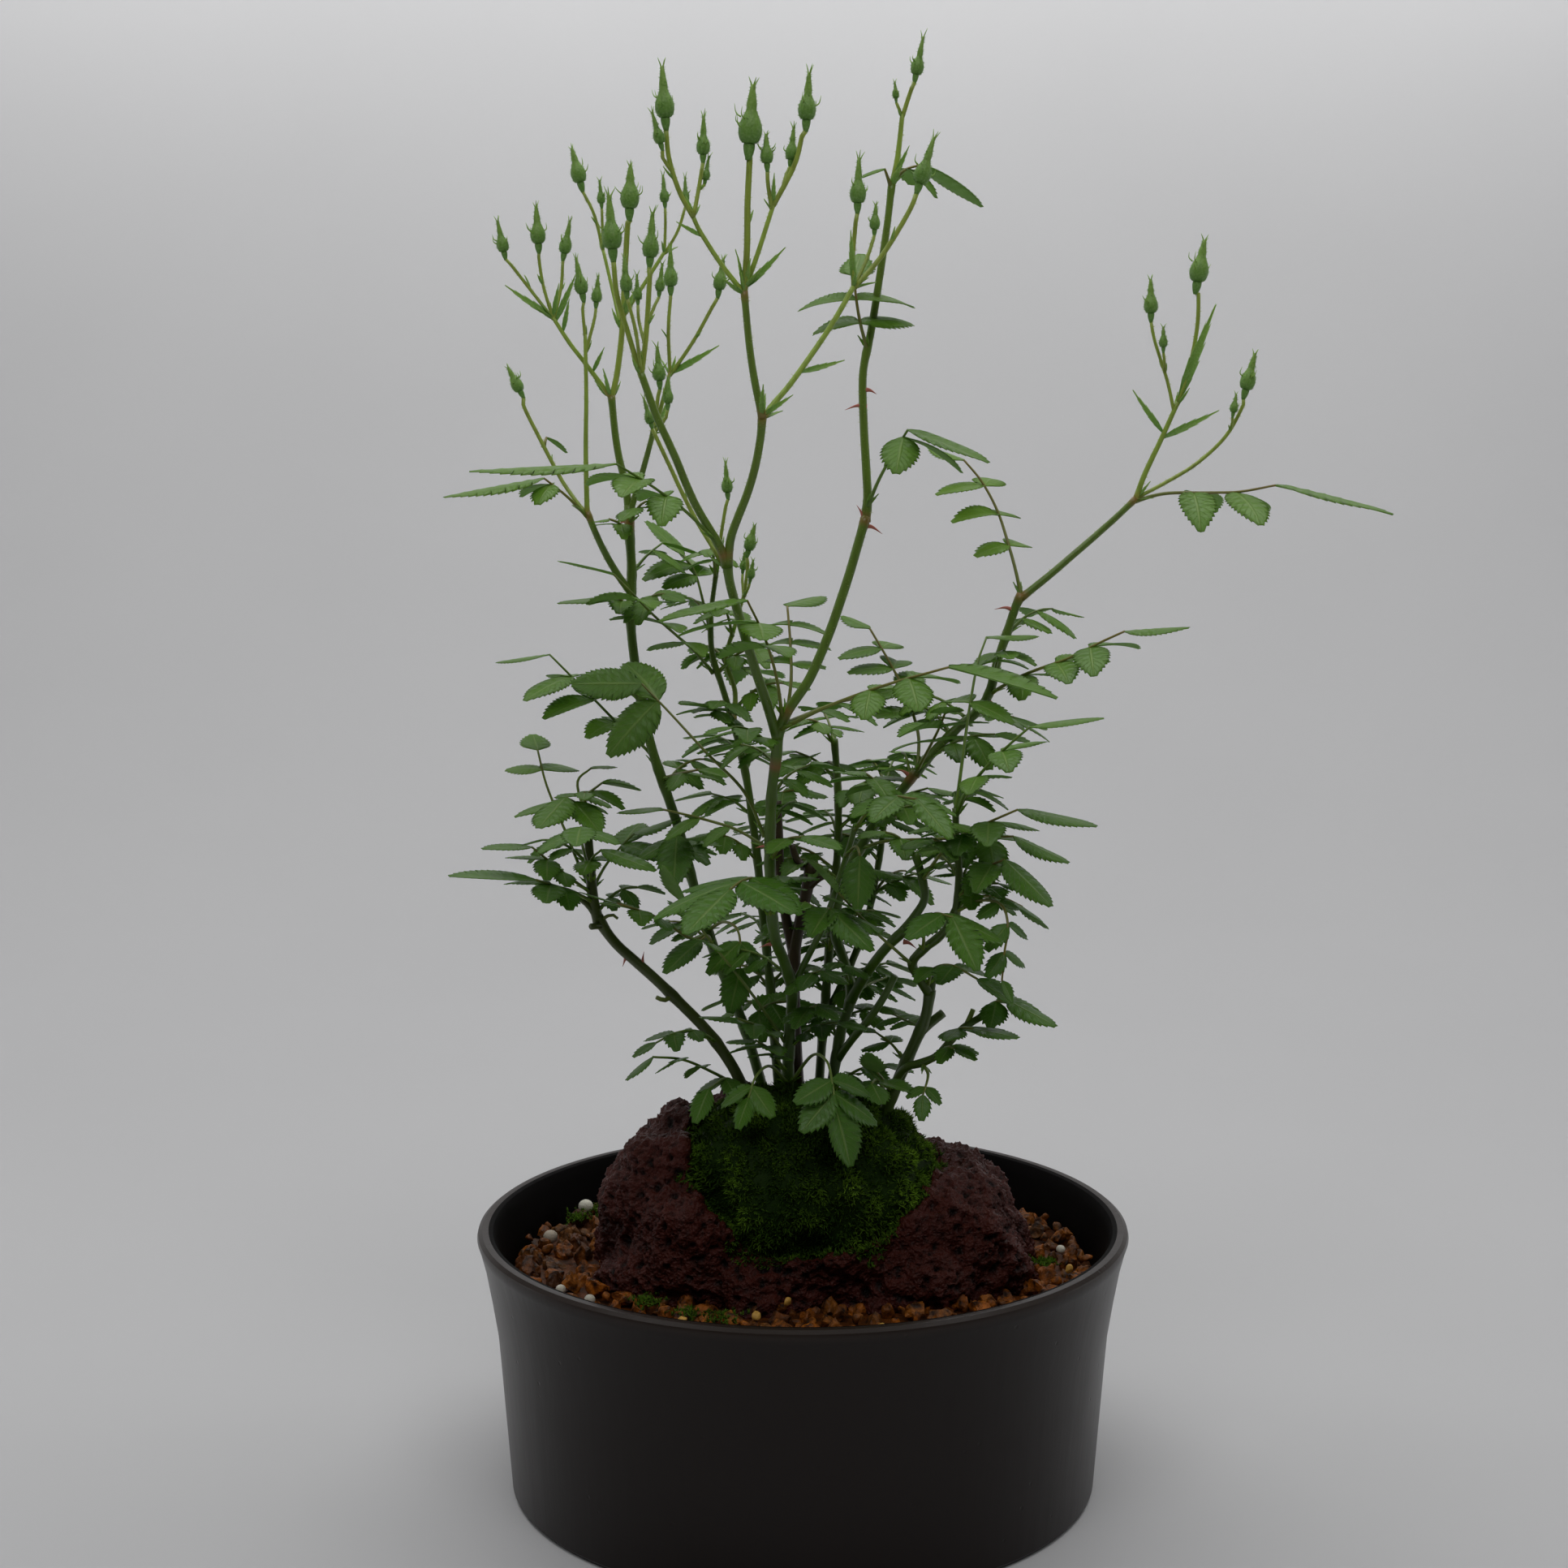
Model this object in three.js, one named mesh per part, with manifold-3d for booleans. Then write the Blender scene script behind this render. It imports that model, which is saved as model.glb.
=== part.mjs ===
import * as THREE from "three";
import { mergeVertices } from "three/addons/utils/BufferGeometryUtils.js";
import Module from "manifold-3d";

// Miniature rose bonsai in a round glazed pot: canes with leaves and flower buds grow from a
// moss-covered root ball that sits on a lava rock in akadama clay grains.
// Millimetres, +Z up, +Y away from the viewer. The origin is the centre of the pot's underside.

// Driving sizes
const rimRadius = 90;
const potHeight = 73.5;
const wallThickness = 5;
const floorThickness = 6;
const potSides = 32;
const drainHoleRadius = 6;
const drainCircleRadius = 34;
const netRadius = 11;
const netThickness = 0.8;
const netHole = 2.4;
const netHoleSpacing = 2.4;
const soilHeight = 63.5;
const grainRelief = 1.9;
const pelletRadius = 1.9;
const gap = 0.3;
const eyeDistance = 677;
const eyeHeight = 288;
const thickStem = 1.3;
const thinStem = 0.8;
const largeBud = 3.5;
const rachisHalfWidth = 0.5;
const rachisThickness = 0.8;
const bladeThickness = 0.75;
const leafletBreadth = 0.35;
const longLeafletBreadth = 0.2;
const longLeafletSpare = 1.8;
const sideLeafletGrowth = 1.15;
const leafletRise = -0.08;
const leafTilt = 0.16;
const leafletLevelling = 0.6;
const longStalk = 12;
const goldenAngle = 2.4;

// The pot's outer wall as radius and height, from the foot to just under the lip.
const wallProfile = [[81.4, 1.2], [83.1, 24], [84.7, 45], [87, 59.5], [89.3, 69.5]];

// Half outlines of a leaflet by the length it is used from: share of its length, share of its
// half width, and lift.
const outlines = [
  [16.5, [[0.3, 1, -0.02], [0.4, 0.76, -0.02], [0.66, 0.84, -0.05]]],
  [13.5, [[0.32, 1, -0.02], [0.64, 0.82, -0.04]]],
  [0, [[0.42, 1.05, -0.02]]],
];

// The rock and the root ball: centre, half sizes, depth below the centre, how far the top falls
// to the right, squareness, height and length of the unevenness, seed, and fineness.
const rockForm = {
  centre: [3, -4, 60], half: [59, 37, 50], under: 3, fall: 15, power: 3.1,
  relief: 2.4, waves: [15, 32], seed: 41, detail: 3,
};
const mossForm = {
  centre: [1, -11, 87], half: [33, 31, 27], under: 21, fall: 3, power: 2.3,
  relief: 1.3, waves: [11, 20], seed: 57, detail: 3,
};
const hollowCentre = [2, -18, 99];
const hollowHalf = [34, 43, 28];

// Fertiliser pellets lying on the soil, as across and away from the viewer.
const pellets = [
  [-64, 40], [50, 58], [58, 50], [72, 1], [-77, 16], [-65, -27], [-12, -48], [-31, -55],
  [73, -12], [-56, -42],
];

const wasm = await Module();
wasm.setup();

const up = new THREE.Vector3(0, 0, 1);

const bonsai = new THREE.Group();

// A repeatable draw between two bounds.
function drawFrom(seed) {
  let state = seed;
  return (low, high) => {
    state = (state * 16807) % 2147483647;
    return low + ((high - low) * state) / 2147483647;
  };
}

// A place read as across and up in the plane of the pot's axis, seen from the front, and set
// back along the same line of sight by its depth behind that plane.
function place([across, up, depth]) {
  const spread = spreadAt(depth);
  return new THREE.Vector3(across * spread, depth, eyeHeight + (up - eyeHeight) * spread);
}

function spreadAt(depth) {
  return 1 + depth / eyeDistance;
}

function solidOf(geometry) {
  const bare = geometry.clone();
  bare.deleteAttribute("normal");
  bare.deleteAttribute("uv");
  const merged = mergeVertices(bare, 1e-4);
  return new wasm.Manifold(
    new wasm.Mesh({
      numProp: 3,
      vertProperties: new Float32Array(merged.attributes.position.array),
      triVerts: new Uint32Array(merged.index.array),
    }),
  );
}

function geometryOf(solid) {
  const mesh = solid.getMesh();
  const places = new Float32Array((mesh.vertProperties.length / mesh.numProp) * 3);
  for (let i = 0; i < places.length / 3; i += 1) {
    places[3 * i] = mesh.vertProperties[i * mesh.numProp];
    places[3 * i + 1] = mesh.vertProperties[i * mesh.numProp + 1];
    places[3 * i + 2] = mesh.vertProperties[i * mesh.numProp + 2];
  }
  const geometry = new THREE.BufferGeometry();
  geometry.setAttribute("position", new THREE.BufferAttribute(places, 3));
  geometry.setIndex(Array.from(mesh.triVerts));
  return geometry;
}

// A closed body from a list of points and a list of triangles between them.
function bodyOf(points, triangles) {
  const geometry = new THREE.BufferGeometry().setFromPoints(points);
  geometry.setIndex(triangles);
  return solidOf(geometry);
}

function joined(solids) {
  return wasm.Manifold.union(solids);
}

// Adds a piece to the part. Loose scraps and sealed bubbles left by the joining are dropped.
function addPiece(name, solid, colour, roughness) {
  const largest = solid.decompose().sort((a, b) => b.volume() - a.volume())[0];
  const geometry = geometryOf(largest);
  geometry.computeVertexNormals();
  const material = new THREE.MeshStandardMaterial({ color: colour, roughness, metalness: 0 });
  const mesh = new THREE.Mesh(geometry, material);
  mesh.name = name;
  bonsai.add(mesh);
  return largest;
}

// A shape turned about the vertical axis, from its profile as radius and height.
function latheGeometry(profile) {
  const points = profile.map(([radius, height]) => new THREE.Vector2(radius, height));
  return new THREE.LatheGeometry(points, potSides).rotateX(Math.PI / 2);
}

function latheSolid(profile) {
  return solidOf(latheGeometry(profile));
}

function turnedSolid(cylinder) {
  return solidOf(cylinder.rotateX(Math.PI / 2));
}

// A closed body through rings that each hold the same count of places, with flat ends.
function ringedSolid(rings) {
  const sides = rings[0].length;
  const last = (rings.length - 1) * sides;
  const triangles = [];
  for (let i = 0; i < rings.length - 1; i += 1) {
    for (let k = 0; k < sides; k += 1) {
      const a = i * sides + k;
      const b = i * sides + ((k + 1) % sides);
      triangles.push(a, b, b + sides, a, b + sides, a + sides);
    }
  }
  for (let k = 1; k < sides - 1; k += 1) {
    triangles.push(0, k + 1, k);
    triangles.push(last, last + k, last + k + 1);
  }
  return bodyOf(rings.flat(), triangles);
}

// A smooth unevenness made of crossing waves.
function unevenness(draw, [shortest, longest]) {
  const waves = [];
  for (let i = 0; i < 6; i += 1) {
    const wave = new THREE.Vector3(draw(-1, 1), draw(-1, 1), draw(-1, 1)).normalize();
    wave.multiplyScalar((2 * Math.PI) / draw(shortest, longest));
    waves.push([wave, draw(0, 2 * Math.PI)]);
  }
  return (point) => {
    let sum = 0;
    waves.forEach(([wave, phase]) => {
      sum += Math.sin(point.dot(wave) + phase);
    });
    return sum / 2.5;
  };
}

// A rough lump: a ball drawn out to a rounded block, swollen by the spare.
function lumpSolid(form, spare) {
  const { centre, half, under, fall, power, relief, waves, seed, detail } = form;
  const uneven = unevenness(drawFrom(seed), waves);
  const middle = new THREE.Vector3(...centre);
  const ball = new THREE.IcosahedronGeometry(1, detail);
  const spots = ball.attributes.position;
  for (let i = 0; i < spots.count; i += 1) {
    const heading = new THREE.Vector3().fromBufferAttribute(spots, i).normalize();
    const top = half[2] - fall * THREE.MathUtils.smoothstep(heading.x, -0.5, 0.8);
    const height = heading.z < 0 ? under : top;
    const sum =
      Math.abs(heading.x / half[0]) ** power +
      Math.abs(heading.y / half[1]) ** power +
      Math.abs(heading.z / height) ** power;
    const reach = sum ** (-1 / power);
    const bump = relief * uneven(heading.clone().multiplyScalar(reach));
    heading.multiplyScalar(reach + bump * Math.min(1, reach / 20) + spare).add(middle);
    spots.setXYZ(i, heading.x, heading.y, heading.z);
  }
  return solidOf(ball);
}

// A round stem through the given points, with one radius for each, closed at both ends.
function tube(points, radii, sides) {
  const side = new THREE.Vector3(1, 0, 0);
  return ringedSolid(
    points.map((point, i) => {
      const before = points[Math.max(i - 1, 0)];
      const after = points[Math.min(i + 1, points.length - 1)];
      const along = after.clone().sub(before).normalize();
      side.addScaledVector(along, -side.dot(along)).normalize();
      const ring = [];
      for (let k = 0; k < sides; k += 1) {
        const spoke = side.clone().applyAxisAngle(along, (2 * Math.PI * k) / sides);
        ring.push(point.clone().addScaledVector(spoke, radii[i]));
      }
      return ring;
    }),
  );
}

// A stem is listed as its first radius, its last radius and the places that it passes.
function stemSolid([firstRadius, lastRadius, ...places], spare) {
  const points = places.map(place);
  const radii = points.map((point, i) => {
    const share = i / (points.length - 1);
    return firstRadius + (lastRadius - firstRadius) * share + spare;
  });
  const start = points[0].clone().sub(points[1]).setLength(spare);
  points[0].add(start);
  const sides = firstRadius > thickStem ? 5 : 4;
  return tube(points, radii, firstRadius > thinStem ? sides : 3);
}

// A flower bud on its stalk is listed as the bud's width, the stalk's radius and the places of
// the stalk, the bud's middle and its pointed tip. The hip swells just below the bud.
function budSolid([seenWidth, stalkRadius, ...places]) {
  const points = places.map(place);
  const tip = points.pop();
  const middle = points.pop();
  const width = seenWidth * spreadAt(places[places.length - 2][2]);
  const axis = tip.clone().sub(middle).normalize();
  const radii = points.map(() => stalkRadius);
  const large = seenWidth > largeBud;
  const profile = large
    ? [[-0.8, 0.33], [-0.48, 0.26], [0, 0.5], [0.75, 0.2]]
    : [[-0.6, 0.28], [0.1, 0.5]];
  for (const [share, radius] of profile) {
    points.push(middle.clone().addScaledVector(axis, share * width));
    radii.push(radius * width);
  }
  points.push(tip);
  radii.push(0.25);
  return tube(points, radii, 4);
}

// A thorn is listed as the place of its root on the stem and the place of its point.
function thornSolid([root, point]) {
  return tube([place(root), place(point)], [0.9, 0.2], 3);
}

// A compound leaf is one thin arched blade cut to its rib, with a flat underside. It is listed
// as the number of leaflet pairs, the length of a leaflet, the share of the rib that is bare,
// the roll of the leaf, and the places of the rib, whose last is the tip of the end leaflet.
// Swing turns the whole leaf about its root.
function leafSolid([pairs, seenLength, bare, roll, ...places], seed, swing) {
  const draw = drawFrom(seed);
  const points = places.map(place);
  const root = points[0].clone();
  points.forEach((point) => {
    point.sub(root).applyAxisAngle(up, swing).add(root);
  });
  const tip = points.pop();
  const end = points[points.length - 1];
  const rib = new THREE.CatmullRomCurve3(points, false, "catmullrom", 0.5);
  const heading = tip.clone().sub(root).setZ(0).normalize();
  const across = up.clone().cross(heading);
  // A leaf that grows out to one side also leans its face forward.
  across.applyAxisAngle(heading, roll + leafTilt * across.y);
  const spots = [];
  const triangles = [];
  const spot = (point) => spots.push(point.clone()) - 1;
  const station = (share) => {
    const point = rib.getPointAt(share);
    const normal = rib.getTangentAt(share).cross(across).normalize();
    return {
      point,
      left: spot(point.clone().addScaledVector(across, rachisHalfWidth)),
      right: spot(point.clone().addScaledVector(across, -rachisHalfWidth)),
      ridge: spot(point.clone().addScaledVector(normal, rachisThickness)),
    };
  };
  const underside = (here, next) => {
    triangles.push(here.right, here.left, next.left);
    triangles.push(here.right, next.left, next.right);
  };
  const leaflet = (from, along, plane, length, left, right, ridge, drop) => {
    const wide = plane.clone().cross(along).normalize();
    const normal = along.clone().cross(wide);
    const halfWidth = Math.min(
      leafletBreadth * length,
      longLeafletBreadth * length + longLeafletSpare,
    );
    const at = (share, out, lift) =>
      from
        .clone()
        .addScaledVector(along, share * length)
        .addScaledVector(wide, out * halfWidth)
        .addScaledVector(normal, (lift - drop * share * share) * length);
    const [, outline] = outlines.find(([shortest]) => length >= shortest);
    const side = (hand) =>
      outline.map(([share, out, lift]) => spot(at(share, hand * out, lift)));
    const rim = [right, ...side(-1), spot(at(1, 0, -0.08)), ...side(1).reverse(), left];
    const crown = spot(at(0.42, 0, 0.02).addScaledVector(normal, bladeThickness));
    rim.forEach((here, i) => triangles.push(crown, here, rim[i + 1] ?? ridge));
    triangles.push(crown, ridge, right);
    for (let i = 1; i < rim.length - 1; i += 1) {
      triangles.push(rim[0], rim[i + 1], rim[i]);
    }
  };
  // Leaflets turn their faces up to the light, however steep the rib is.
  const levelling = leafletLevelling * Math.max(0, 1 - Math.abs(roll));
  const faceOf = (way) => way.clone().cross(across).normalize().lerp(up, levelling).normalize();
  const length = sideLeafletGrowth * seenLength * spreadAt(places[places.length - 1][2]);
  const pace = pairs > 0 ? (1 - bare) / pairs : 0;
  const step = 0.8 / rib.getLength();
  const ring = [station(0)];
  if (bare * rib.getLength() > longStalk) {
    ring.push(station(bare * 0.5));
  }
  for (let pair = 0; pair < pairs; pair += 1) {
    const first = station(bare + pace * pair - step);
    ring.push({ ...first, pair });
    ring.push({ ...station(bare + pace * pair + step), ridge: first.ridge });
  }
  ring.push(station(1));
  for (let i = 0; i < ring.length - 1; i += 1) {
    const here = ring[i];
    const next = ring[i + 1];
    underside(here, next);
    if (here.pair === undefined) {
      triangles.push(here.ridge, next.left, here.left);
      triangles.push(here.ridge, next.ridge, next.left);
      triangles.push(here.ridge, here.right, next.right);
      triangles.push(here.ridge, next.right, next.ridge);
      continue;
    }
    const basal = pairs > 1 && here.pair === 0;
    const from = here.point.clone().lerp(next.point, 0.5);
    const forward = tip.clone().sub(from).normalize();
    const plane = faceOf(forward);
    for (const hand of [1, -1]) {
      const turn = hand * (basal ? 1.35 : 1.05) + draw(-0.12, 0.12);
      const rise = leafletRise + draw(-0.14, 0.14);
      const along = forward.clone().multiplyScalar(Math.cos(turn) * Math.cos(rise));
      along.addScaledVector(across, Math.sin(turn) * Math.cos(rise));
      along.addScaledVector(plane, Math.sin(rise));
      const size = length * (basal ? 0.82 : 1) * draw(0.92, 1.05);
      const drop = draw(0, 0.12);
      if (hand > 0) {
        leaflet(from, along, plane, size, here.left, next.left, here.ridge, drop);
      } else {
        leaflet(from, along, plane, size, next.right, here.right, here.ridge, drop);
      }
    }
  }
  const last = ring[ring.length - 1];
  const along = tip.clone().sub(end).normalize();
  const plane = faceOf(along);
  leaflet(end, along, plane, tip.distanceTo(end), last.left, last.right, last.ridge, 0);
  triangles.push(ring[0].ridge, ring[0].left, ring[0].right);
  return bodyOf(spots, triangles);
}

// Small leaves that turn by the golden angle as they climb a stem. A run of them is listed as the
// number of the stem, the first and the last height, the count, and the length of a leaflet.
function climbingLeaves(stems, [number, low, high, count, length], draw) {
  const [, , ...places] = stems[number];
  const leaves = [];
  for (let k = 0; k < count; k += 1) {
    const height = low + ((high - low) * k) / (count - 1);
    const i = Math.max(1, places.findIndex(([, top]) => top >= height));
    const share = (height - places[i - 1][1]) / (places[i][1] - places[i - 1][1]);
    const [across, , depth] = places[i].map((after, axis) =>
      THREE.MathUtils.lerp(places[i - 1][axis], after, share),
    );
    const angle = goldenAngle * k + draw(-0.4, 0.4);
    const reach = length * draw(1.2, 1.9);
    const size = length * draw(0.85, 1.15);
    const leaf = [1, size, 0.7, draw(-0.2, 0.2)];
    for (const [out, rise] of [[0, 0], [0.4, 5], [0.75, 7], [1, 7.2], [1 + length / reach, 5.5]]) {
      leaf.push([
        across + reach * out * Math.cos(angle),
        height + rise,
        depth + reach * out * Math.sin(angle),
      ]);
    }
    leaves.push(leaf);
  }
  return leaves;
}

// Old dark trunks, pruned back, in the middle of the root ball.
const oldWood = {
  stems: [
    [2.05, 1.52, [-1, 102, 4], [-2.6, 140, 2], [-2.2, 150, 3], [2.3, 174, 6]],
    [1.47, 1.19, [-2.3, 147, 3], [-6.2, 170, 8], [-7, 191, 11]],
    [1.19, 1.06, [1.3, 167, 5], [6, 170.5, 3]],
    [1.13, 0.9, [2, 172, 6], [-1.5, 174.5, 8], [-3, 179, 9]],
  ],
  buds: [],
  leaves: [],
  climbing: [],
  thorns: [],
};

// The front cane forks at half height, and each fork ends in a spray of buds.
const frontCane = {
  stems: [
    [1.6, 1.35, [-4, 102, -6], [-4.2, 114, -7], [-3.6, 127, -9], [-3, 138, -12], [-5, 146, -15],
      [-7.6, 153, -19], [-8.8, 164, -23], [-8.4, 194, -32], [-6.8, 210, -37]],
    [1.3, 1.16, [-6.9, 208, -37], [-9.6, 217, -39], [-17.4, 242, -47], [-20.4, 256, -50]],
    [1.13, 0.99, [-20.2, 254.5, -50], [-19.4, 262, -51], [-12.8, 281, -54], [-10.8, 295, -56]],
    [0.99, 0.85, [-10.8, 294, -56], [-14.2, 312.7, -58], [-15.6, 327.5, -59.5]],
    [0.75, 0.65, [-10.9, 293.7, -56], [4.9, 314.5, -51], [13.5, 328.7, -48.5]],
    [0.65, 0.55, [-15.4, 326.5, -59.5], [-21.6, 334.3, -61], [-29.1, 347, -62.5]],
    [0.65, 0.55, [-15.4, 328, -59.7], [-7.7, 350, -60]],
    [1.3, 1.19, [-6.9, 208, -37], [-5, 214, -37.5], [1.6, 224, -37], [4.6, 230.5, -36],
      [10, 245, -34], [16.9, 268, -31]],
    [1.16, 0.9, [16.8, 266.5, -31], [17.3, 273, -30.5], [16, 306, -28.5], [20.3, 331, -27],
      [23.4, 355, -26]],
    [0.8, 0.6, [23.3, 354, -26], [26.1, 373, -25.5]],
    [1.06, 0.9, [-20.6, 254.5, -50], [-22.4, 260, -51.5], [-31.2, 276.5, -57], [-39.2, 295, -61],
      [-43.1, 306, -62.5]],
    [0.99, 0.7, [-3, 138, -12], [0, 145, -13], [5.6, 156.5, -17], [10.3, 171, -21],
      [14.4, 184.5, -23]],
  ],
  buds: [
    [6.3, 0.72, [-15.6, 326.5, -59.5], [-13.8, 369.5, -62.5], [-12.9, 383, -62.5]],
    [5.1, 0.55, [-28.9, 346.5, -62.5], [-32.5, 353, -63], [-35.2, 361.5, -63.8],
      [-36.3, 375.4, -64.5], [-37, 387.5, -64.5]],
    [3.0, 0.4, [-34.6, 358.5, -63.5], [-37, 362, -65], [-37.9, 367.4, -66], [-40, 375, -66.5]],
    [3.6, 0.45, [-28.9, 346.5, -62.5], [-27.6, 353, -61], [-26.2, 365, -60], [-26, 374.5, -60]],
    [2.2, 0.35, [-27.5, 353.5, -61], [-25.5, 357.5, -59], [-24.5, 363.5, -58.5]],
    [3.4, 0.45, [-8.2, 348.5, -60], [-9.5, 362.6, -62], [-9.7, 369, -62]],
    [4.7, 0.55, [-7.8, 349.5, -60], [-2.2, 360, -59], [1.1, 374.6, -59], [1.8, 385.8, -59]],
    [3.2, 0.4, [-5.4, 353.8, -59.5], [-4.2, 358, -58], [-3, 363.4, -57.5], [-2.2, 371.5, -57.5]],
    [4.3, 0.5, [13.4, 328, -48.5], [13.2, 336, -48.7], [14.5, 353, -49], [14.8, 363.8, -49]],
    [2.8, 0.4, [13.6, 328.4, -48.5], [17, 336, -46], [19, 345.2, -44.5], [19.3, 351, -44.5]],
    [4.5, 0.55, [13.7, 328.2, -48.5], [21.2, 337, -46.5], [28, 348, -45.5], [31.6, 358, -45],
      [35.2, 369.4, -45]],
    [3.4, 0.5, [26, 372, -25.5], [30, 385.2, -24.8], [31.8, 394.6, -24.5]],
    [1.8, 0.35, [26, 372.3, -25.5], [24.3, 378.2, -26.5], [24, 382, -26.5]],
    [5.3, 0.6, [-43, 305, -62.5], [-49.2, 326, -64], [-50.5, 341.8, -64], [-51.3, 354.8, -64]],
    [4.4, 0.6, [-43, 305, -62.5], [-41.6, 316, -61.5], [-40.2, 339, -60.5], [-39.5, 350, -60.5]],
    [3.3, 0.4, [-43, 306, -62.5], [-44.4, 317, -66], [-46.8, 329.5, -67.5], [-47.3, 337.5, -68]],
    [2.4, 0.35, [-41.9, 313, -61.7], [-43.5, 319.5, -59], [-43.8, 326.7, -58.6],
      [-44, 333, -58.6]],
    [2.6, 0.35, [-41.2, 319, -61.3], [-39.3, 323.5, -59], [-37.8, 329, -58.5], [-37, 336, -58.5]],
    [2.6, 0.5, [-21.2, 254.5, -49.8], [-28.6, 267, -45.7], [-38, 286.5, -43.5], [-41, 294.3, -43],
      [-42.8, 300.8, -43]],
  ],
  leaves: [
    [2, 16, 0.55, 0, [-23, 261, -52], [-31, 269, -58], [-40, 275.8, -64], [-50, 282, -69],
      [-91, 282, -73]],
    [1, 15, 0.9, 0, [17.1, 270, -31], [20.2, 277.5, -35], [24, 284.5, -40], [28, 291, -46],
      [51, 283, -54]],
    [2, 15, 0.4, 0, [17.3, 311.5, -28], [15.5, 317.8, -31], [14.3, 324, -33], [13.4, 331.5, -32],
      [15.5, 338, -20]],
    [1, 10, 0.6, 0, [23.3, 354.5, -26], [26.5, 358.5, -24], [31, 360, -21], [48.4, 349.6, -14]],
    [0, 8, 0.6, 0, [23.3, 354, -26], [21.5, 359, -29], [15.4, 357, -32]],
    [2, 17, 0.6, 0.1, [-5.6, 214, -38], [-7.2, 225, -46], [-10.5, 236, -55], [-15, 245.5, -63],
      [-39.8, 240.8, -70]],
    [3, 10, 0.46, 0, [-4.4, 214, -37], [-3.2, 224, -34], [-3.4, 234, -30], [-4.2, 244, -24],
      [6, 247.5, -12]],
    [2, 16, 0.58, 0, [-6, 210.5, -38], [6, 216.5, -47], [22, 222.5, -56], [39.5, 227.5, -63],
      [70.5, 220, -69]],
    [2, 10, 0.5, 0, [-5.4, 212, -36], [3, 215.5, -27], [9, 217.8, -20], [14, 218.8, -15],
      [24.4, 215.6, -9]],
    [2, 14, 0.6, 0, [14.2, 183, -23], [18, 188.5, -32], [24, 192, -42], [31, 191.5, -50],
      [41, 180.5, -60]],
    [1, 13, 0.86, 0, [5.6, 156, -17], [6.5, 161, -25], [7.5, 161, -33], [20, 149.5, -42]],
    [2, 21, 0.66, 0, [-8.6, 158, -21], [-10, 166, -30], [-13, 169.5, -40], [-16.5, 169, -49],
      [-20, 166.5, -57], [-33, 154.5, -75]],
    [0, 12, 0.6, 0, [11.9, 176, -22], [14.5, 178.5, -27], [15.6, 175.8, -32],
      [15, 160.3, -37]],
    [1, 10, 0.66, 0, [-9, 174, -26], [-5, 180, -35], [0, 181.2, -44], [10.6, 178, -53]],
    [1, 17, 0.88, -0.75, [-10.4, 181, -28], [-16, 193.5, -26], [-26, 204, -23], [-36, 215, -19],
      [-43.6, 223, -16], [-63.5, 223.5, -19]],
    [2, 9, 0.4, 0, [-9.6, 178, -28], [-18, 183, -20], [-28, 186.2, -11], [-38, 188.6, -6],
      [-51, 188.4, -2]],
    [2, 10, 0.7, 0, [-5, 124, -9], [-14.5, 138, -12], [-26, 153, -14], [-33, 163, -17],
      [-37.5, 174, -23]],
    [2, 9.5, 0.5, 0.1, [-4.4, 120, -8], [-10, 127, -15], [-18, 130.5, -22], [-28.5, 131.3, -27]],
    [2, 9, 0.5, 0.1, [-4.4, 115, -7.5], [-9, 121.5, -15], [-13, 124.3, -20], [-21, 124, -26]],
    [2, 9, 0.5, 0, [-3, 129, -9.5], [1, 133, -15], [4, 134, -19], [10, 130.5, -26]],
    [2, 9, 0.5, 0, [-2.8, 137, -12], [1.5, 142.5, -17], [5, 143.8, -21], [12.4, 140.5, -27]],
    [2, 13, 0.84, 0, [-3.6, 112, -8], [2.5, 120, -20], [6.5, 118.5, -32], [8, 113, -39],
      [9, 105.5, -43], [13.8, 87.5, -46]],
    [1, 9, 0.9, 0, [-4.2, 112, -8], [-9, 117, -20], [-13, 114, -32], [-15, 108, -38],
      [-18.5, 98.8, -41]],
    [2, 9, 0.4, 0, [-7.5, 201, -34], [-12, 205, -30], [-17, 206.5, -26], [-27, 203.5, -22]],
    [2, 9, 0.4, 0, [-8.6, 192, -31], [-4, 198, -26], [2, 201, -21], [12, 199.5, -16]],
  ],
  climbing: [[0, 122, 204, 5, 9]],
  thorns: [
    [[-7.3, 151, -18], [-12, 150.3, -19]],
    [[-9, 178, -27.5], [-13, 178, -28]],
    [[17, 297, -29], [11.2, 296.2, -29.3]],
    [[16.4, 301.5, -28.8], [19.6, 300.4, -28.8]],
    [[16.4, 265.5, -31.2], [21.3, 263.3, -31]],
    [[16.6, 266.5, -31.2], [14.4, 271, -31.4]],
  ],
};

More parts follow.
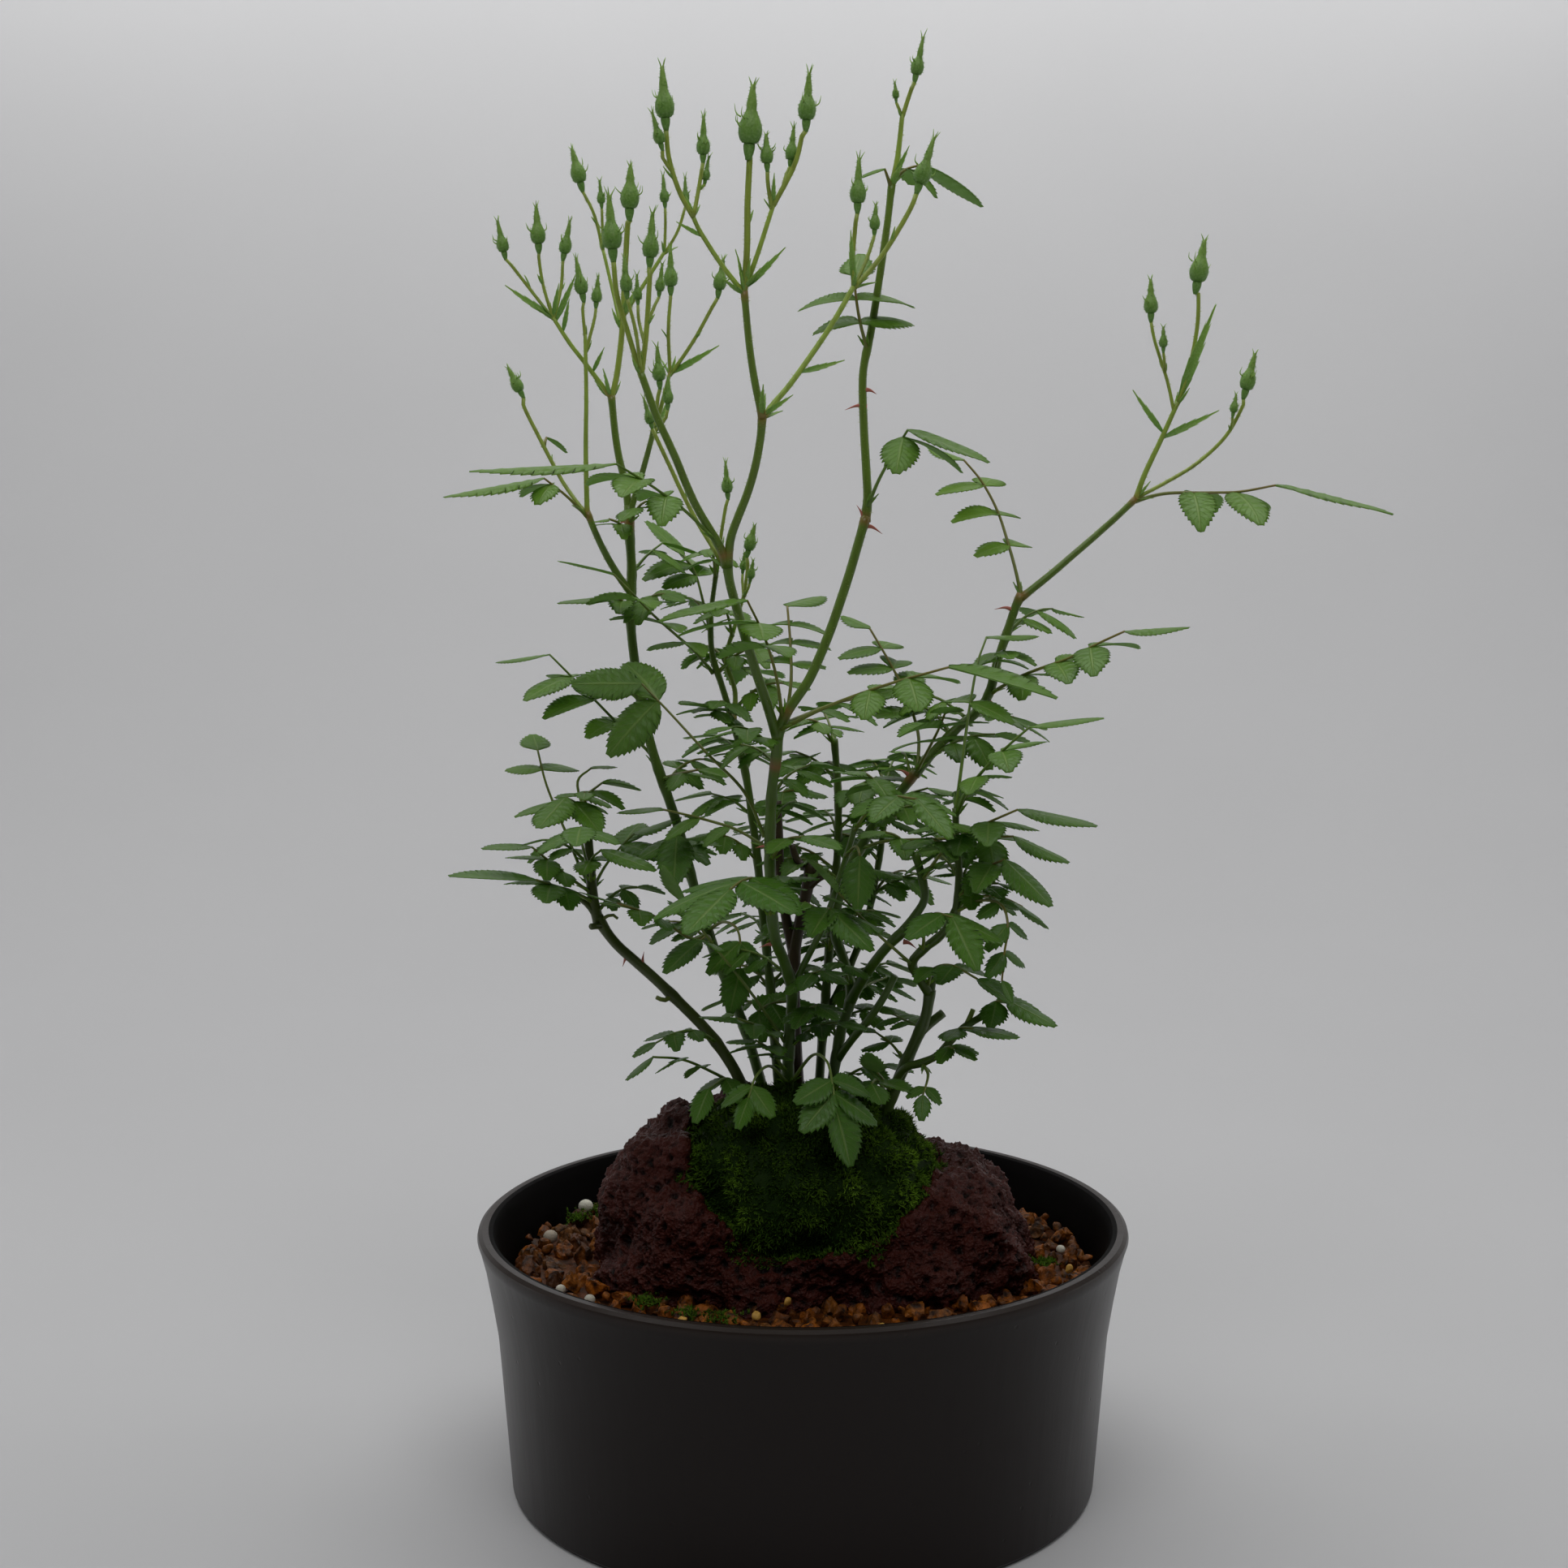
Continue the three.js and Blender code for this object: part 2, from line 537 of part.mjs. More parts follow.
// The left cane ends in two sprays of buds, and a side stem carries two more.
const leftCane = {
  stems: [
    [1.47, 1.25, [-9, 102, 6], [-15.5, 126, 8], [-27, 158, 11], [-43, 214, 16], [-46.4, 240, 18],
      [-46.6, 271, 18]],
    [1.09, 0.95, [-46.6, 269.5, 18], [-51, 300, 18]],
    [0.95, 0.7, [-46.6, 268.5, 18], [-39.6, 292, 12]],
    [0.7, 0.55, [-51.1, 299.5, 18], [-66.3, 320.5, 14]],
    [1.06, 0.85, [-46.2, 247.5, 18], [-53, 258, 14], [-57.8, 269.3, 12]],
    [0.75, 0.5, [-57.8, 268, 12], [-57.8, 316, 12]],
    [0.65, 0.5, [-39.7, 291, 12], [-37.8, 297, 14], [-35.3, 306.3, 15]],
    [0.6, 0.5, [-47.6, 321, 19.3], [-36.4, 337.8, 21]],
    [0.55, 0.45, [-48, 317, 19], [-52.8, 338, 24]],
  ],
  buds: [
    [5.0, 0.75, [-51, 299, 18], [-48, 317, 19], [-47.1, 332, 20], [-45.6, 352, 20],
      [-45.3, 361.5, 20]],
    [3.2, 0.4, [-66.2, 320, 14], [-77.3, 334.3, 13], [-79.4, 339.6, 13], [-80.9, 347, 13]],
    [4.0, 0.4, [-66.2, 320, 14], [-68.8, 329, 14.6], [-70, 342.3, 15], [-70.4, 350.8, 15]],
    [3.3, 0.4, [-66, 320, 14], [-64, 328.5, 16.5], [-62.7, 339.3, 17.5], [-61.2, 347, 17.5]],
    [4.0, 0.4, [-52.7, 337.5, 24], [-55, 347, 25.3], [-59.2, 358, 26], [-61, 365.4, 26]],
    [2.2, 0.35, [-52.8, 338, 24], [-53.2, 351.5, 22], [-53.6, 357.3, 22]],
    [3.5, 0.5, [-39.6, 291, 12], [-38.3, 306.2, 10], [-38.8, 314.6, 10]],
    [2.8, 0.4, [-39.8, 290, 12], [-36.6, 294, 8.5], [-35.9, 299.8, 8], [-35.7, 306, 8]],
    [3.7, 0.45, [-35.3, 305.3, 15], [-35, 331, 16], [-35, 340.3, 16]],
    [3.5, 0.45, [-35.3, 305.3, 15], [-29, 314.4, 13], [-24.4, 322.5, 12.3], [-21.9, 330, 12],
      [-20.8, 337.3, 12]],
    [2.5, 0.35, [-36.6, 337, 21], [-36.5, 352, 21], [-36.9, 358.8, 21]],
    [2.2, 0.35, [-36.6, 337, 21], [-33, 343, 21], [-31, 352, 21], [-31, 358.3, 21]],
    [3.6, 0.4, [-57.8, 315, 12], [-58.8, 329, 12], [-60.2, 337.3, 12]],
    [2.8, 0.4, [-57.8, 311, 12], [-55.3, 320, 14], [-54.6, 326.3, 14.5], [-54.1, 332.3, 14.5]],
    [3.2, 0.5, [-58, 268.5, 12], [-65, 278.5, 15.5], [-74.3, 297, 18], [-76.2, 303, 18],
      [-78.9, 308.3, 18]],
  ],
  leaves: [
    [3, 14, 0.4, 0, [-39.6, 199.5, 15], [-42, 204.5, 16], [-50, 212, 17.5], [-58, 220.3, 19],
      [-68.5, 231, 21], [-83.4, 229.6, 26]],
    [1, 9, 0.72, 0, [-46.2, 252.5, 18], [-42, 257.5, 23], [-37.6, 261, 28], [-27.4, 258, 35]],
    [1, 8, 0.6, 0, [-46.4, 241, 18], [-48.5, 245.3, 14], [-51, 246.3, 10], [-66.6, 245.4, 3]],
    [1, 10, 0.82, 0, [-57.8, 268, 12], [-63.5, 273.6, 9], [-69.3, 278.2, 6], [-97.6, 274.3, -2]],
    [0, 7, 0.6, 0, [-69.3, 286.5, 16.8], [-68.4, 289, 19], [-62.8, 285, 22]],
    [1, 8, 0.6, 0, [-38.4, 197, 14.5], [-33, 198.6, 7], [-28, 199.6, 1], [-20.5, 197.8, -6]],
    [1, 11, 0.75, 0, [-30.8, 171, 12], [-34, 179, 4], [-34.4, 181.5, -4], [-35.5, 167, -17]],
    [2, 9, 0.6, 0, [-26, 154, 10.8], [-31, 153, 2], [-40, 158.8, -7], [-51, 162.8, -16],
      [-61, 166.5, -22]],
    [0, 12, 0.6, 0, [-25.2, 151.5, 10.4], [-26, 153.6, 3], [-28, 152.5, -3],
      [-38.7, 143.2, -12]],
    [1, 9, 0.76, 0, [-26.3, 155, 10.8], [-21.5, 157.5, 2], [-17.6, 154.5, -5], [-17.2, 144.5, -9],
      [-20.3, 131.5, -14]],
    [1, 7, 0.6, 0, [-46.5, 262, 18], [-49, 266, 13], [-52, 267.3, 10], [-56, 266.8, 6]],
    [1, 9, 0.6, 0, [-46.5, 266, 18], [-44, 270.5, 12], [-42, 272, 8], [-36.8, 271.5, 2]],
  ],
  climbing: [[0, 128, 240, 6, 9]],
  thorns: [
    [[-37.4, 194.5, 14.2], [-33.6, 194.9, 14]],
    [[-46.4, 266.5, 18], [-49.8, 265.9, 18]],
  ],
};

// The low left cane is old and dark, with green shoots above its cut end.
const lowLeftCane = {
  stems: [
    [1.6, 1.39, [-14, 102, -2], [-17.5, 113, -2], [-22, 121, -2], [-34, 135, -2],
      [-50.7, 150.8, 0], [-54, 155, 1], [-56.2, 159, 1]],
    [1.39, 1.13, [-56, 157.5, 1], [-57.4, 164, 1.5], [-59.3, 188.3, 4]],
    [0.9, 0.8, [-56.3, 158.5, 1], [-58.6, 162, 1], [-61.9, 164.7, 2]],
    [0.9, 0.9, [-55, 156.5, 1], [-58, 156.2, -3]],
    [0.7, 0.6, [-36, 137, -2], [-38, 135.6, -4], [-40.3, 136.4, -5]],
    [0.55, 0.4, [-55.8, 157.8, 1], [-52.5, 159.5, 0], [-50.7, 158.4, 0]],
  ],
  buds: [],
  leaves: [
    [2, 10, 0.5, 0, [-57.8, 165.5, 1.6], [-64, 170, -4], [-70, 175, -9], [-74, 178.3, -12],
      [-88, 178.4, -19]],
    [2, 12, 0.55, 0, [-57.4, 163, 1.3], [-63, 166, -6], [-68, 167.6, -12], [-73, 169.2, -17],
      [-97.7, 171.5, -25]],
    [1, 11, 0.87, 0, [-58, 167, 2], [-61, 173, 8], [-64.5, 182, 13], [-69.6, 195, 17],
      [-72, 205, 20], [-73.3, 210, 32]],
    [1, 14, 0.75, 0, [-58.7, 183, 3.5], [-61, 189.5, -3], [-64.5, 192, -9], [-72.5, 184, -26]],
    [1, 9, 0.7, 0, [-59, 186, 3.7], [-59.3, 191.8, 8], [-54.5, 196, 11], [-43.6, 194.3, 14]],
    [0, 10, 0.6, 0, [-59, 186.5, 3.7], [-61.3, 196, 12], [-57.5, 200, 16], [-50.5, 200.6, 20]],
    [1, 12, 0.84, 0, [-58.2, 171, 2], [-60, 178, -12], [-60.4, 182, -25], [-60.5, 183.8, -34],
      [-62, 179, -48]],
    [1, 10, 0.6, 0, [-58, 168, 2], [-57.8, 174.5, -6], [-55, 177.5, -12], [-39.4, 172.2, -18]],
    [1, 13, 0.8, 0, [-57.8, 166, 1.8], [-54, 173, 8], [-49.5, 178.5, 12], [-46, 182, 14],
      [-32.8, 187.2, 12]],
    [2, 7, 0.55, 0.5, [-16.5, 110.5, -2.5], [-24, 114.8, -11], [-33, 118.8, -18],
      [-41.5, 119.6, -23], [-49.5, 113.2, -27]],
    [2, 8, 0.5, 0.2, [-24, 123.8, -2.5], [-29, 126.8, -10], [-35, 126.4, -15],
      [-40.5, 123.6, -19], [-47.2, 119.6, -22]],
    [1, 8, 0.6, 0, [-16.3, 110, -2.5], [-21, 113.5, -14], [-26, 110.5, -24], [-30.3, 100.5, -29]],
  ],
  climbing: [[1, 160, 186, 3, 8]],
  thorns: [
    [[-44.2, 145, -1.2], [-43.6, 149.2, -1.4]],
    [[-48, 148.5, -0.6], [-49.5, 145, -1]],
  ],
};

// The back left cane rises behind the front cane and ends in two small sprays of buds.
const backLeftCane = {
  stems: [
    [1.35, 1.06, [-6, 102, 16], [-13, 180, 27], [-15.5, 198, 30], [-18.8, 213, 31]],
    [0.99, 0.6, [-18.7, 211.5, 31], [-24.5, 231, 31], [-24.8, 241, 31], [-22.4, 259, 31]],
    [0.8, 0.5, [-18.8, 212, 31], [-18.4, 221, 33], [-20.8, 229.5, 34], [-15.7, 247.5, 35]],
  ],
  buds: [
    [3.0, 0.45, [-22.5, 258, 31], [-20.3, 276.3, 31], [-20.8, 283.8, 31]],
    [3.2, 0.45, [-15.8, 246.5, 35], [-14.1, 261, 35], [-12.7, 266.6, 35]],
    [2.0, 0.35, [-15.9, 246, 35], [-16.3, 251, 37], [-16, 255, 37.5], [-15.6, 259.3, 37.5]],
    [2.2, 0.35, [-15.8, 246.5, 35], [-14.2, 250, 33], [-13.9, 252.8, 32.5], [-13.2, 257.3, 32]],
  ],
  leaves: [
    [3, 12, 0.3, 0, [-23.2, 226, 31], [-29, 231.5, 24], [-34, 236, 16], [-40, 241.3, 6],
      [-46, 247.5, -3], [-51, 252.6, -9], [-66, 257, -17]],
    [2, 12, 0.72, 0, [-24.8, 236, 31], [-26.6, 244, 34], [-29, 253, 37], [-32, 257.5, 39],
      [-42.3, 267.6, 42]],
    [1, 10, 0.6, 0, [-24.2, 228, 31], [-24, 231, 38], [-24, 232, 43], [-23, 232.6, 54]],
    [2, 9, 0.4, 0, [-18.6, 211.5, 31], [-22, 215, 24], [-25.5, 216.8, 18], [-33.5, 218, 10]],
    [1, 10, 0.55, 0, [-20.6, 228, 34], [-17, 227.5, 40], [-13, 226.5, 46], [-5, 225, 54]],
    [2, 10, 0.45, 0, [-16.5, 203, 30.5], [-20, 207, 38], [-24, 209, 44], [-32, 208.6, 54]],
    [2, 10, 0.45, 0, [-14, 187, 28.3], [-19, 191, 33], [-25, 193, 37], [-35, 191.5, 43]],
    [2, 10, 0.45, 0, [-12.8, 178, 26.7], [-11, 183, 35], [-9, 186, 43], [-6, 186, 56]],
    [2, 9, 0.45, 0, [-10.3, 153, 23], [-13, 158, 31], [-17, 160, 39], [-23, 158, 50]],
    [2, 9, 0.45, 0, [-9, 140, 21], [-5, 144, 28], [-1, 146, 36], [4, 144, 46]],
    [1, 8, 0.5, 0, [-8.4, 132, 20], [-14, 135, 25], [-20, 136, 30], [-28, 133, 35]],
  ],
  climbing: [[0, 126, 211, 8, 9], [1, 226, 252, 3, 8], [2, 216, 236, 3, 8]],
  thorns: [],
};

// The right cane leans out to the far right, where it ends in a spray of buds.
const rightCane = {
  stems: [
    [1.52, 1.3, [7, 102, 0], [10.5, 127, 2], [13.3, 137, 3], [11.5, 146, 6], [9, 154, 8],
      [9.5, 163, 9], [12, 171, 10], [19, 183.5, 12], [31, 199.2, 14.3]],
    [1.28, 1.19, [30.3, 198, 14.1], [35.5, 204.5, 15], [47.5, 215.8, 17], [50.6, 221, 17],
      [52.5, 229, 17], [58.8, 247.3, 17]],
    [1.06, 0.85, [58.5, 246, 17], [78, 262.4, 20], [89.2, 272.8, 20]],
    [0.8, 0.65, [88.9, 272, 20], [99.9, 298.3, 20]],
    [1.47, 1.3, [12.9, 135, 3], [21, 148, -7], [28.3, 155.5, -12]],
    [1.13, 0.99, [9.6, 119, 1.3], [13.5, 124.5, -3.5], [18, 130, -6.5], [25.3, 142.5, -9]],
    [1.19, 1.06, [26, 153.5, -10.6], [30.5, 159, -12.5], [33.3, 164, -13.5], [32.5, 170, -13.5],
      [30.5, 177, -12.5]],
  ],
  buds: [
    [5.0, 0.5, [99.7, 297.5, 20], [102.7, 307.1, 20], [104.6, 318, 20], [104.9, 333, 20],
      [106.3, 342, 20]],
    [3.7, 0.4, [98.9, 295.6, 20], [93.5, 314, 20.8], [92.2, 324, 21], [92, 332, 21]],
    [2.3, 0.35, [96.3, 306, 20.3], [95.7, 314.2, 18], [95.6, 319, 18]],
    [4.1, 0.45, [89.4, 273, 20], [105.4, 282.2, 23], [113, 289.5, 23], [117.5, 298, 23],
      [118.5, 304.2, 23], [120.5, 312.6, 23]],
    [2.2, 0.35, [114, 290.8, 23], [114.8, 294, 21], [114.9, 297, 20.5], [115.5, 301.3, 20.5]],
  ],
  leaves: [
    [2, 17, 0.42, 0, [89, 272.1, 20], [97, 274.1, 18], [108, 274.3, 15.5], [117, 274.6, 13.5],
      [126.5, 276.3, 11.5], [160, 269.7, 5]],
    [3, 12, 0.36, 0, [58.8, 246, 17], [57.3, 253, 19], [55.3, 260, 22], [52.3, 269, 26],
      [48, 277, 29], [43, 283, 31], [33.5, 287, 38]],
    [3, 14, 0.3, 0.1, [50.7, 220.2, 17], [54.5, 222.6, 12], [60, 225.5, 8], [66, 227.8, 4],
      [72, 230, 1], [80.5, 234.3, -3], [86.8, 237.2, -6], [104.8, 239.2, -12]],
    [2, 13, 0.55, 0, [30.8, 198.8, 14], [33.5, 204, 8], [36.5, 210, 2], [38.5, 215, -3],
      [39.5, 217.5, -16]],
    [4, 11, 0.4, 0, [31, 199, 14.2], [31.4, 208, 18], [29.6, 215.5, 21], [27, 222, 23],
      [23, 229.5, 25], [18, 238, 28], [10.2, 242, 34]],
    [3, 12, 0.55, 0, [15.8, 177.8, 11.2], [22, 179.8, 5], [30, 180.3, -1], [40, 180.6, -7],
      [57.5, 181.2, -15], [73.7, 174.4, -20]],
    [2, 13, 0.55, 0, [32.6, 169, -13.6], [38, 176.8, -21], [44.5, 182.3, -27],
      [51, 185.3, -32], [58.5, 188.6, -36], [81.3, 184.9, -42]],
    [2, 11, 0.45, 0, [46.5, 215, 16.8], [52, 214.5, 24], [57, 214, 31], [66, 211, 41]],
    [2, 12, 0.45, 0, [40, 209, 15.8], [36, 214.5, 24], [32, 217, 32], [26, 216, 45]],
    [2, 11, 0.45, 0, [24, 190, 13], [20, 196, 6], [16.5, 199, 0], [8, 199.5, -9]],
    [2, 11, 0.45, 0, [19, 183.5, 12], [24, 186, 20], [30, 187.5, 28], [40, 185, 39]],
    [1, 10, 0.6, 0, [10.2, 165, 9.2], [15, 170, 3], [19, 172, -2], [27, 170, -9]],
    [1, 10, 0.6, 0, [9.2, 156, 8.2], [4, 161, 2], [0.5, 163, -4], [-2, 161, -13]],
    [2, 10, 0.5, 0, [12.8, 137, 3], [18, 140, 11], [23, 142, 18], [31, 140, 28]],
    [1, 9, 0.5, 0, [30.6, 176, -12.6], [26, 181, -16], [22, 182.5, -21], [15, 181, -28]],
  ],
  climbing: [[0, 110, 197, 7, 9], [1, 202, 236, 4, 10]],
  thorns: [
    [[29, 197.8, 14], [25.2, 199.6, 13.6]],
    [[56.9, 242.8, 17], [51.6, 243.1, 17]],
    [[50, 218.5, 17], [53.2, 214.2, 17]],
    [[26, 153, -10.6], [29.6, 150.6, -11.2]],
  ],
};

// The right front cane is a pruned stump with green shoots and many small leaves.
const rightFrontCane = {
  stems: [
    [1.75, 1.47, [22, 102, -4], [33.8, 131, -8], [35, 138.5, -9]],
    [1.06, 0.99, [35, 137, -9], [35.8, 142.3, -9]],
    [1.3, 1.25, [32.6, 127, -7.5], [38.6, 132, -5]],
    [1.3, 1.06, [34.8, 137.5, -9], [31.8, 142, -11], [30, 146, -13.5], [33, 149.8, -16],
      [38.5, 154.5, -18.5], [42, 161, -20]],
    [1.06, 0.8, [41.9, 159.5, -20], [42.7, 170, -20], [41.5, 189, -18]],
    [1.19, 0.9, [24, 109.5, -5], [28, 116.2, -10], [37.5, 120.3, -14], [44.5, 128, -16],
      [49.7, 131.3, -17]],
    [0.75, 0.7, [45, 128.3, -16], [46.9, 133, -16]],
  ],
  buds: [],
  leaves: [
    [2, 14, 0.6, 0, [41.5, 188, -18], [42.8, 198, -16], [44, 208, -13], [45.5, 219, -9],
      [47.3, 229, -5], [49.5, 235.5, 0], [63.8, 236.8, 8]],
    [2, 13, 0.42, 0, [41.6, 186, -18], [44.5, 193.5, -22], [50.3, 200.8, -27], [56, 206.4, -31],
      [61.5, 211.2, -34], [82.3, 214.8, -36]],
    [2, 12, 0.6, 0, [42.4, 164, -20], [46.5, 169.5, -25], [51, 173, -30], [55, 174.8, -34],
      [69, 162, -45]],
    [2, 10, 0.5, 0, [42.1, 161.5, -20], [48, 164.5, -15], [55, 164, -10], [60, 161.8, -6],
      [67.4, 156, -1]],
    [3, 7.5, 0.45, 0, [42, 160.5, -20], [49, 163.5, -28], [54.5, 162, -35], [56.2, 156, -39],
      [55.3, 149, -41], [54.7, 141, -42], [57.8, 135, -43]],
    [1, 14, 0.86, 0, [33, 149.5, -16], [33.5, 156, -28], [36, 159.8, -39], [41, 158.8, -49],
      [48.5, 143.5, -58]],
    [2, 9, 0.6, 0, [30, 145.5, -13.5], [25.5, 149.6, -20], [20, 154.6, -24],
      [9.5, 165.8, -30], [1, 176, -33]],
    [2, 10, 0.35, 0, [34.2, 139.5, -9.4], [36, 144.4, -16], [41, 145.3, -23],
      [48, 141.5, -30], [58, 134.8, -36]],
    [1, 11, 0.7, 0, [49.6, 131, -17], [51.8, 134.6, -21], [56, 135.8, -25], [70.6, 128.6, -33]],
    [1, 10, 0.6, 0, [41, 124.2, -15], [43, 127.6, -23], [47, 127.6, -29], [60, 125.6, -36]],
    [1, 7, 0.6, 0, [39.2, 122, -14.6], [40.4, 122.4, -20], [42, 122, -24], [48, 118.8, -29]],
    [1, 5.5, 0.8, 0, [33, 117.6, -12], [34.6, 114.5, -18], [33.2, 108.8, -24],
      [32.8, 101.2, -28]],
    [0, 8, 0.6, 0, [24.5, 110, -5.5], [22, 113.5, -13], [20.3, 115.4, -17],
      [18.2, 121.6, -24]],
    [2, 6.5, 0.4, 0, [32.4, 128.2, -7.5], [28.5, 129.8, -1], [25, 131.6, 4], [20.5, 134.5, 9]],
    [1, 7, 0.6, 0, [28.4, 118, -6], [24.5, 123.2, -1], [20, 126.6, 3], [14.5, 128.5, 7]],
    [1, 10, 0.55, 0, [23.6, 108.5, -5], [20.5, 113, -16], [19, 112, -24], [22, 106.5, -34]],
    [2, 9, 0.4, 0, [42.6, 167, -20], [44.5, 172, -13], [46, 174.4, -7], [48, 173.8, 4]],
    [2, 9, 0.4, 0, [42.4, 175, -19.4], [39, 179, -26], [35, 180.6, -32], [27, 178, -40]],
    [1, 9, 0.5, 0, [36.5, 152.8, -17.6], [39, 155, -9], [41, 156, -2], [45, 154, 8]],
  ],
  climbing: [[4, 161, 187, 4, 9]],
  thorns: [],
};

// The back right cane fills the plant behind the old wood.
const backRightCane = {
  stems: [
    [1.39, 0.99, [4, 102, 14], [5, 120, 18], [6.5, 140, 24], [9.5, 178, 33], [9.5, 194, 36],
      [8.5, 208, 38]],
    [1.13, 0.8, [5.7, 130, 21], [12, 143, 28], [17, 156, 34], [20, 170, 38], [22, 184, 41],
      [22.5, 196, 43]],
  ],
  buds: [],
  leaves: [
    [2, 11, 0.42, 0, [8.6, 206.5, 38], [7, 212.5, 44], [5.5, 215.5, 50], [2, 216.5, 62]],
    [2, 11, 0.42, 0, [9.3, 197, 36.5], [3.5, 202, 40], [-2, 204.5, 42], [-12, 204, 44]],
    [2, 11, 0.42, 0, [9.6, 190, 35.5], [15, 195, 31], [20, 197.5, 26], [29, 197, 20]],
    [2, 11, 0.42, 0, [9.5, 181, 33.5], [8, 186, 42], [6, 188.5, 50], [2, 187.5, 62]],
    [2, 10, 0.42, 0, [8.8, 169, 31], [3, 173, 36], [-2, 175, 41], [-10, 173.5, 48]],
    [2, 10, 0.42, 0, [7.2, 150, 26.5], [3, 154.5, 34], [0, 156, 42], [-5, 153.5, 54]],
    [2, 11, 0.42, 0, [22.5, 195, 43], [24, 201, 49], [26, 204, 55], [29, 205, 67]],
    [2, 11, 0.42, 0, [22.2, 188, 42], [28, 192.5, 40], [34, 194.5, 38], [44, 193, 36]],
    [2, 10, 0.42, 0, [21, 177, 39.5], [17, 181.5, 47], [14, 183.5, 54], [10, 182, 66]],
    [2, 10, 0.42, 0, [19, 165, 36.5], [25, 169, 38], [31, 171, 40], [41, 168.5, 43]],
    [2, 10, 0.42, 0, [15.5, 151, 32], [15, 155.5, 41], [15, 157, 49], [16, 154.5, 61]],
    [2, 9, 0.42, 0, [11, 141, 27], [17, 144.5, 30], [23, 146, 34], [32, 143, 40]],
  ],
  climbing: [[0, 126, 206, 8, 9], [1, 134, 195, 7, 9]],
  thorns: [],
};

// The glazed pot with its flared wall, rounded lip and three drain holes.
const inside = wallProfile.map(([radius, height]) => [radius - wallThickness, height]);
const potProfile = [
  [0, 0],
  [wallProfile[0][0] - 1, 0],
  ...wallProfile,
  [rimRadius, potHeight - 1.5],
  [rimRadius - 1.3, potHeight],
  [rimRadius - 3.6, potHeight],
  [rimRadius - 4.7, potHeight - 0.8],
  ...inside.slice(1).reverse(),
  [inside[0][0] - 1.5, floorThickness],
  [0, floorThickness],
];
const drainPlaces = [0, 1, 2].map((third) =>
  new THREE.Vector3(drainCircleRadius, 0, 0).applyAxisAngle(up, (2 * Math.PI * third) / 3),
);
const drain = turnedSolid(
  new THREE.CylinderGeometry(drainHoleRadius, drainHoleRadius, 3 * floorThickness, 10),
);
const drains = drainPlaces.map(({ x, y }) => drain.translate(x, y, 0));
const potShell = latheSolid(potProfile);
const pot = addPiece("pot", potShell.subtract(joined(drains)), 0x372f2e, 0.35);

// Plastic nets keep the grains from falling through the drain holes.
const netMiddle = floorThickness + gap + netThickness / 2;
const netPlate = turnedSolid(new THREE.CylinderGeometry(netRadius, netRadius, netThickness, 6));
const netHoles = [[1, 1], [-1, 1], [-1, -1], [1, -1]].map(([x, y]) =>
  solidOf(new THREE.BoxGeometry(netHole, netHole, 2)).translate(
    netHoleSpacing * x,
    netHoleSpacing * y,
    0,
  ),
);
const net = netPlate.subtract(joined(netHoles));
drainPlaces.forEach(({ x, y }, i) => {
  addPiece(`drain_net_${i + 1}`, net.translate(x, y, netMiddle), 0x1d2a1f, 0.6);
});

// The bed of grains fills the pot to just under its lip, round the rock.
const rockBlock = lumpSolid(rockForm, 0);
const soilFoot = netMiddle + netThickness / 2 + gap;
const soilUneven = unevenness(drawFrom(23), [8, 15]);
const soilHeightAt = (spot) => soilHeight + grainRelief * soilUneven(spot);
const soilProfile = [
  [0, soilFoot],
  [inside[0][0] - 2, soilFoot],
  ...inside.slice(1, -1).map(([radius, height]) => [radius - gap, height]),
  ...[81.6, 70, 56, 0].map((radius) => [radius, soilHeight]),
];
const soilShape = latheGeometry(soilProfile);
const soilSpots = soilShape.attributes.position;
for (let i = 0; i < soilSpots.count; i += 1) {
  const spot = new THREE.Vector3().fromBufferAttribute(soilSpots, i);
  if (spot.z === soilHeight) {
    soilSpots.setZ(i, soilHeightAt(spot));
  }
}
const pelletSolids = pellets.map(([x, y]) => {
  const height = soilHeightAt(new THREE.Vector3(x, y, soilHeight)) + pelletRadius / 2;
  return solidOf(new THREE.IcosahedronGeometry(pelletRadius)).translate(x, y, height);
});
const bed = joined([solidOf(soilShape), ...pelletSolids]);
const soil = addPiece("soil_bed", bed.subtract(lumpSolid(rockForm, gap)), 0x6e4a24, 0.9);

// The lava rock is hollowed in front and on top to hold the root ball.
const hollow = solidOf(new THREE.IcosahedronGeometry(1, 2))
  .scale(hollowHalf)
  .translate(hollowCentre);
const rock = addPiece(
  "lava_rock",
  rockBlock.subtract(joined([hollow, lumpSolid(mossForm, gap)])),
  0x46282a,
  0.85,
);

// Canes in the order in which their leaves find room.
const canes = [
  ["old_wood", oldWood, 0x2c2a1e],
  ["front_cane", frontCane, 0x4f7040],
  ["left_cane", leftCane, 0x4f7040],
  ["low_left_cane", lowLeftCane, 0x3c5a30],
  ["right_cane", rightCane, 0x4f7040],
  ["right_front_cane", rightFrontCane, 0x47663a],
  ["back_left_cane", backLeftCane, 0x4a6a3c],
  ["back_right_cane", backRightCane, 0x45633a],
];
const woods = canes.map(([, cane]) =>
  joined([
    ...cane.stems.map((stem) => stemSolid(stem, 0)),
    ...cane.buds.map(budSolid),
    ...cane.thorns.map(thornSolid),
  ]),
);

// The moss-covered root ball has plain holes in which the canes stand.
const canesSwollen = canes.flatMap(([, cane]) => cane.stems.map((stem) => stemSolid(stem, gap)));
const moss = addPiece(
  "moss_root_ball",
  lumpSolid(mossForm, 0).subtract(joined(canesSwollen)),
  0x2c4a1a,
  0.95,
);

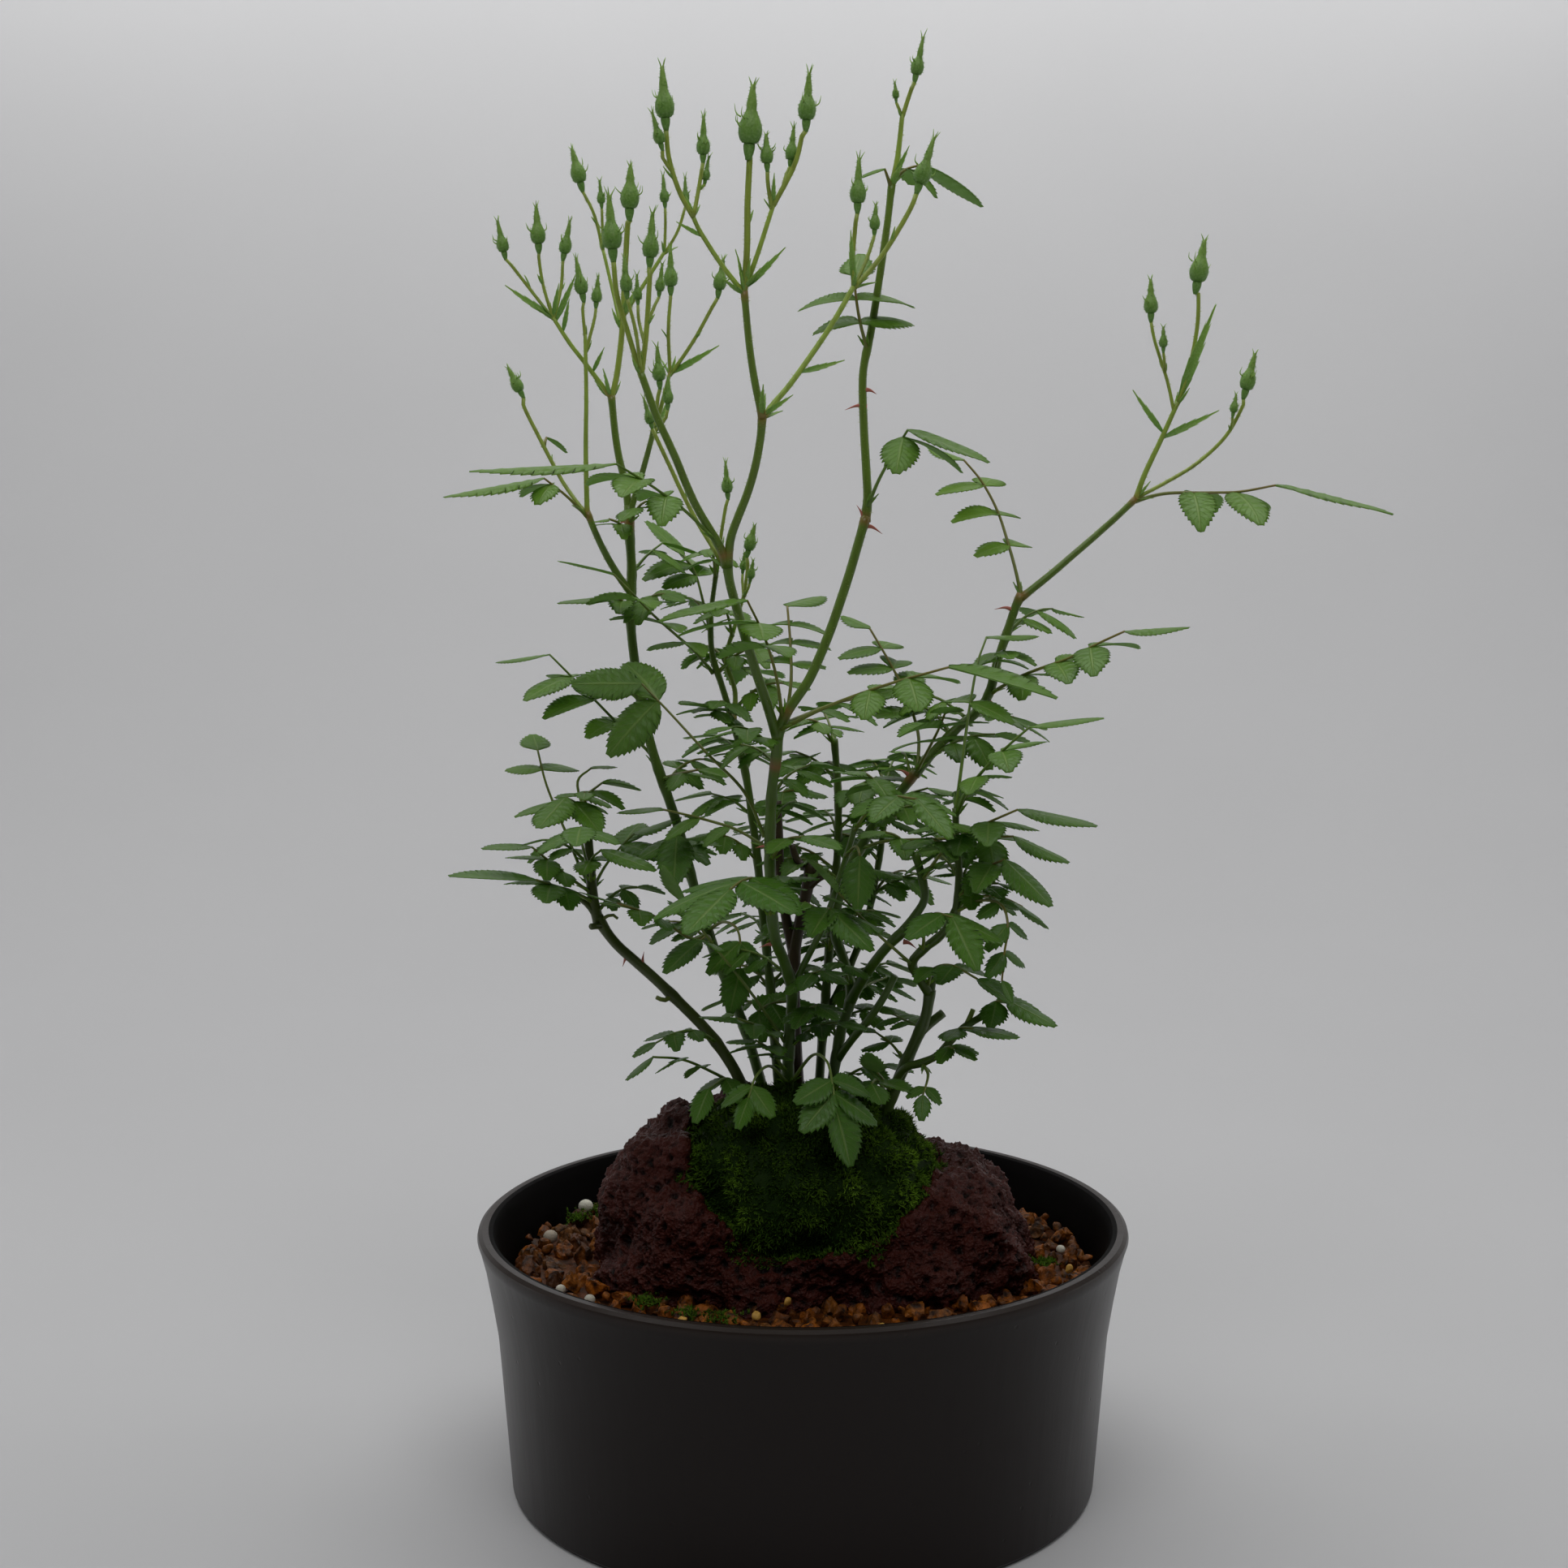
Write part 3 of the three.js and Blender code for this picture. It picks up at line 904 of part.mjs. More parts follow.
// Each leaf turns about its root until it is clear of every other piece. Every second one of the
// climbing leaves is left out.
const swings = [0, 0.12, -0.12, 0.24, -0.24, 0.36, -0.36, 0.5, -0.5, 0.65, -0.65];
const clearance = 0.2;
const climbingDraw = drawFrom(73);
const others = [pot, soil, rock, moss, ...woods];
let seed = 101;
canes.forEach(([name, cane, colour], i) => {
  const own = others.length - canes.length + i;
  const leaves = [];
  const climbing = cane.climbing.flatMap((run) => climbingLeaves(cane.stems, run, climbingDraw));
  [...cane.leaves, ...climbing].forEach((leaf, number) => {
    seed += 7;
    if (number >= cane.leaves.length && number % 2 === 0) {
      return;
    }
    for (const swing of swings) {
      const solid = leafSolid(leaf, seed, swing);
      const clear = others.every(
        (other, k) => k === own || solid.minGap(other, clearance) >= clearance,
      );
      if (clear) {
        leaves.push(solid);
        break;
      }
    }
  });
  others[own] = addPiece(name, joined([woods[i], ...leaves]), colour, 0.55);
});

export default bonsai;
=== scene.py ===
import math

import bmesh
import bpy
import numpy as np
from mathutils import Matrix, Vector, noise


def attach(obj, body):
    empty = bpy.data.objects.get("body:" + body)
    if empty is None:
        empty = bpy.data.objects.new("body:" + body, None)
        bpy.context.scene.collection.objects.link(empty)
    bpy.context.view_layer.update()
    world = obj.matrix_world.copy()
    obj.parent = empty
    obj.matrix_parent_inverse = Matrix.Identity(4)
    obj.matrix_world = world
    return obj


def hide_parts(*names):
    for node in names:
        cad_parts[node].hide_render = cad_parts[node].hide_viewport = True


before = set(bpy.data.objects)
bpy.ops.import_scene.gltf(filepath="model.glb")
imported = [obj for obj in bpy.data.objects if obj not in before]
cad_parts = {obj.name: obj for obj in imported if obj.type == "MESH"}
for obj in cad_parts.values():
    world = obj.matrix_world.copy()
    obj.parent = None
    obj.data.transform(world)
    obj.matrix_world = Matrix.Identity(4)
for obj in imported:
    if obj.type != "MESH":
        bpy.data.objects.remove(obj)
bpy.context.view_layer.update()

MM = 0.001

# Camera: a normal lens at the height of the upper leaves, looking a little down at the pot.
# Its sideways shift puts the pot where the photograph has it.
EYE_DISTANCE = 677
EYE_HEIGHT = 288
EYE_TILT = 7.77
LENS_LENGTH = 57.7
SIDEWAYS_SHIFT = -0.01206
lens = bpy.data.cameras.new("viewpoint")
lens.sensor_width = 36
lens.lens = LENS_LENGTH
lens.shift_x = SIDEWAYS_SHIFT
viewpoint = bpy.data.objects.new("viewpoint", lens)
viewpoint.location = (0, -EYE_DISTANCE * MM, EYE_HEIGHT * MM)
viewpoint.rotation_euler = (math.radians(90 - EYE_TILT), 0, 0)
bpy.context.scene.collection.objects.link(viewpoint)
bpy.context.scene.camera = viewpoint

# Pot: a round stoneware bonsai pot with a gently flared wall and a rounded lip, thrown and
# turned, then glazed in iron brown. Three drain holes are cut through its floor.
LIP_FOOT = 69.5
LIP_CREST = 73.2
POT_OUTLINE = [
    (80.4, 0), (81.4, 1.2), (82.2, 12), (83.1, 24), (83.9, 35), (84.7, 45), (86.2, 54.5),
    (87.9, 64), (89.3, LIP_FOOT),
    (90, 71.6), (89.7, 72.7), (88.7, 73.5), (86.6, 73.5), (85.7, LIP_CREST), (85.1, 72.3),
    (84.3, LIP_FOOT), (82.9, 64), (81.2, 54.5), (79.7, 45), (78.1, 24), (76.6, 8),
    (74.9, 6),
]
POT_SIDES = 144
DRAIN_HOLE_RADIUS = 6
DRAIN_CIRCLE_RADIUS = 34


def colour(code):
    parts = [int(code[i:i + 2], 16) / 255 for i in (1, 3, 5)]
    linear = [p / 12.92 if p <= 0.04045 else ((p + 0.055) / 1.055) ** 2.4 for p in parts]
    return (*linear, 1)


def add_node(finish, kind, links=None, **settings):
    node = finish.node_tree.nodes.new(kind)
    for name, value in settings.items():
        setattr(node, name, value)
    for socket, value in (links or {}).items():
        if isinstance(value, bpy.types.NodeSocket):
            finish.node_tree.links.new(value, node.inputs[socket])
        else:
            node.inputs[socket].default_value = value
    return node.outputs


def new_finish(name):
    finish = bpy.data.materials.new(name)
    finish.use_nodes = True
    finish.node_tree.nodes.clear()
    return finish


def surface(finish, **sockets):
    shader = add_node(finish, "ShaderNodeBsdfPrincipled")
    node = shader[0].node
    lower = {socket.name.lower(): socket.name for socket in node.inputs}
    for name, value in sockets.items():
        socket = node.inputs[lower[name.replace("_", " ")]]
        if isinstance(value, bpy.types.NodeSocket):
            finish.node_tree.links.new(value, socket)
        else:
            socket.default_value = value
    add_node(finish, "ShaderNodeOutputMaterial", {"Surface": shader[0]})
    return finish


def mesh_piece(name, points, face_groups, finishes, tints=None):
    """Points in metres, and groups of faces, each as corners, finish number and smoothness."""
    corners = np.concatenate([np.asarray(f, np.int32).ravel() for f, _, _ in face_groups])
    counts = np.concatenate([np.full(len(f), len(f[0]), np.int32) for f, _, _ in face_groups])
    mesh = bpy.data.meshes.new(name)
    mesh.vertices.add(len(points))
    mesh.vertices.foreach_set("co", np.asarray(points, np.float32).ravel())
    mesh.loops.add(len(corners))
    mesh.loops.foreach_set("vertex_index", corners)
    mesh.polygons.add(len(counts))
    starts = np.concatenate([[0], np.cumsum(counts)[:-1]]).astype(np.int32)
    mesh.polygons.foreach_set("loop_start", starts)
    number = np.concatenate([np.full(len(f), n, np.int32) for f, n, _ in face_groups])
    smooth = np.concatenate([np.full(len(f), s, bool) for f, _, s in face_groups])
    mesh.polygons.foreach_set("material_index", number)
    mesh.polygons.foreach_set("use_smooth", smooth)
    if tints is not None:
        layer = mesh.color_attributes.new("tint", "FLOAT_COLOR", "POINT")
        layer.data.foreach_set("color", np.asarray(tints, np.float32).ravel())
    for finish in finishes:
        mesh.materials.append(finish)
    mesh.update()
    mesh.validate()
    piece = bpy.data.objects.new(name, mesh)
    bpy.context.scene.collection.objects.link(piece)
    return piece


def turned(outline, sides):
    """The points and faces of an outline turned about the upright axis, closed at both ends."""
    angles = np.linspace(0, 2 * math.pi, sides, endpoint=False)
    rings = [
        np.stack([r * np.cos(angles), r * np.sin(angles), np.full(sides, h)], 1)
        for r, h in outline
    ]
    points = np.concatenate([*rings, [[0, 0, outline[0][1]], [0, 0, outline[-1][1]]]])
    k = np.arange(sides)
    after = (k + 1) % sides
    quads = [
        np.stack([i * sides + k, i * sides + after, (i + 1) * sides + after, (i + 1) * sides + k], 1)
        for i in range(len(outline) - 1)
    ]
    last = (len(outline) - 1) * sides
    foot = np.stack([after, k, np.full(sides, last + sides)], 1)
    head = np.stack([last + k, last + after, np.full(sides, last + sides + 1)], 1)
    return points, np.concatenate(quads), np.concatenate([foot, head])


def applied(piece):
    """Replaces a piece's mesh by the one that its modifiers make."""
    bpy.context.view_layer.update()
    graph = bpy.context.evaluated_depsgraph_get()
    mesh = bpy.data.meshes.new_from_object(piece.evaluated_get(graph))
    piece.modifiers.clear()
    piece.data = mesh
    return piece


# Stoneware under an iron-brown glaze, fired satin: it mirrors broad lights softly, breaks to a
# paler brown on the lip, and is marked by fine upright runs and pinholes.
iron_glaze = new_finish("iron_brown_glaze")
place = add_node(iron_glaze, "ShaderNodeTexCoord")["Object"]
apart = add_node(iron_glaze, "ShaderNodeSeparateXYZ", {0: place})
runs_place = add_node(
    iron_glaze, "ShaderNodeMapping",
    {"Vector": place, "Scale": (1 / (4 * MM), 1 / (4 * MM), 1 / (45 * MM))},
)[0]
runs = add_node(iron_glaze, "ShaderNodeTexNoise", {"Vector": runs_place, "Scale": 1, "Detail": 3})[0]
cloud = add_node(
    iron_glaze, "ShaderNodeTexNoise", {"Vector": place, "Scale": 1 / (28 * MM), "Detail": 4}
)[0]
lip = add_node(
    iron_glaze, "ShaderNodeMapRange",
    {"Value": apart["Z"], "From Min": LIP_FOOT * MM, "From Max": LIP_CREST * MM},
    interpolation_type="SMOOTHSTEP",
)[0]
body = add_node(
    iron_glaze, "ShaderNodeMix", {0: cloud, 6: colour("#140A07"), 7: colour("#1B110D")}, data_type="RGBA"
)[2]
streaked = add_node(
    iron_glaze, "ShaderNodeMix", {0: runs, 6: body, 7: colour("#17100D")}, data_type="RGBA"
)[2]
breaking = add_node(
    iron_glaze, "ShaderNodeMix", {0: lip, 6: streaked, 7: colour("#2A211C")}, data_type="RGBA"
)[2]
# Inside the wall the glaze is dull and almost black: partly dust from the soil, partly painted shade for
# the little light that falls there.
flat_place = add_node(
    iron_glaze, "ShaderNodeVectorMath", {0: place, 1: (1, 1, 0)}, operation="MULTIPLY"
)[0]
far = add_node(iron_glaze, "ShaderNodeVectorMath", {0: flat_place}, operation="LENGTH")["Value"]
slope = add_node(
    iron_glaze, "ShaderNodeMapRange",
    {"Value": apart["Z"], "From Max": 71.6 * MM, "To Min": 78.4 * MM, "To Max": 86.9 * MM},
)[0]
indoors = add_node(iron_glaze, "ShaderNodeMath", {0: far, 1: slope}, operation="LESS_THAN")[0]
# Dust and painted shade: the inside of the wall is mixed to near black.
dust_and_painted_shade = add_node(
    iron_glaze, "ShaderNodeMix", {0: indoors, 6: breaking, 7: colour("#0B0908")}, data_type="RGBA"
)[2]
pinholes = add_node(
    iron_glaze, "ShaderNodeTexVoronoi", {"Vector": place, "Scale": 1 / (7 * MM)}
)["Distance"]
pinhole = add_node(
    iron_glaze, "ShaderNodeMapRange",
    {"Value": pinholes, "From Min": 0.04, "From Max": 0.10}, interpolation_type="SMOOTHSTEP",
)[0]
relief = add_node(iron_glaze, "ShaderNodeMath", {0: runs, 1: pinhole}, operation="ADD")[0]
dents = add_node(
    iron_glaze, "ShaderNodeBump", {"Height": relief, "Strength": 0.25, "Distance": 0.25 * MM}
)[0]
gloss = add_node(
    iron_glaze, "ShaderNodeMapRange", {"Value": cloud, "To Min": 0.27, "To Max": 0.4}
)[0]
dull = add_node(
    iron_glaze, "ShaderNodeMath", {0: indoors, 1: 0.25, 2: gloss}, operation="MULTIPLY_ADD"
)[0]
sheen = add_node(
    iron_glaze, "ShaderNodeMath", {0: indoors, 1: -0.22, 2: 0.26}, operation="MULTIPLY_ADD"
)[0]
surface(
    iron_glaze, base_color=dust_and_painted_shade, roughness=dull, ior=1.5, specular_ior_level=sheen, normal=dents,
)

points, sides, ends = turned(POT_OUTLINE, POT_SIDES)
pot = mesh_piece("glazed_pot", points * MM, [(sides, 0, True), (ends, 0, True)], [iron_glaze])
drains = []
for third in range(3):
    angle = 2 * math.pi * third / 3
    points, sides, ends = turned([(DRAIN_HOLE_RADIUS, -3), (DRAIN_HOLE_RADIUS, 9)], 40)
    shift = DRAIN_CIRCLE_RADIUS * np.array([math.cos(angle), math.sin(angle), 0])
    drain = mesh_piece(
        "drain", (points + shift) * MM, [(sides, 0, True), (ends, 0, False)], [iron_glaze]
    )
    drain.hide_render = True
    cut = pot.modifiers.new("drain", "BOOLEAN")
    cut.object = drain
    cut.solver = "EXACT"
    drains.append(drain)
applied(pot)
for drain in drains:
    bpy.data.objects.remove(drain)
pot.data.set_sharp_from_angle(angle=math.radians(35))
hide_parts("pot")
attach(pot, "root")

# Drain nets: moulded polythene mesh discs that keep the grains in. They lie on the pot's floor
# under the soil and are seen only through the drain holes.
net_plastic = new_finish("moulded_polythene")
place = add_node(net_plastic, "ShaderNodeTexCoord")["Object"]
haze = add_node(net_plastic, "ShaderNodeTexNoise", {"Vector": place, "Scale": 1 / (2 * MM)})[0]
shade = add_node(
    net_plastic, "ShaderNodeMix", {0: haze, 6: colour("#16201A"), 7: colour("#223026")}, data_type="RGBA"
)[2]
surface(net_plastic, base_color=shade, roughness=0.55, ior=1.5)
for third in (1, 2, 3):
    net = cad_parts[f"drain_net_{third}"]
    net.data.materials.clear()
    net.data.materials.append(net_plastic)

# Soil: akadama, a baked granular clay in crumbs of 3 to 8 mm, heaped round the rock to just
# under the lip, wet and dark, with fertiliser pellets on it.
SOIL_HEIGHT = 63.5
SOIL_RADIUS = 80.8
LARGE_GRAIN = 4.6
# The grains, as how many and how wide, and how often a place is tried for each.
GRAINS = ((60, 8.6), (120, 7.2), (150, 5.8), (150, LARGE_GRAIN), (260, 3.4))
TRIES = 25


def drawn_from(seed):
    """A repeatable draw between two bounds."""
    state = [seed]

    def draw(low, high):
        state[0] = (state[0] * 16807) % 2147483647
        return low + (high - low) * state[0] / 2147483647

    return draw


def unevenness(draw, shortest, longest):
    """A smooth unevenness made of crossing waves, as a function of an array of places."""
    waves = []
    for _ in range(6):
        wave = np.array([draw(-1, 1), draw(-1, 1), draw(-1, 1)])
        wave *= 2 * math.pi / draw(shortest, longest) / np.linalg.norm(wave)
        waves.append((wave, draw(0, 2 * math.pi)))
    return lambda spots: sum(np.sin(spots @ wave + phase) for wave, phase in waves) / 2.5


def ball(fineness):
    """The points and triangles of a round ball of radius 1."""
    mesh = bpy.data.meshes.new("ball")
    shape = bmesh.new()
    bmesh.ops.create_icosphere(shape, subdivisions=fineness, radius=1)
    shape.to_mesh(mesh)
    shape.free()
    spots = np.array([v.co for v in mesh.vertices])
    faces = np.array([p.vertices for p in mesh.polygons])
    bpy.data.meshes.remove(mesh)
    return spots, faces


class Pile:
    """Many small bodies that become one piece."""

    def __init__(self):
        self.points, self.groups, self.tints, self.count = [], {}, [], 0

    def add(self, points, face_lists, tint):
        for faces, finish, smooth in face_lists:
            key = (finish, smooth, len(faces[0]))
            self.groups.setdefault(key, []).append(np.asarray(faces) + self.count)
        self.points.append(points)
        tint = np.asarray(tint, float)
        self.tints.append(np.tile(tint, (len(points), 1)) if tint.ndim == 1 else tint)
        self.count += len(points)

    def piece(self, name, finishes):
        groups = [(np.concatenate(f), k[0], k[1]) for k, f in self.groups.items()]
        return mesh_piece(
            name, np.concatenate(self.points) * MM, groups, finishes, np.concatenate(self.tints)
        )


def turn_matrix(draw):
    """A turn to any side."""
    a, b, c = draw(0, 6.283), draw(0, 6.283), draw(0, 6.283)
    ca, sa, cb, sb, cc, sc = (f(x) for x in (a, b, c) for f in (math.cos, math.sin))
    return (
        np.array([[ca, -sa, 0], [sa, ca, 0], [0, 0, 1]])
        @ np.array([[cb, 0, sb], [0, 1, 0], [-sb, 0, cb]])
        @ np.array([[1, 0, 0], [0, cc, -sc], [0, sc, cc]])
    )


def crumb(draw, size, cuts, base):
    """An angular crumb: a ball with flats cut on it, drawn out and turned to any side."""
    spots = base.copy()
    for _ in range(cuts):
        flat = np.array([draw(-1, 1), draw(-1, 1), draw(-1, 1)])
        flat /= np.linalg.norm(flat)
        over = np.maximum(spots @ flat - draw(0.5, 0.8), 0)
        spots -= over[:, None] * flat
    spots *= np.array([draw(0.85, 1.15), draw(0.75, 1), draw(0.6, 0.85)])
    return size / 2 * spots @ turn_matrix(draw).T


# Kneaded and baked clay, soaked by watering: ochre to dark brown from crumb to crumb, with painted light
# that makes the grains towards the front warmer and paler, dull on top, with a sandy grain of about half a
# millimetre and wet sparkle on the edges.
akadama = new_finish("wet_akadama_clay")
place = add_node(akadama, "ShaderNodeTexCoord")["Object"]
tint = add_node(akadama, "ShaderNodeAttribute", attribute_name="tint")["Color"]
kind = add_node(akadama, "ShaderNodeSeparateColor", {0: tint})
mottle = add_node(
    akadama, "ShaderNodeTexNoise", {"Vector": place, "Scale": 1 / (2.2 * MM), "Detail": 5}
)[0]
warm = add_node(
    akadama, "ShaderNodeMix", {0: kind[0], 6: colour("#4A2408"), 7: colour("#B46414")}, data_type="RGBA"
)[2]
dusty = add_node(
    akadama, "ShaderNodeMix", {0: kind[1], 6: warm, 7: colour("#7C582C")}, data_type="RGBA"
)[2]
dark_spots = add_node(
    akadama, "ShaderNodeMapRange", {"Value": mottle, "From Min": 0.35, "From Max": 0.65}
)[0]
speckled = add_node(
    akadama, "ShaderNodeMix", {0: dark_spots, 6: colour("#2C180A"), 7: dusty}, data_type="RGBA"
)[2]
pale = add_node(
    akadama, "ShaderNodeMix", {0: kind[2], 6: speckled, 7: colour("#D9D6C6")}, data_type="RGBA"
)[2]
grit = add_node(akadama, "ShaderNodeTexNoise", {"Vector": place, "Scale": 1 / (0.5 * MM), "Detail": 4})[0]
bump = add_node(akadama, "ShaderNodeBump", {"Height": grit, "Strength": 0.7, "Distance": 0.35 * MM})[0]
surface(akadama, base_color=pale, roughness=0.5, ior=1.4, specular_ior_level=0.35, normal=bump)

soil = Pile()
draw = drawn_from(23)
soil_waves = unevenness(draw, 8, 15)
draw = drawn_from(311)
grain_skin = unevenness(drawn_from(77), 1.3, 3.2)
bowl = [
    (76, 7.5), (77.3, 24), (79, 45), (80.2, 54.5), (80.9, 59), (74, 60.2), (60, 60.6), (40, 60.6),
]
points, sides, ends = turned(bowl, POT_SIDES // 2)
soil.add(points, [(sides, 0, True), (ends, 0, True)], (0.15, 0, 0, 1))
ROCK = {
    "centre": (3, -4, 60), "half": (59, 37, 50), "under": 3, "fall": 15, "power": 3.1,
    "relief": 2.4, "waves": (15, 32), "seed": 41,
}


def lump(form, headings):
    """How far a rough lump reaches from its centre in each heading."""
    half = np.array(form["half"], float)
    share = np.clip((headings[:, 0] + 0.5) / 1.3, 0, 1)
    top = half[2] - form["fall"] * share * share * (3 - 2 * share)
    height = np.where(headings[:, 2] < 0, form["under"], top)
    power = form["power"]
    total = (
        np.abs(headings[:, 0] / half[0]) ** power
        + np.abs(headings[:, 1] / half[1]) ** power
        + np.abs(headings[:, 2] / height) ** power
    )
    reach = total ** (-1 / power)
    bump = form["relief"] * unevenness(drawn_from(form["seed"]), *form["waves"])(
        headings * reach[:, None]
    )
    return reach + bump * np.minimum(1, reach / 20)


def inside(form, spots, spare):
    """Which places lie inside a lump grown by the spare."""
    away = spots - np.array(form["centre"], float)
    far = np.linalg.norm(away, axis=1)
    return far < lump(form, away / far[:, None]) + spare


coarse, coarse_faces = ball(2)
fine, fine_faces = ball(3)
grains = []
for count, size in GRAINS:
    found = 0
    for _ in range(count * TRIES):
        own = size * draw(0.88, 1.12)
        radius = (SOIL_RADIUS - own * 0.42) * math.sqrt(draw(0, 1))
        angle = draw(0, 2 * math.pi)
        spot = np.array([radius * math.cos(angle), radius * math.sin(angle)])
        if inside(ROCK, np.array([[*spot, SOIL_HEIGHT]]), -own * 0.4)[0]:
            continue
        if all((spot - s) @ (spot - s) > (0.41 * (own + o)) ** 2 for s, o in grains):
            grains.append((spot, own))
            found += 1
        if found == count:
            break
for spot, size in grains:
    shape, faces = (fine, fine_faces) if size > LARGE_GRAIN else (coarse, coarse_faces)
    grain = crumb(draw, size, 9, shape)
    grain *= 1 + 0.11 * grain_skin(grain + 3 * np.array([*spot, 0]))[:, None]
    level = SOIL_HEIGHT - 0.9 + 1.1 * float(soil_waves(np.array([*spot, SOIL_HEIGHT])))
    grain += np.array([*spot, level - size * draw(0.12, 0.32)])
    # Painted light: grains towards the front get a warmer, paler tone on top of each grain's own random
    # warmth.
    warmth_and_front_light = min(1, max(0, draw(-0.1, 0.9) + (0.4 if spot[1] < -20 else 0)))
    soil.add(grain, [(faces, 0, size < LARGE_GRAIN)], (warmth_and_front_light, draw(0, 0.7) ** 2, 0, 1))

# Fertiliser pellets, as across, away, width and whiteness.
PELLETS = [
    (-64, 40, 4.4, 1), (51, 50, 4.4, 1), (58, 45, 3.4, 1), (72, 1, 2.6, 0.9), (-72, 16, 4.2, 0.5),
    (-65, -27, 2.8, 0.85), (-56, -41, 3.0, 0.8), (45, 56, 3.2, 0.6), (61, 38, 3.2, 0.35),
]
GOLD_PELLETS = [
    (-4, -46.5, 3.2), (-12, -52, 3.0), (-31, -58, 3.6), (55, -13, 3.4), (73, -12, 2.6),
    (-44, -30, 2.6), (20, -60, 2.6),
]
for x, y, width, white in PELLETS:
    level = SOIL_HEIGHT + 1.2 * float(soil_waves(np.array([x, y, SOIL_HEIGHT])))
    soil.add(
        fine * (width / 2) * np.array([1, 0.95, 0.92]) + np.array([x, y, level + width * 0.28]),
        [(fine_faces, 0, True)], (0.6, 0.8, white, 1),
    )
for x, y, width in GOLD_PELLETS:
    level = SOIL_HEIGHT + 1.2 * float(soil_waves(np.array([x, y, SOIL_HEIGHT])))
    soil.add(
        crumb(draw, width, 5, fine) + np.array([x, y, level + width * 0.3]),
        [(fine_faces, 1, True)], (1, 0, 0, 1),
    )

# Pressed rapeseed fertiliser: dry ochre crumbs, mottled paler where they have weathered.
gold = new_finish("ochre_fertiliser")
place = add_node(gold, "ShaderNodeTexCoord")["Object"]
mottle = add_node(gold, "ShaderNodeTexNoise", {"Vector": place, "Scale": 1 / (0.9 * MM), "Detail": 4})[0]
shade = add_node(
    gold, "ShaderNodeMix", {0: mottle, 6: colour("#9A6A20"), 7: colour("#F0C060")}, data_type="RGBA"
)[2]
bump = add_node(gold, "ShaderNodeBump", {"Height": mottle, "Strength": 0.5, "Distance": 0.3 * MM})[0]
surface(gold, base_color=shade, roughness=0.5, ior=1.4, normal=bump)
soil_piece = soil.piece("akadama_bed", [akadama, gold])
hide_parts("soil_bed")
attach(soil_piece, "root")

# Rock: one block of maroon scoria, a lava full of gas pits, bedded in the grains. Its top and
# front are hollow and hold the root ball.
HOLLOW_CENTRE = (2, -18, 99)
HOLLOW_HALF = (34, 43, 28)
SKIN_PACE = 0.72
PIT_PACE = 3.4
PORE_PACE = 1.9
dense, dense_faces = ball(6)
headings = dense / np.linalg.norm(dense, axis=1)[:, None]
block = headings * lump(ROCK, headings)[:, None] + np.array(ROCK["centre"])
scoria = new_finish("maroon_scoria")
rock = mesh_piece("lava_block", block * MM, [(dense_faces, 0, True)], [scoria])
scoop_points, scoop_faces = ball(5)
scoop_points = scoop_points * np.array(HOLLOW_HALF) + np.array(HOLLOW_CENTRE)
scoop = mesh_piece("scoop", scoop_points * MM, [(scoop_faces, 0, True)], [scoria])
scoop.hide_render = True
cut = rock.modifiers.new("scoop", "BOOLEAN")
cut.object = scoop
cut.solver = "EXACT"
even = rock.modifiers.new("even", "REMESH")
even.mode = "VOXEL"
even.voxel_size = SKIN_PACE * MM
even.use_smooth_shade = True
worn = rock.modifiers.new("worn", "SMOOTH")
worn.factor = 0.8
worn.iterations = 22
applied(rock)
bpy.data.objects.remove(scoop)
count = len(rock.data.vertices)
spots = np.zeros(count * 3)
rock.data.vertices.foreach_get("co", spots)
spots = spots.reshape(-1, 3) / MM
normals = np.zeros(count * 3)
rock.data.vertices.foreach_get("normal", normals)
normals = normals.reshape(-1, 3)
sink = np.zeros(count)
depth = np.zeros(count)
for i, spot in enumerate(spots):
    where = Vector(spot)
    warp = where + 0.9 * noise.noise_vector(where / 2.5)
    deep, centres = noise.voronoi(warp / PIT_PACE)
    width = 0.3 + 0.3 * abs(noise.noise(centres[0] * 9.7))
    pit = min(1, max(0, (width - deep[0]) / 0.16))
    near, middles = noise.voronoi(warp / PORE_PACE + Vector((7, 3, 1)))
    small = min(1, max(0, (0.42 - near[0]) / 0.2))
    rough = noise.fractal(where / 8, 0.6, 2.1, 6)
    depth[i] = max(pit, 0.6 * small)
    sink[i] = -1.3 * pit - 0.6 * small + 2.1 * rough + 0.4
rock_normals = normals
rock_skin = spots + rock_normals * sink[:, None]
rock.data.vertices.foreach_set("co", (rock_skin * MM).ravel())
layer = rock.data.color_attributes.new("tint", "FLOAT_COLOR", "POINT")
# Painted shade: the first tint channel is one less the depth of the pits, and darkens them.
tints = np.ones((count, 4))
tints[:, 0] = 1 - depth
layer.data.foreach_set("color", tints.astype(np.float32).ravel())
rock.data.update()

# Weathered iron-rich scoria: matt dark maroon, with painted shade that darkens it to near black down in the
# pits, so the crests stand redder, and with a wet glint on the edges of the finest pores.
place = add_node(scoria, "ShaderNodeTexCoord")["Object"]
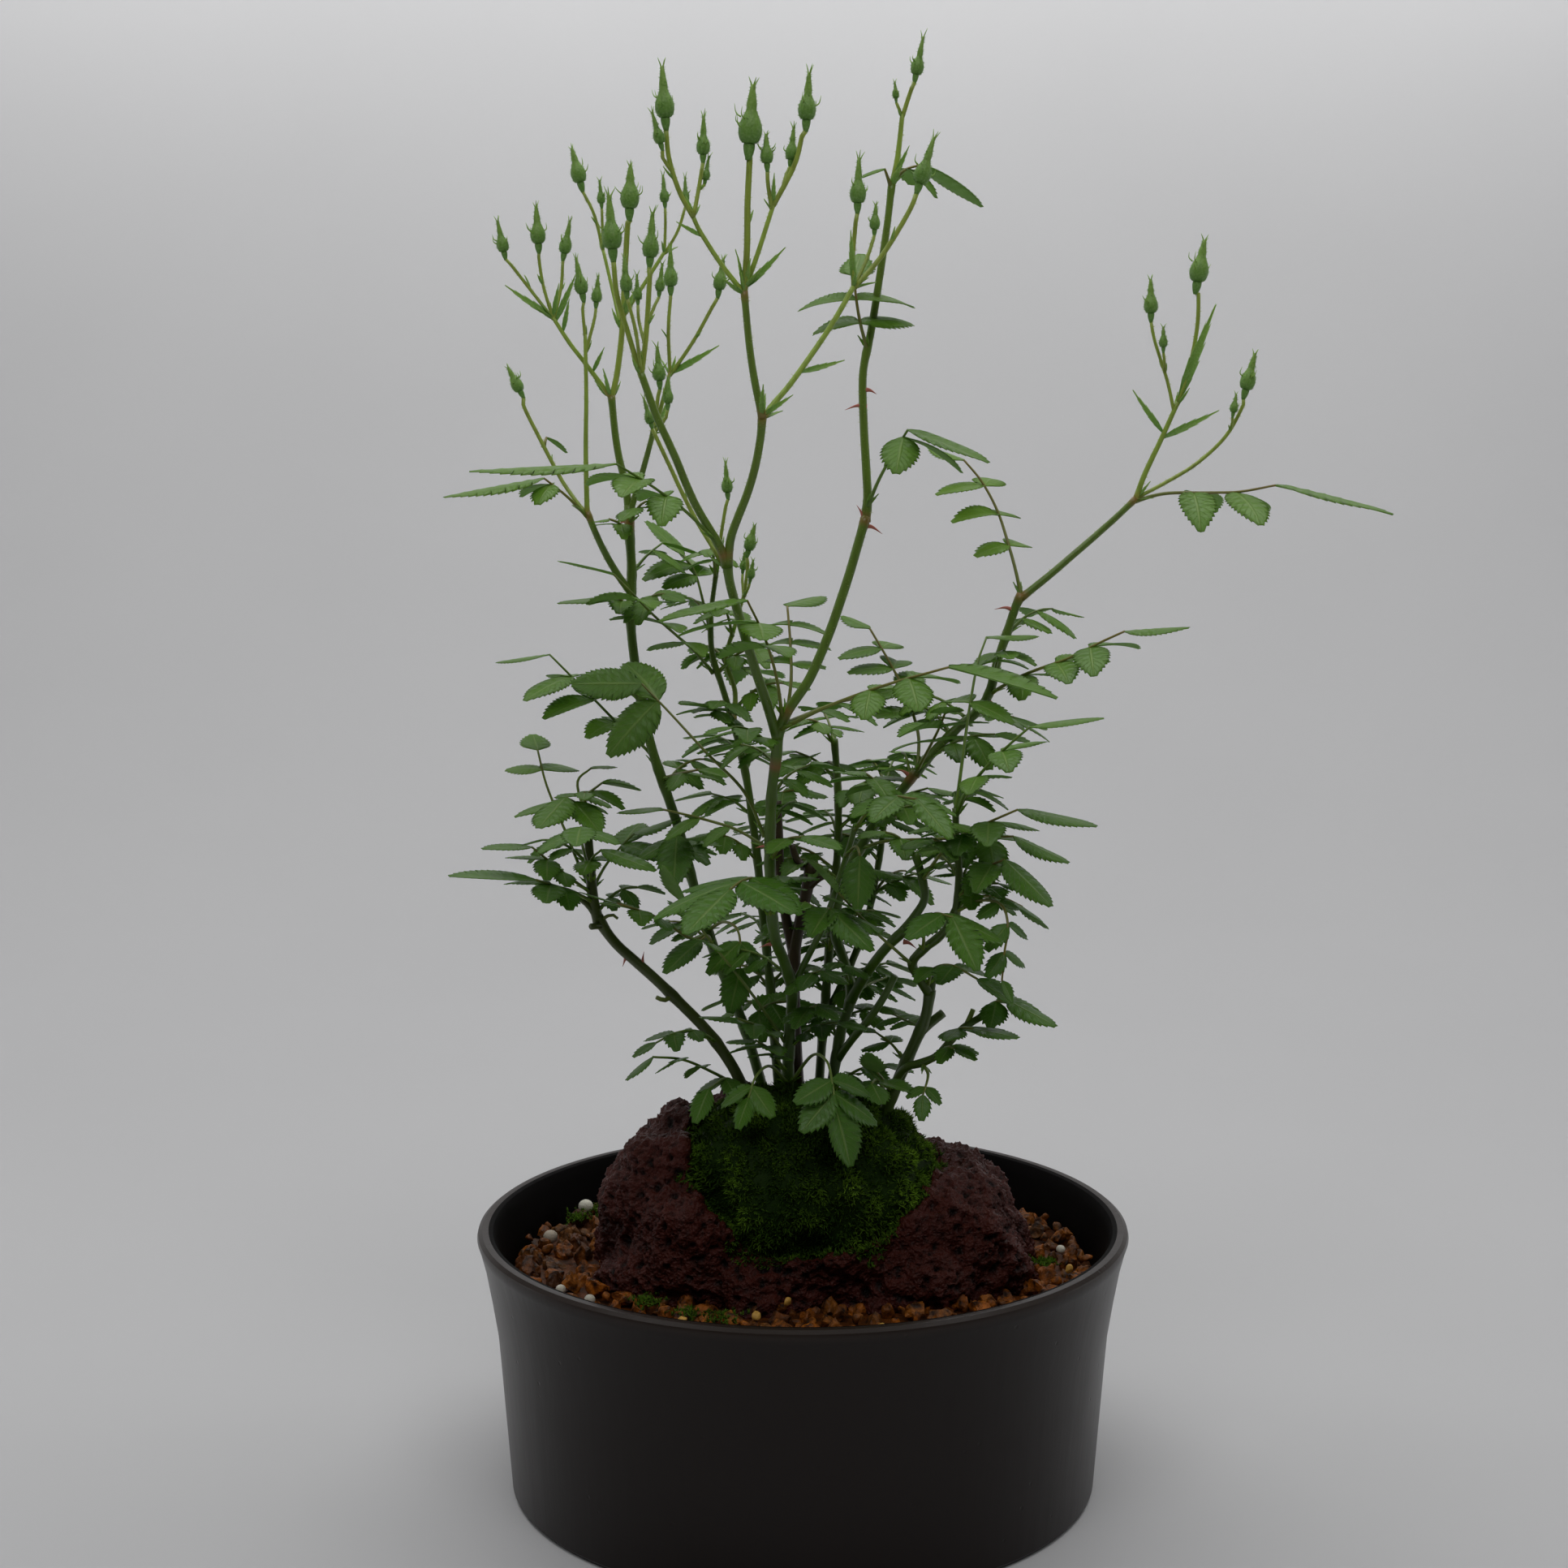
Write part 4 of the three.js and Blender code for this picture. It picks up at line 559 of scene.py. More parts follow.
# The painted pit shade read from the tint: low in the pits, high on the crests.
height = add_node(
    scoria, "ShaderNodeSeparateColor",
    {0: add_node(scoria, "ShaderNodeAttribute", attribute_name="tint")["Color"]},
)[0]
patch = add_node(scoria, "ShaderNodeTexNoise", {"Vector": place, "Scale": 1 / (14 * MM), "Detail": 4})[0]
stone = add_node(
    scoria, "ShaderNodeMix", {0: patch, 6: colour("#34100A"), 7: colour("#56241A")}, data_type="RGBA"
)[2]
shaded = add_node(
    scoria, "ShaderNodeMix", {0: height, 6: colour("#120604"), 7: stone}, data_type="RGBA"
)[2]
pores = add_node(scoria, "ShaderNodeTexVoronoi", {"Vector": place, "Scale": 1 / (1.1 * MM)})["Distance"]
grit = add_node(scoria, "ShaderNodeTexNoise", {"Vector": place, "Scale": 1 / (0.6 * MM), "Detail": 5})[0]
both = add_node(scoria, "ShaderNodeMath", {0: pores, 1: grit}, operation="ADD")[0]
bump = add_node(scoria, "ShaderNodeBump", {"Height": both, "Strength": 1.0, "Distance": 0.6 * MM})[0]
surface(scoria, base_color=shaded, roughness=0.42, ior=1.4, specular_ior_level=0.3, normal=bump)
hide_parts("lava_rock")
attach(rock, "root")

# Moss: a deep cushion moss over the root ball, with small tufts of it on the soil. Each shoot is a few
# narrow leaves,
# 1 to 2.3 mm long, bright at the tips and darkened down in the cushion by painted shade.
SHOOTS = 16500
SHOOT_LENGTH = 1.9
TUFT_SHOOTS = 60
TUFT_SHOOT_LENGTH = 1.3
MOSS = {
    "centre": (1, -11, 87), "half": (33, 31, 27), "under": 21, "fall": 3, "power": 2.3,
    "relief": 1.3, "waves": (11, 20), "seed": 57,
}
moss_leaf = new_finish("cushion_moss")
tint = add_node(moss_leaf, "ShaderNodeAttribute", attribute_name="tint")["Color"]
kind = add_node(moss_leaf, "ShaderNodeSeparateColor", {0: tint})
fresh = add_node(
    moss_leaf, "ShaderNodeMix", {0: kind[1], 6: colour("#305C0E"), 7: colour("#90BC34")}, data_type="RGBA"
)[2]
deep = add_node(
    moss_leaf, "ShaderNodeMix", {0: kind[0], 6: colour("#0C1A05"), 7: fresh}, data_type="RGBA"
)[2]
surface(moss_leaf, base_color=deep, roughness=0.6, ior=1.4, specular_ior_level=0.12)


def moss_shoots(pile, roots, normals, draw_numbers, length, light):
    """Four narrow leaves to a shoot, splayed about the way that it grows, paler in more light."""
    blades = 4
    light = np.repeat(np.broadcast_to(light, len(roots)), blades * 4)
    count = len(roots) * blades
    root = np.repeat(roots, blades, 0)
    lean = draw_numbers.normal(0, 0.8, (count, 3)) + np.repeat(normals, blades, 0)
    lean += np.repeat(draw_numbers.normal(0, 0.3, (len(roots), 3)), blades, 0)
    lean /= np.linalg.norm(lean, axis=1)[:, None]
    side = np.cross(lean, draw_numbers.normal(0, 1, (count, 3)))
    side /= np.linalg.norm(side, axis=1)[:, None]
    other = np.cross(lean, side)
    long = (length * draw_numbers.uniform(0.6, 1.2, count))[:, None]
    wide = draw_numbers.uniform(0.22, 0.38, count)[:, None]
    points = np.stack(
        [root + side * wide, root - side * wide, root + other * wide * 0.5 + lean * long * 0.3,
         root + lean * long], 1,
    ).reshape(-1, 3)
    corner = np.arange(count)[:, None] * 4
    faces = np.concatenate([corner + np.array(f) for f in ([0, 1, 3], [1, 2, 3], [2, 0, 3])])
    kind = 0.5 * np.repeat(draw_numbers.uniform(0, 1, len(roots)), blades * 4) + 0.5 * light
    tip = np.tile([0.1, 0.1, 0.4, 1], count) * (0.4 + 0.6 * light)
    pile.add(points, [(faces, 0, False)], np.stack([tip, kind, kind * 0, kind * 0 + 1], 1))


moss = Pile()
numbers = np.random.default_rng(57)
base, base_faces = ball(4)
headings = base / np.linalg.norm(base, axis=1)[:, None]


def moss_surface(headings, spare):
    """The cushions of the root ball in each heading."""
    spots = headings * (lump(MOSS, headings) + spare)[:, None] + np.array(MOSS["centre"])
    swell = np.array([0.5 - noise.voronoi(Vector(s) / 8)[0][0] for s in spots])
    return spots + headings * (6.4 * swell + 0.3)[:, None], swell


spots, swell = moss_surface(headings, -1.3)
# The cushion under the shoots is near black: painted shade down between them.
moss.add(spots, [(base_faces, 0, True)], (0.1, 0.2, 0, 1))
step = np.arange(SHOOTS) + 0.5
lift = 1 - 2 * step / SHOOTS
swing = step * math.pi * (3 - math.sqrt(5))
across = np.sqrt(1 - lift * lift)
headings = np.stack([across * np.cos(swing), across * np.sin(swing), lift], 1)
headings += numbers.normal(0, 0.012, headings.shape)
headings /= np.linalg.norm(headings, axis=1)[:, None]
roots, swell = moss_surface(headings, -1.5)
in_hollow = (((roots - HOLLOW_CENTRE) / np.array(HOLLOW_HALF)) ** 2).sum(1) < 1
clear = (~inside(ROCK, roots, -1) | in_hollow) & (roots[:, 2] > 64)
normals = headings / np.array([1.3, 1, 1])
normals /= np.linalg.norm(normals, axis=1)[:, None]
# Painted light and shade: shoots on the tops of the cushions and towards the right are paler, those in the
# hollows darker.
lit = np.clip(0.3 + 1.6 * swell + 0.25 * headings[:, 0], 0, 1)
moss_shoots(moss, roots[clear], normals[clear], numbers, SHOOT_LENGTH, lit[clear])
away = rock_skin - np.array(MOSS["centre"], float)
far = np.linalg.norm(away, axis=1)
gap = far - lump(MOSS, away / far[:, None])
reach = np.array([noise.fractal(Vector(s) / 13, 0.9, 2.1, 3) for s in rock_skin])
creeping = (gap < 3.5 + 5 * reach) & (rock_skin[:, 2] > 68)
creeping &= numbers.uniform(0, 1, len(rock_skin)) < 0.3
moss_shoots(moss, rock_skin[creeping], rock_normals[creeping], numbers, SHOOT_LENGTH, 0.4)
# Tufts on the soil, as across, away and width.
TUFTS = [
    (-41, -40, 6), (-30, -50, 5), (-21, -53, 7), (66, -9, 6), (-60, 38, 8), (-66, 32, 5),
    (-48, -22, 4),
]
for x, y, width in TUFTS:
    around = numbers.normal(0, width / 2.6, (TUFT_SHOOTS, 2))
    roots = np.array([[x + a, y + b, SOIL_HEIGHT + 0.4] for a, b in around])
    up = np.tile([0.0, 0.0, 1.0], (len(roots), 1))
    moss_shoots(moss, roots, up, numbers, TUFT_SHOOT_LENGTH, 0.5)
moss_piece = moss.piece("moss_cushions", [moss_leaf])
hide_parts("moss_root_ball")
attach(moss_piece, "root")

# Canes: the living rose, grown in seven canes about some old wood. Each place is read across and
# up in the plane of the pot's axis, seen from the front, with its depth behind that plane, in
# millimetres. A stem is listed as its first and last radius and its places, and a leaf as its
# pairs of leaflets, their length, the bare share of its rib, its roll and its places. A bud is
# listed as its width, the radius of its stalk and its places.

# Old dark trunks, pruned back, in the middle of the root ball.
old_wood = {
  "stems": [
    [2.05, 1.52, [-1, 102, 4], [-2, 120, 3], [-2.6, 140, 2], [-2.2, 150, 3], [-0.5, 159, 4],
      [1.2, 167, 5], [2.3, 174, 6]],
    [1.47, 1.19, [-2.3, 147, 3], [-4.5, 158, 5], [-6.2, 170, 8], [-6.6, 182, 10], [-7, 191, 11]],
    [1.19, 1.06, [1.3, 167, 5], [4, 169.5, 3.5], [6, 170.5, 3]],
    [1.13, 0.9, [2, 172, 6], [-1.5, 174.5, 8], [-3, 179, 9]],
  ],
  "buds": [],
  "leaves": [],
  "climbing": [],
  "thorns": [],
}

# The front cane forks at half height, and each fork ends in a spray of buds.
front_cane = {
  "stems": [
    [1.6, 1.35, [-4, 102, -6], [-4.2, 114, -7], [-3.6, 127, -9], [-3, 138, -12], [-5, 146, -15],
      [-7.6, 153, -19], [-8.8, 164, -23], [-9, 180, -28], [-8.4, 194, -32], [-7.2, 203, -35],
      [-6.8, 210, -37]],
    [1.3, 1.16, [-6.9, 208, -37], [-9.6, 217, -39], [-12.6, 226, -42], [-14.8, 233, -44],
      [-17.4, 242, -47], [-19.6, 250, -49], [-20.4, 256, -50]],
    [1.13, 0.99, [-20.2, 254.5, -50], [-19.4, 262, -51], [-17.3, 268, -52], [-14.9, 274, -53],
      [-12.8, 281, -54], [-11.3, 289, -55], [-10.8, 295, -56]],
    [0.99, 0.85, [-10.8, 294, -56], [-12.8, 303.5, -57], [-14.2, 312.7, -58], [-15.1, 321.9, -59],
      [-15.6, 327.5, -59.5]],
    [0.75, 0.65, [-10.9, 293.7, -56], [-7.7, 298, -55], [-3, 303.5, -53.5], [4.9, 314.5, -51],
      [9.1, 321, -50], [13.5, 328.7, -48.5]],
    [0.65, 0.55, [-15.4, 326.5, -59.5], [-21.6, 334.3, -61], [-27.2, 342.9, -62],
      [-29.1, 347, -62.5]],
    [0.65, 0.55, [-15.4, 328, -59.7], [-12.3, 336.1, -60], [-7.7, 350, -60]],
    [1.3, 1.19, [-6.9, 208, -37], [-5, 214, -37.5], [-1.4, 219.5, -37.5], [1.6, 224, -37],
      [4.6, 230.5, -36], [7.6, 238, -35], [10, 245, -34], [12.6, 253, -33], [15.2, 262, -32],
      [16.9, 268, -31]],
    [1.16, 0.9, [16.8, 266.5, -31], [17.3, 273, -30.5], [16.9, 281, -30], [16.2, 293, -29.3],
      [16, 306, -28.5], [18.1, 317, -27.7], [20.3, 331, -27], [22.3, 345, -26.5],
      [23.4, 355, -26]],
    [0.8, 0.6, [23.3, 354, -26], [24.9, 362, -26], [26.1, 373, -25.5]],
    [1.06, 0.9, [-20.6, 254.5, -50], [-22.4, 260, -51.5], [-28.2, 270, -55], [-31.2, 276.5, -57],
      [-33.8, 283, -58.5], [-36.5, 289, -60], [-39.2, 295, -61], [-43.1, 306, -62.5]],
    [0.99, 0.7, [-3, 138, -12], [0, 145, -13], [3, 151, -15], [5.6, 156.5, -17], [8.2, 164, -19],
      [10.3, 171, -21], [12.6, 178, -22], [14.4, 184.5, -23]],
  ],
  "buds": [
    [6.3, 0.72, [-15.6, 326.5, -59.5], [-14.8, 338, -60.5], [-14.6, 350, -61.3],
      [-14, 362, -62.2], [-13.8, 369.5, -62.5], [-12.9, 383, -62.5]],
    [5.1, 0.55, [-28.9, 346.5, -62.5], [-32.5, 353, -63], [-35.2, 361.5, -63.8],
      [-36.3, 375.4, -64.5], [-37, 387.5, -64.5]],
    [3.0, 0.4, [-34.6, 358.5, -63.5], [-37, 362, -65], [-37.9, 367.4, -66], [-40, 375, -66.5]],
    [3.6, 0.45, [-28.9, 346.5, -62.5], [-27.6, 353, -61], [-26.2, 365, -60], [-26, 374.5, -60]],
    [2.2, 0.35, [-27.5, 353.5, -61], [-25.5, 357.5, -59], [-24.5, 363.5, -58.5]],
    [3.4, 0.45, [-8.2, 348.5, -60], [-9.2, 355, -61.3], [-9.5, 362.6, -62], [-9.7, 369, -62]],
    [4.7, 0.55, [-7.8, 349.5, -60], [-2.2, 360, -59], [-0.1, 368, -59], [1.1, 374.6, -59],
      [1.8, 385.8, -59]],
    [3.2, 0.4, [-5.4, 353.8, -59.5], [-4.2, 358, -58], [-3, 363.4, -57.5], [-2.2, 371.5, -57.5]],
    [4.3, 0.5, [13.4, 328, -48.5], [13.2, 336, -48.7], [14, 346, -49], [14.5, 353, -49],
      [14.8, 363.8, -49]],
    [2.8, 0.4, [13.6, 328.4, -48.5], [17, 336, -46], [19, 345.2, -44.5], [19.3, 351, -44.5]],
    [4.5, 0.55, [13.7, 328.2, -48.5], [21.2, 337, -46.5], [28, 348, -45.5], [31.6, 358, -45],
      [35.2, 369.4, -45]],
    [3.4, 0.5, [26, 372, -25.5], [28.4, 379.3, -25], [30, 385.2, -24.8], [31.8, 394.6, -24.5]],
    [1.8, 0.35, [26, 372.3, -25.5], [24.5, 376, -26.2], [24.3, 378.2, -26.5], [24, 382, -26.5]],
    [5.3, 0.6, [-43, 305, -62.5], [-46.6, 317, -63.5], [-49.2, 326, -64], [-50.5, 341.8, -64],
      [-51.3, 354.8, -64]],
    [4.4, 0.6, [-43, 305, -62.5], [-41.6, 316, -61.5], [-40.6, 330, -60.7], [-40.2, 339, -60.5],
      [-39.5, 350, -60.5]],
    [3.3, 0.4, [-43, 306, -62.5], [-44.4, 317, -66], [-46.8, 329.5, -67.5], [-47.3, 337.5, -68]],
    [2.4, 0.35, [-41.9, 313, -61.7], [-43.5, 319.5, -59], [-43.8, 326.7, -58.6],
      [-44, 333, -58.6]],
    [2.6, 0.35, [-41.2, 319, -61.3], [-39.3, 323.5, -59], [-37.8, 329, -58.5],
      [-37, 336, -58.5]],
    [2.6, 0.5, [-21.2, 254.5, -49.8], [-24.7, 260.5, -47.4], [-28.6, 267, -45.7],
      [-32.2, 274, -44.6], [-35.2, 280.5, -44], [-38, 286.5, -43.5], [-41, 294.3, -43],
      [-42.8, 300.8, -43]],
  ],
  "leaves": [
    [2, 16, 0.55, 0, [-23, 261, -52], [-31, 269, -58], [-40, 275.8, -64], [-50, 282, -69],
      [-91, 282, -73]],
    [1, 15, 0.9, 0, [17.1, 270, -31], [20.2, 277.5, -35], [24, 284.5, -40], [28, 291, -46],
      [51, 283, -54]],
    [2, 15, 0.4, 0, [17.3, 311.5, -28], [15.5, 317.8, -31], [14.3, 324, -33], [13.4, 331.5, -32],
      [15.5, 338, -20]],
    [1, 10, 0.6, 0, [23.3, 354.5, -26], [26.5, 358.5, -24], [31, 360, -21], [48.4, 349.6, -14]],
    [0, 8, 0.6, 0, [23.3, 354, -26], [21.5, 359, -29], [15.4, 357, -32]],
    [2, 17, 0.6, 0.1, [-5.6, 214, -38], [-7.2, 225, -46], [-10.5, 236, -55], [-15, 245.5, -63],
      [-39.8, 240.8, -70]],
    [3, 10, 0.46, 0, [-4.4, 214, -37], [-3.2, 224, -34], [-3.4, 234, -30], [-4.2, 244, -24],
      [6, 247.5, -12]],
    [2, 16, 0.58, 0, [-6, 210.5, -38], [6, 216.5, -47], [22, 222.5, -56], [39.5, 227.5, -63],
      [70.5, 220, -69]],
    [2, 10, 0.5, 0, [-5.4, 212, -36], [3, 215.5, -27], [9, 217.8, -20], [14, 218.8, -15],
      [24.4, 215.6, -9]],
    [2, 14, 0.6, 0, [14.2, 183, -23], [18, 188.5, -32], [24, 192, -42], [31, 191.5, -50],
      [41, 180.5, -60]],
    [1, 13, 0.86, 0, [5.6, 156, -17], [6.5, 161, -25], [7.5, 161, -33], [20, 149.5, -42]],
    [2, 21, 0.66, 0, [-8.6, 158, -21], [-10, 166, -30], [-13, 169.5, -40], [-16.5, 169, -49],
      [-20, 166.5, -57], [-33, 154.5, -75]],
    [0, 12, 0.6, 0, [11.9, 176, -22], [14.5, 178.5, -27], [15.6, 175.8, -32],
      [15, 160.3, -37]],
    [1, 10, 0.66, 0, [-9, 174, -26], [-5, 180, -35], [0, 181.2, -44], [10.6, 178, -53]],
    [1, 17, 0.88, -0.75, [-10.4, 181, -28], [-16, 193.5, -26], [-26, 204, -23], [-36, 215, -19],
      [-43.6, 223, -16], [-63.5, 223.5, -19]],
    [2, 9, 0.4, 0, [-9.6, 178, -28], [-18, 183, -20], [-28, 186.2, -11], [-38, 188.6, -6],
      [-51, 188.4, -2]],
    [2, 10, 0.7, 0, [-5, 124, -9], [-14.5, 138, -12], [-26, 153, -14], [-33, 163, -17],
      [-37.5, 174, -23]],
    [2, 9.5, 0.5, 0.1, [-4.4, 120, -8], [-10, 127, -15], [-18, 130.5, -22], [-28.5, 131.3, -27]],
    [2, 9, 0.5, 0.1, [-4.4, 115, -7.5], [-9, 121.5, -15], [-13, 124.3, -20], [-21, 124, -26]],
    [2, 9, 0.5, 0, [-3, 129, -9.5], [1, 133, -15], [4, 134, -19], [10, 130.5, -26]],
    [2, 9, 0.5, 0, [-2.8, 137, -12], [1.5, 142.5, -17], [5, 143.8, -21], [12.4, 140.5, -27]],
    [2, 13, 0.84, 0, [-3.6, 112, -8], [2.5, 120, -20], [6.5, 118.5, -32], [8, 113, -39],
      [9, 105.5, -43], [13.8, 87.5, -46]],
    [1, 9, 0.9, 0, [-4.2, 112, -8], [-9, 117, -20], [-13, 114, -32], [-15, 108, -38],
      [-18.5, 98.8, -41]],
    [2, 9, 0.4, 0, [-7.5, 201, -34], [-12, 205, -30], [-17, 206.5, -26], [-27, 203.5, -22]],
    [2, 9, 0.4, 0, [-8.6, 192, -31], [-4, 198, -26], [2, 201, -21], [12, 199.5, -16]],
  ],
  "climbing": [[0, 122, 204, 5, 9]],
  "thorns": [
    [[-7.3, 151, -18], [-12, 150.3, -19]],
    [[-9, 178, -27.5], [-13, 178, -28]],
    [[17, 297, -29], [11.2, 296.2, -29.3]],
    [[16.4, 301.5, -28.8], [19.6, 300.4, -28.8]],
    [[16.4, 265.5, -31.2], [21.3, 263.3, -31]],
    [[16.6, 266.5, -31.2], [14.4, 271, -31.4]],
  ],
}

# The left cane ends in two sprays of buds, and a side stem carries two more.
left_cane = {
  "stems": [
    [1.47, 1.25, [-9, 102, 6], [-12, 114, 6.5], [-15.5, 126, 8], [-19.5, 137, 9],
      [-23.5, 147, 10], [-27, 158, 11], [-30.5, 170, 12], [-33.5, 182, 13], [-37, 193, 14],
      [-40.3, 203, 15], [-43, 214, 16], [-45.3, 228, 17], [-46.4, 240, 18], [-46, 252, 18],
      [-46.4, 262, 18], [-46.6, 271, 18]],
    [1.09, 0.95, [-46.6, 269.5, 18], [-47.6, 277, 18], [-49.2, 284, 18], [-50.2, 291, 18],
      [-51, 300, 18]],
    [0.95, 0.7, [-46.6, 268.5, 18], [-43.9, 276.5, 16], [-41, 286.5, 13], [-39.6, 292, 12]],
    [0.7, 0.55, [-51.1, 299.5, 18], [-57.5, 308, 16], [-62, 313.8, 15], [-66.3, 320.5, 14]],
    [1.06, 0.85, [-46.2, 247.5, 18], [-49.5, 252, 16], [-53, 258, 14], [-55.8, 264, 12.5],
      [-57.8, 269.3, 12]],
    [0.75, 0.5, [-57.8, 268, 12], [-58, 285, 12], [-57.7, 300, 12], [-57.8, 316, 12]],
    [0.65, 0.5, [-39.7, 291, 12], [-37.8, 297, 14], [-35.3, 306.3, 15]],
    [0.6, 0.5, [-47.6, 321, 19.3], [-42.8, 328, 20], [-36.4, 337.8, 21]],
    [0.55, 0.45, [-48, 317, 19], [-50.5, 328, 22], [-52.8, 338, 24]],
  ],
  "buds": [
    [5.0, 0.75, [-51, 299, 18], [-49.4, 306, 18.5], [-48, 317, 19], [-47.1, 332, 20],
      [-46.2, 345, 20], [-45.6, 352, 20], [-45.3, 361.5, 20]],
    [3.2, 0.4, [-66.2, 320, 14], [-72, 327.5, 14], [-77.3, 334.3, 13], [-79.4, 339.6, 13],
      [-80.9, 347, 13]],
    [4.0, 0.4, [-66.2, 320, 14], [-68.8, 329, 14.6], [-69.9, 337, 15], [-70, 342.3, 15],
      [-70.4, 350.8, 15]],
    [3.3, 0.4, [-66, 320, 14], [-64, 328.5, 16.5], [-62.7, 339.3, 17.5], [-61.2, 347, 17.5]],
    [4.0, 0.4, [-52.7, 337.5, 24], [-55, 347, 25.3], [-59.2, 358, 26], [-61, 365.4, 26]],
    [2.2, 0.35, [-52.8, 338, 24], [-53.2, 351.5, 22], [-53.6, 357.3, 22]],
    [3.5, 0.5, [-39.6, 291, 12], [-38.7, 299, 10.7], [-38.3, 306.2, 10], [-38.8, 314.6, 10]],
    [2.8, 0.4, [-39.8, 290, 12], [-36.6, 294, 8.5], [-35.9, 299.8, 8], [-35.7, 306, 8]],
    [3.7, 0.45, [-35.3, 305.3, 15], [-35.7, 317, 15.4], [-35, 331, 16], [-35, 340.3, 16]],
    [3.5, 0.45, [-35.3, 305.3, 15], [-29, 314.4, 13], [-24.4, 322.5, 12.3], [-21.9, 330, 12],
      [-20.8, 337.3, 12]],
    [2.5, 0.35, [-36.6, 337, 21], [-36.3, 344, 21], [-36.5, 352, 21], [-36.9, 358.8, 21]],
    [2.2, 0.35, [-36.6, 337, 21], [-33, 343, 21], [-31, 352, 21], [-31, 358.3, 21]],
    [3.6, 0.4, [-57.8, 315, 12], [-58.4, 323, 12], [-58.8, 329, 12], [-60.2, 337.3, 12]],
    [2.8, 0.4, [-57.8, 311, 12], [-55.3, 320, 14], [-54.6, 326.3, 14.5], [-54.1, 332.3, 14.5]],
    [3.2, 0.5, [-58, 268.5, 12], [-62, 273.8, 14.3], [-65, 278.5, 15.5], [-70.3, 288.8, 17],
      [-74.3, 297, 18], [-76.2, 303, 18], [-78.9, 308.3, 18]],
  ],
  "leaves": [
    [3, 14, 0.4, 0, [-39.6, 199.5, 15], [-42, 204.5, 16], [-50, 212, 17.5], [-58, 220.3, 19],
      [-68.5, 231, 21], [-83.4, 229.6, 26]],
    [1, 9, 0.72, 0, [-46.2, 252.5, 18], [-42, 257.5, 23], [-37.6, 261, 28], [-27.4, 258, 35]],
    [1, 8, 0.6, 0, [-46.4, 241, 18], [-48.5, 245.3, 14], [-51, 246.3, 10], [-66.6, 245.4, 3]],
    [1, 10, 0.82, 0, [-57.8, 268, 12], [-63.5, 273.6, 9], [-69.3, 278.2, 6], [-97.6, 274.3, -2]],
    [0, 7, 0.6, 0, [-69.3, 286.5, 16.8], [-68.4, 289, 19], [-62.8, 285, 22]],
    [1, 8, 0.6, 0, [-38.4, 197, 14.5], [-33, 198.6, 7], [-28, 199.6, 1], [-20.5, 197.8, -6]],
    [1, 11, 0.75, 0, [-30.8, 171, 12], [-34, 179, 4], [-34.4, 181.5, -4], [-35.5, 167, -17]],
    [2, 9, 0.6, 0, [-26, 154, 10.8], [-31, 153, 2], [-40, 158.8, -7], [-51, 162.8, -16],
      [-61, 166.5, -22]],
    [0, 12, 0.6, 0, [-25.2, 151.5, 10.4], [-26, 153.6, 3], [-28, 152.5, -3],
      [-38.7, 143.2, -12]],
    [1, 9, 0.76, 0, [-26.3, 155, 10.8], [-21.5, 157.5, 2], [-17.6, 154.5, -5], [-17.2, 144.5, -9],
      [-20.3, 131.5, -14]],
    [1, 7, 0.6, 0, [-46.5, 262, 18], [-49, 266, 13], [-52, 267.3, 10], [-56, 266.8, 6]],
    [1, 9, 0.6, 0, [-46.5, 266, 18], [-44, 270.5, 12], [-42, 272, 8], [-36.8, 271.5, 2]],
  ],
  "climbing": [[0, 128, 240, 6, 9]],
  "thorns": [
    [[-37.4, 194.5, 14.2], [-33.6, 194.9, 14]],
    [[-46.4, 266.5, 18], [-49.8, 265.9, 18]],
  ],
}

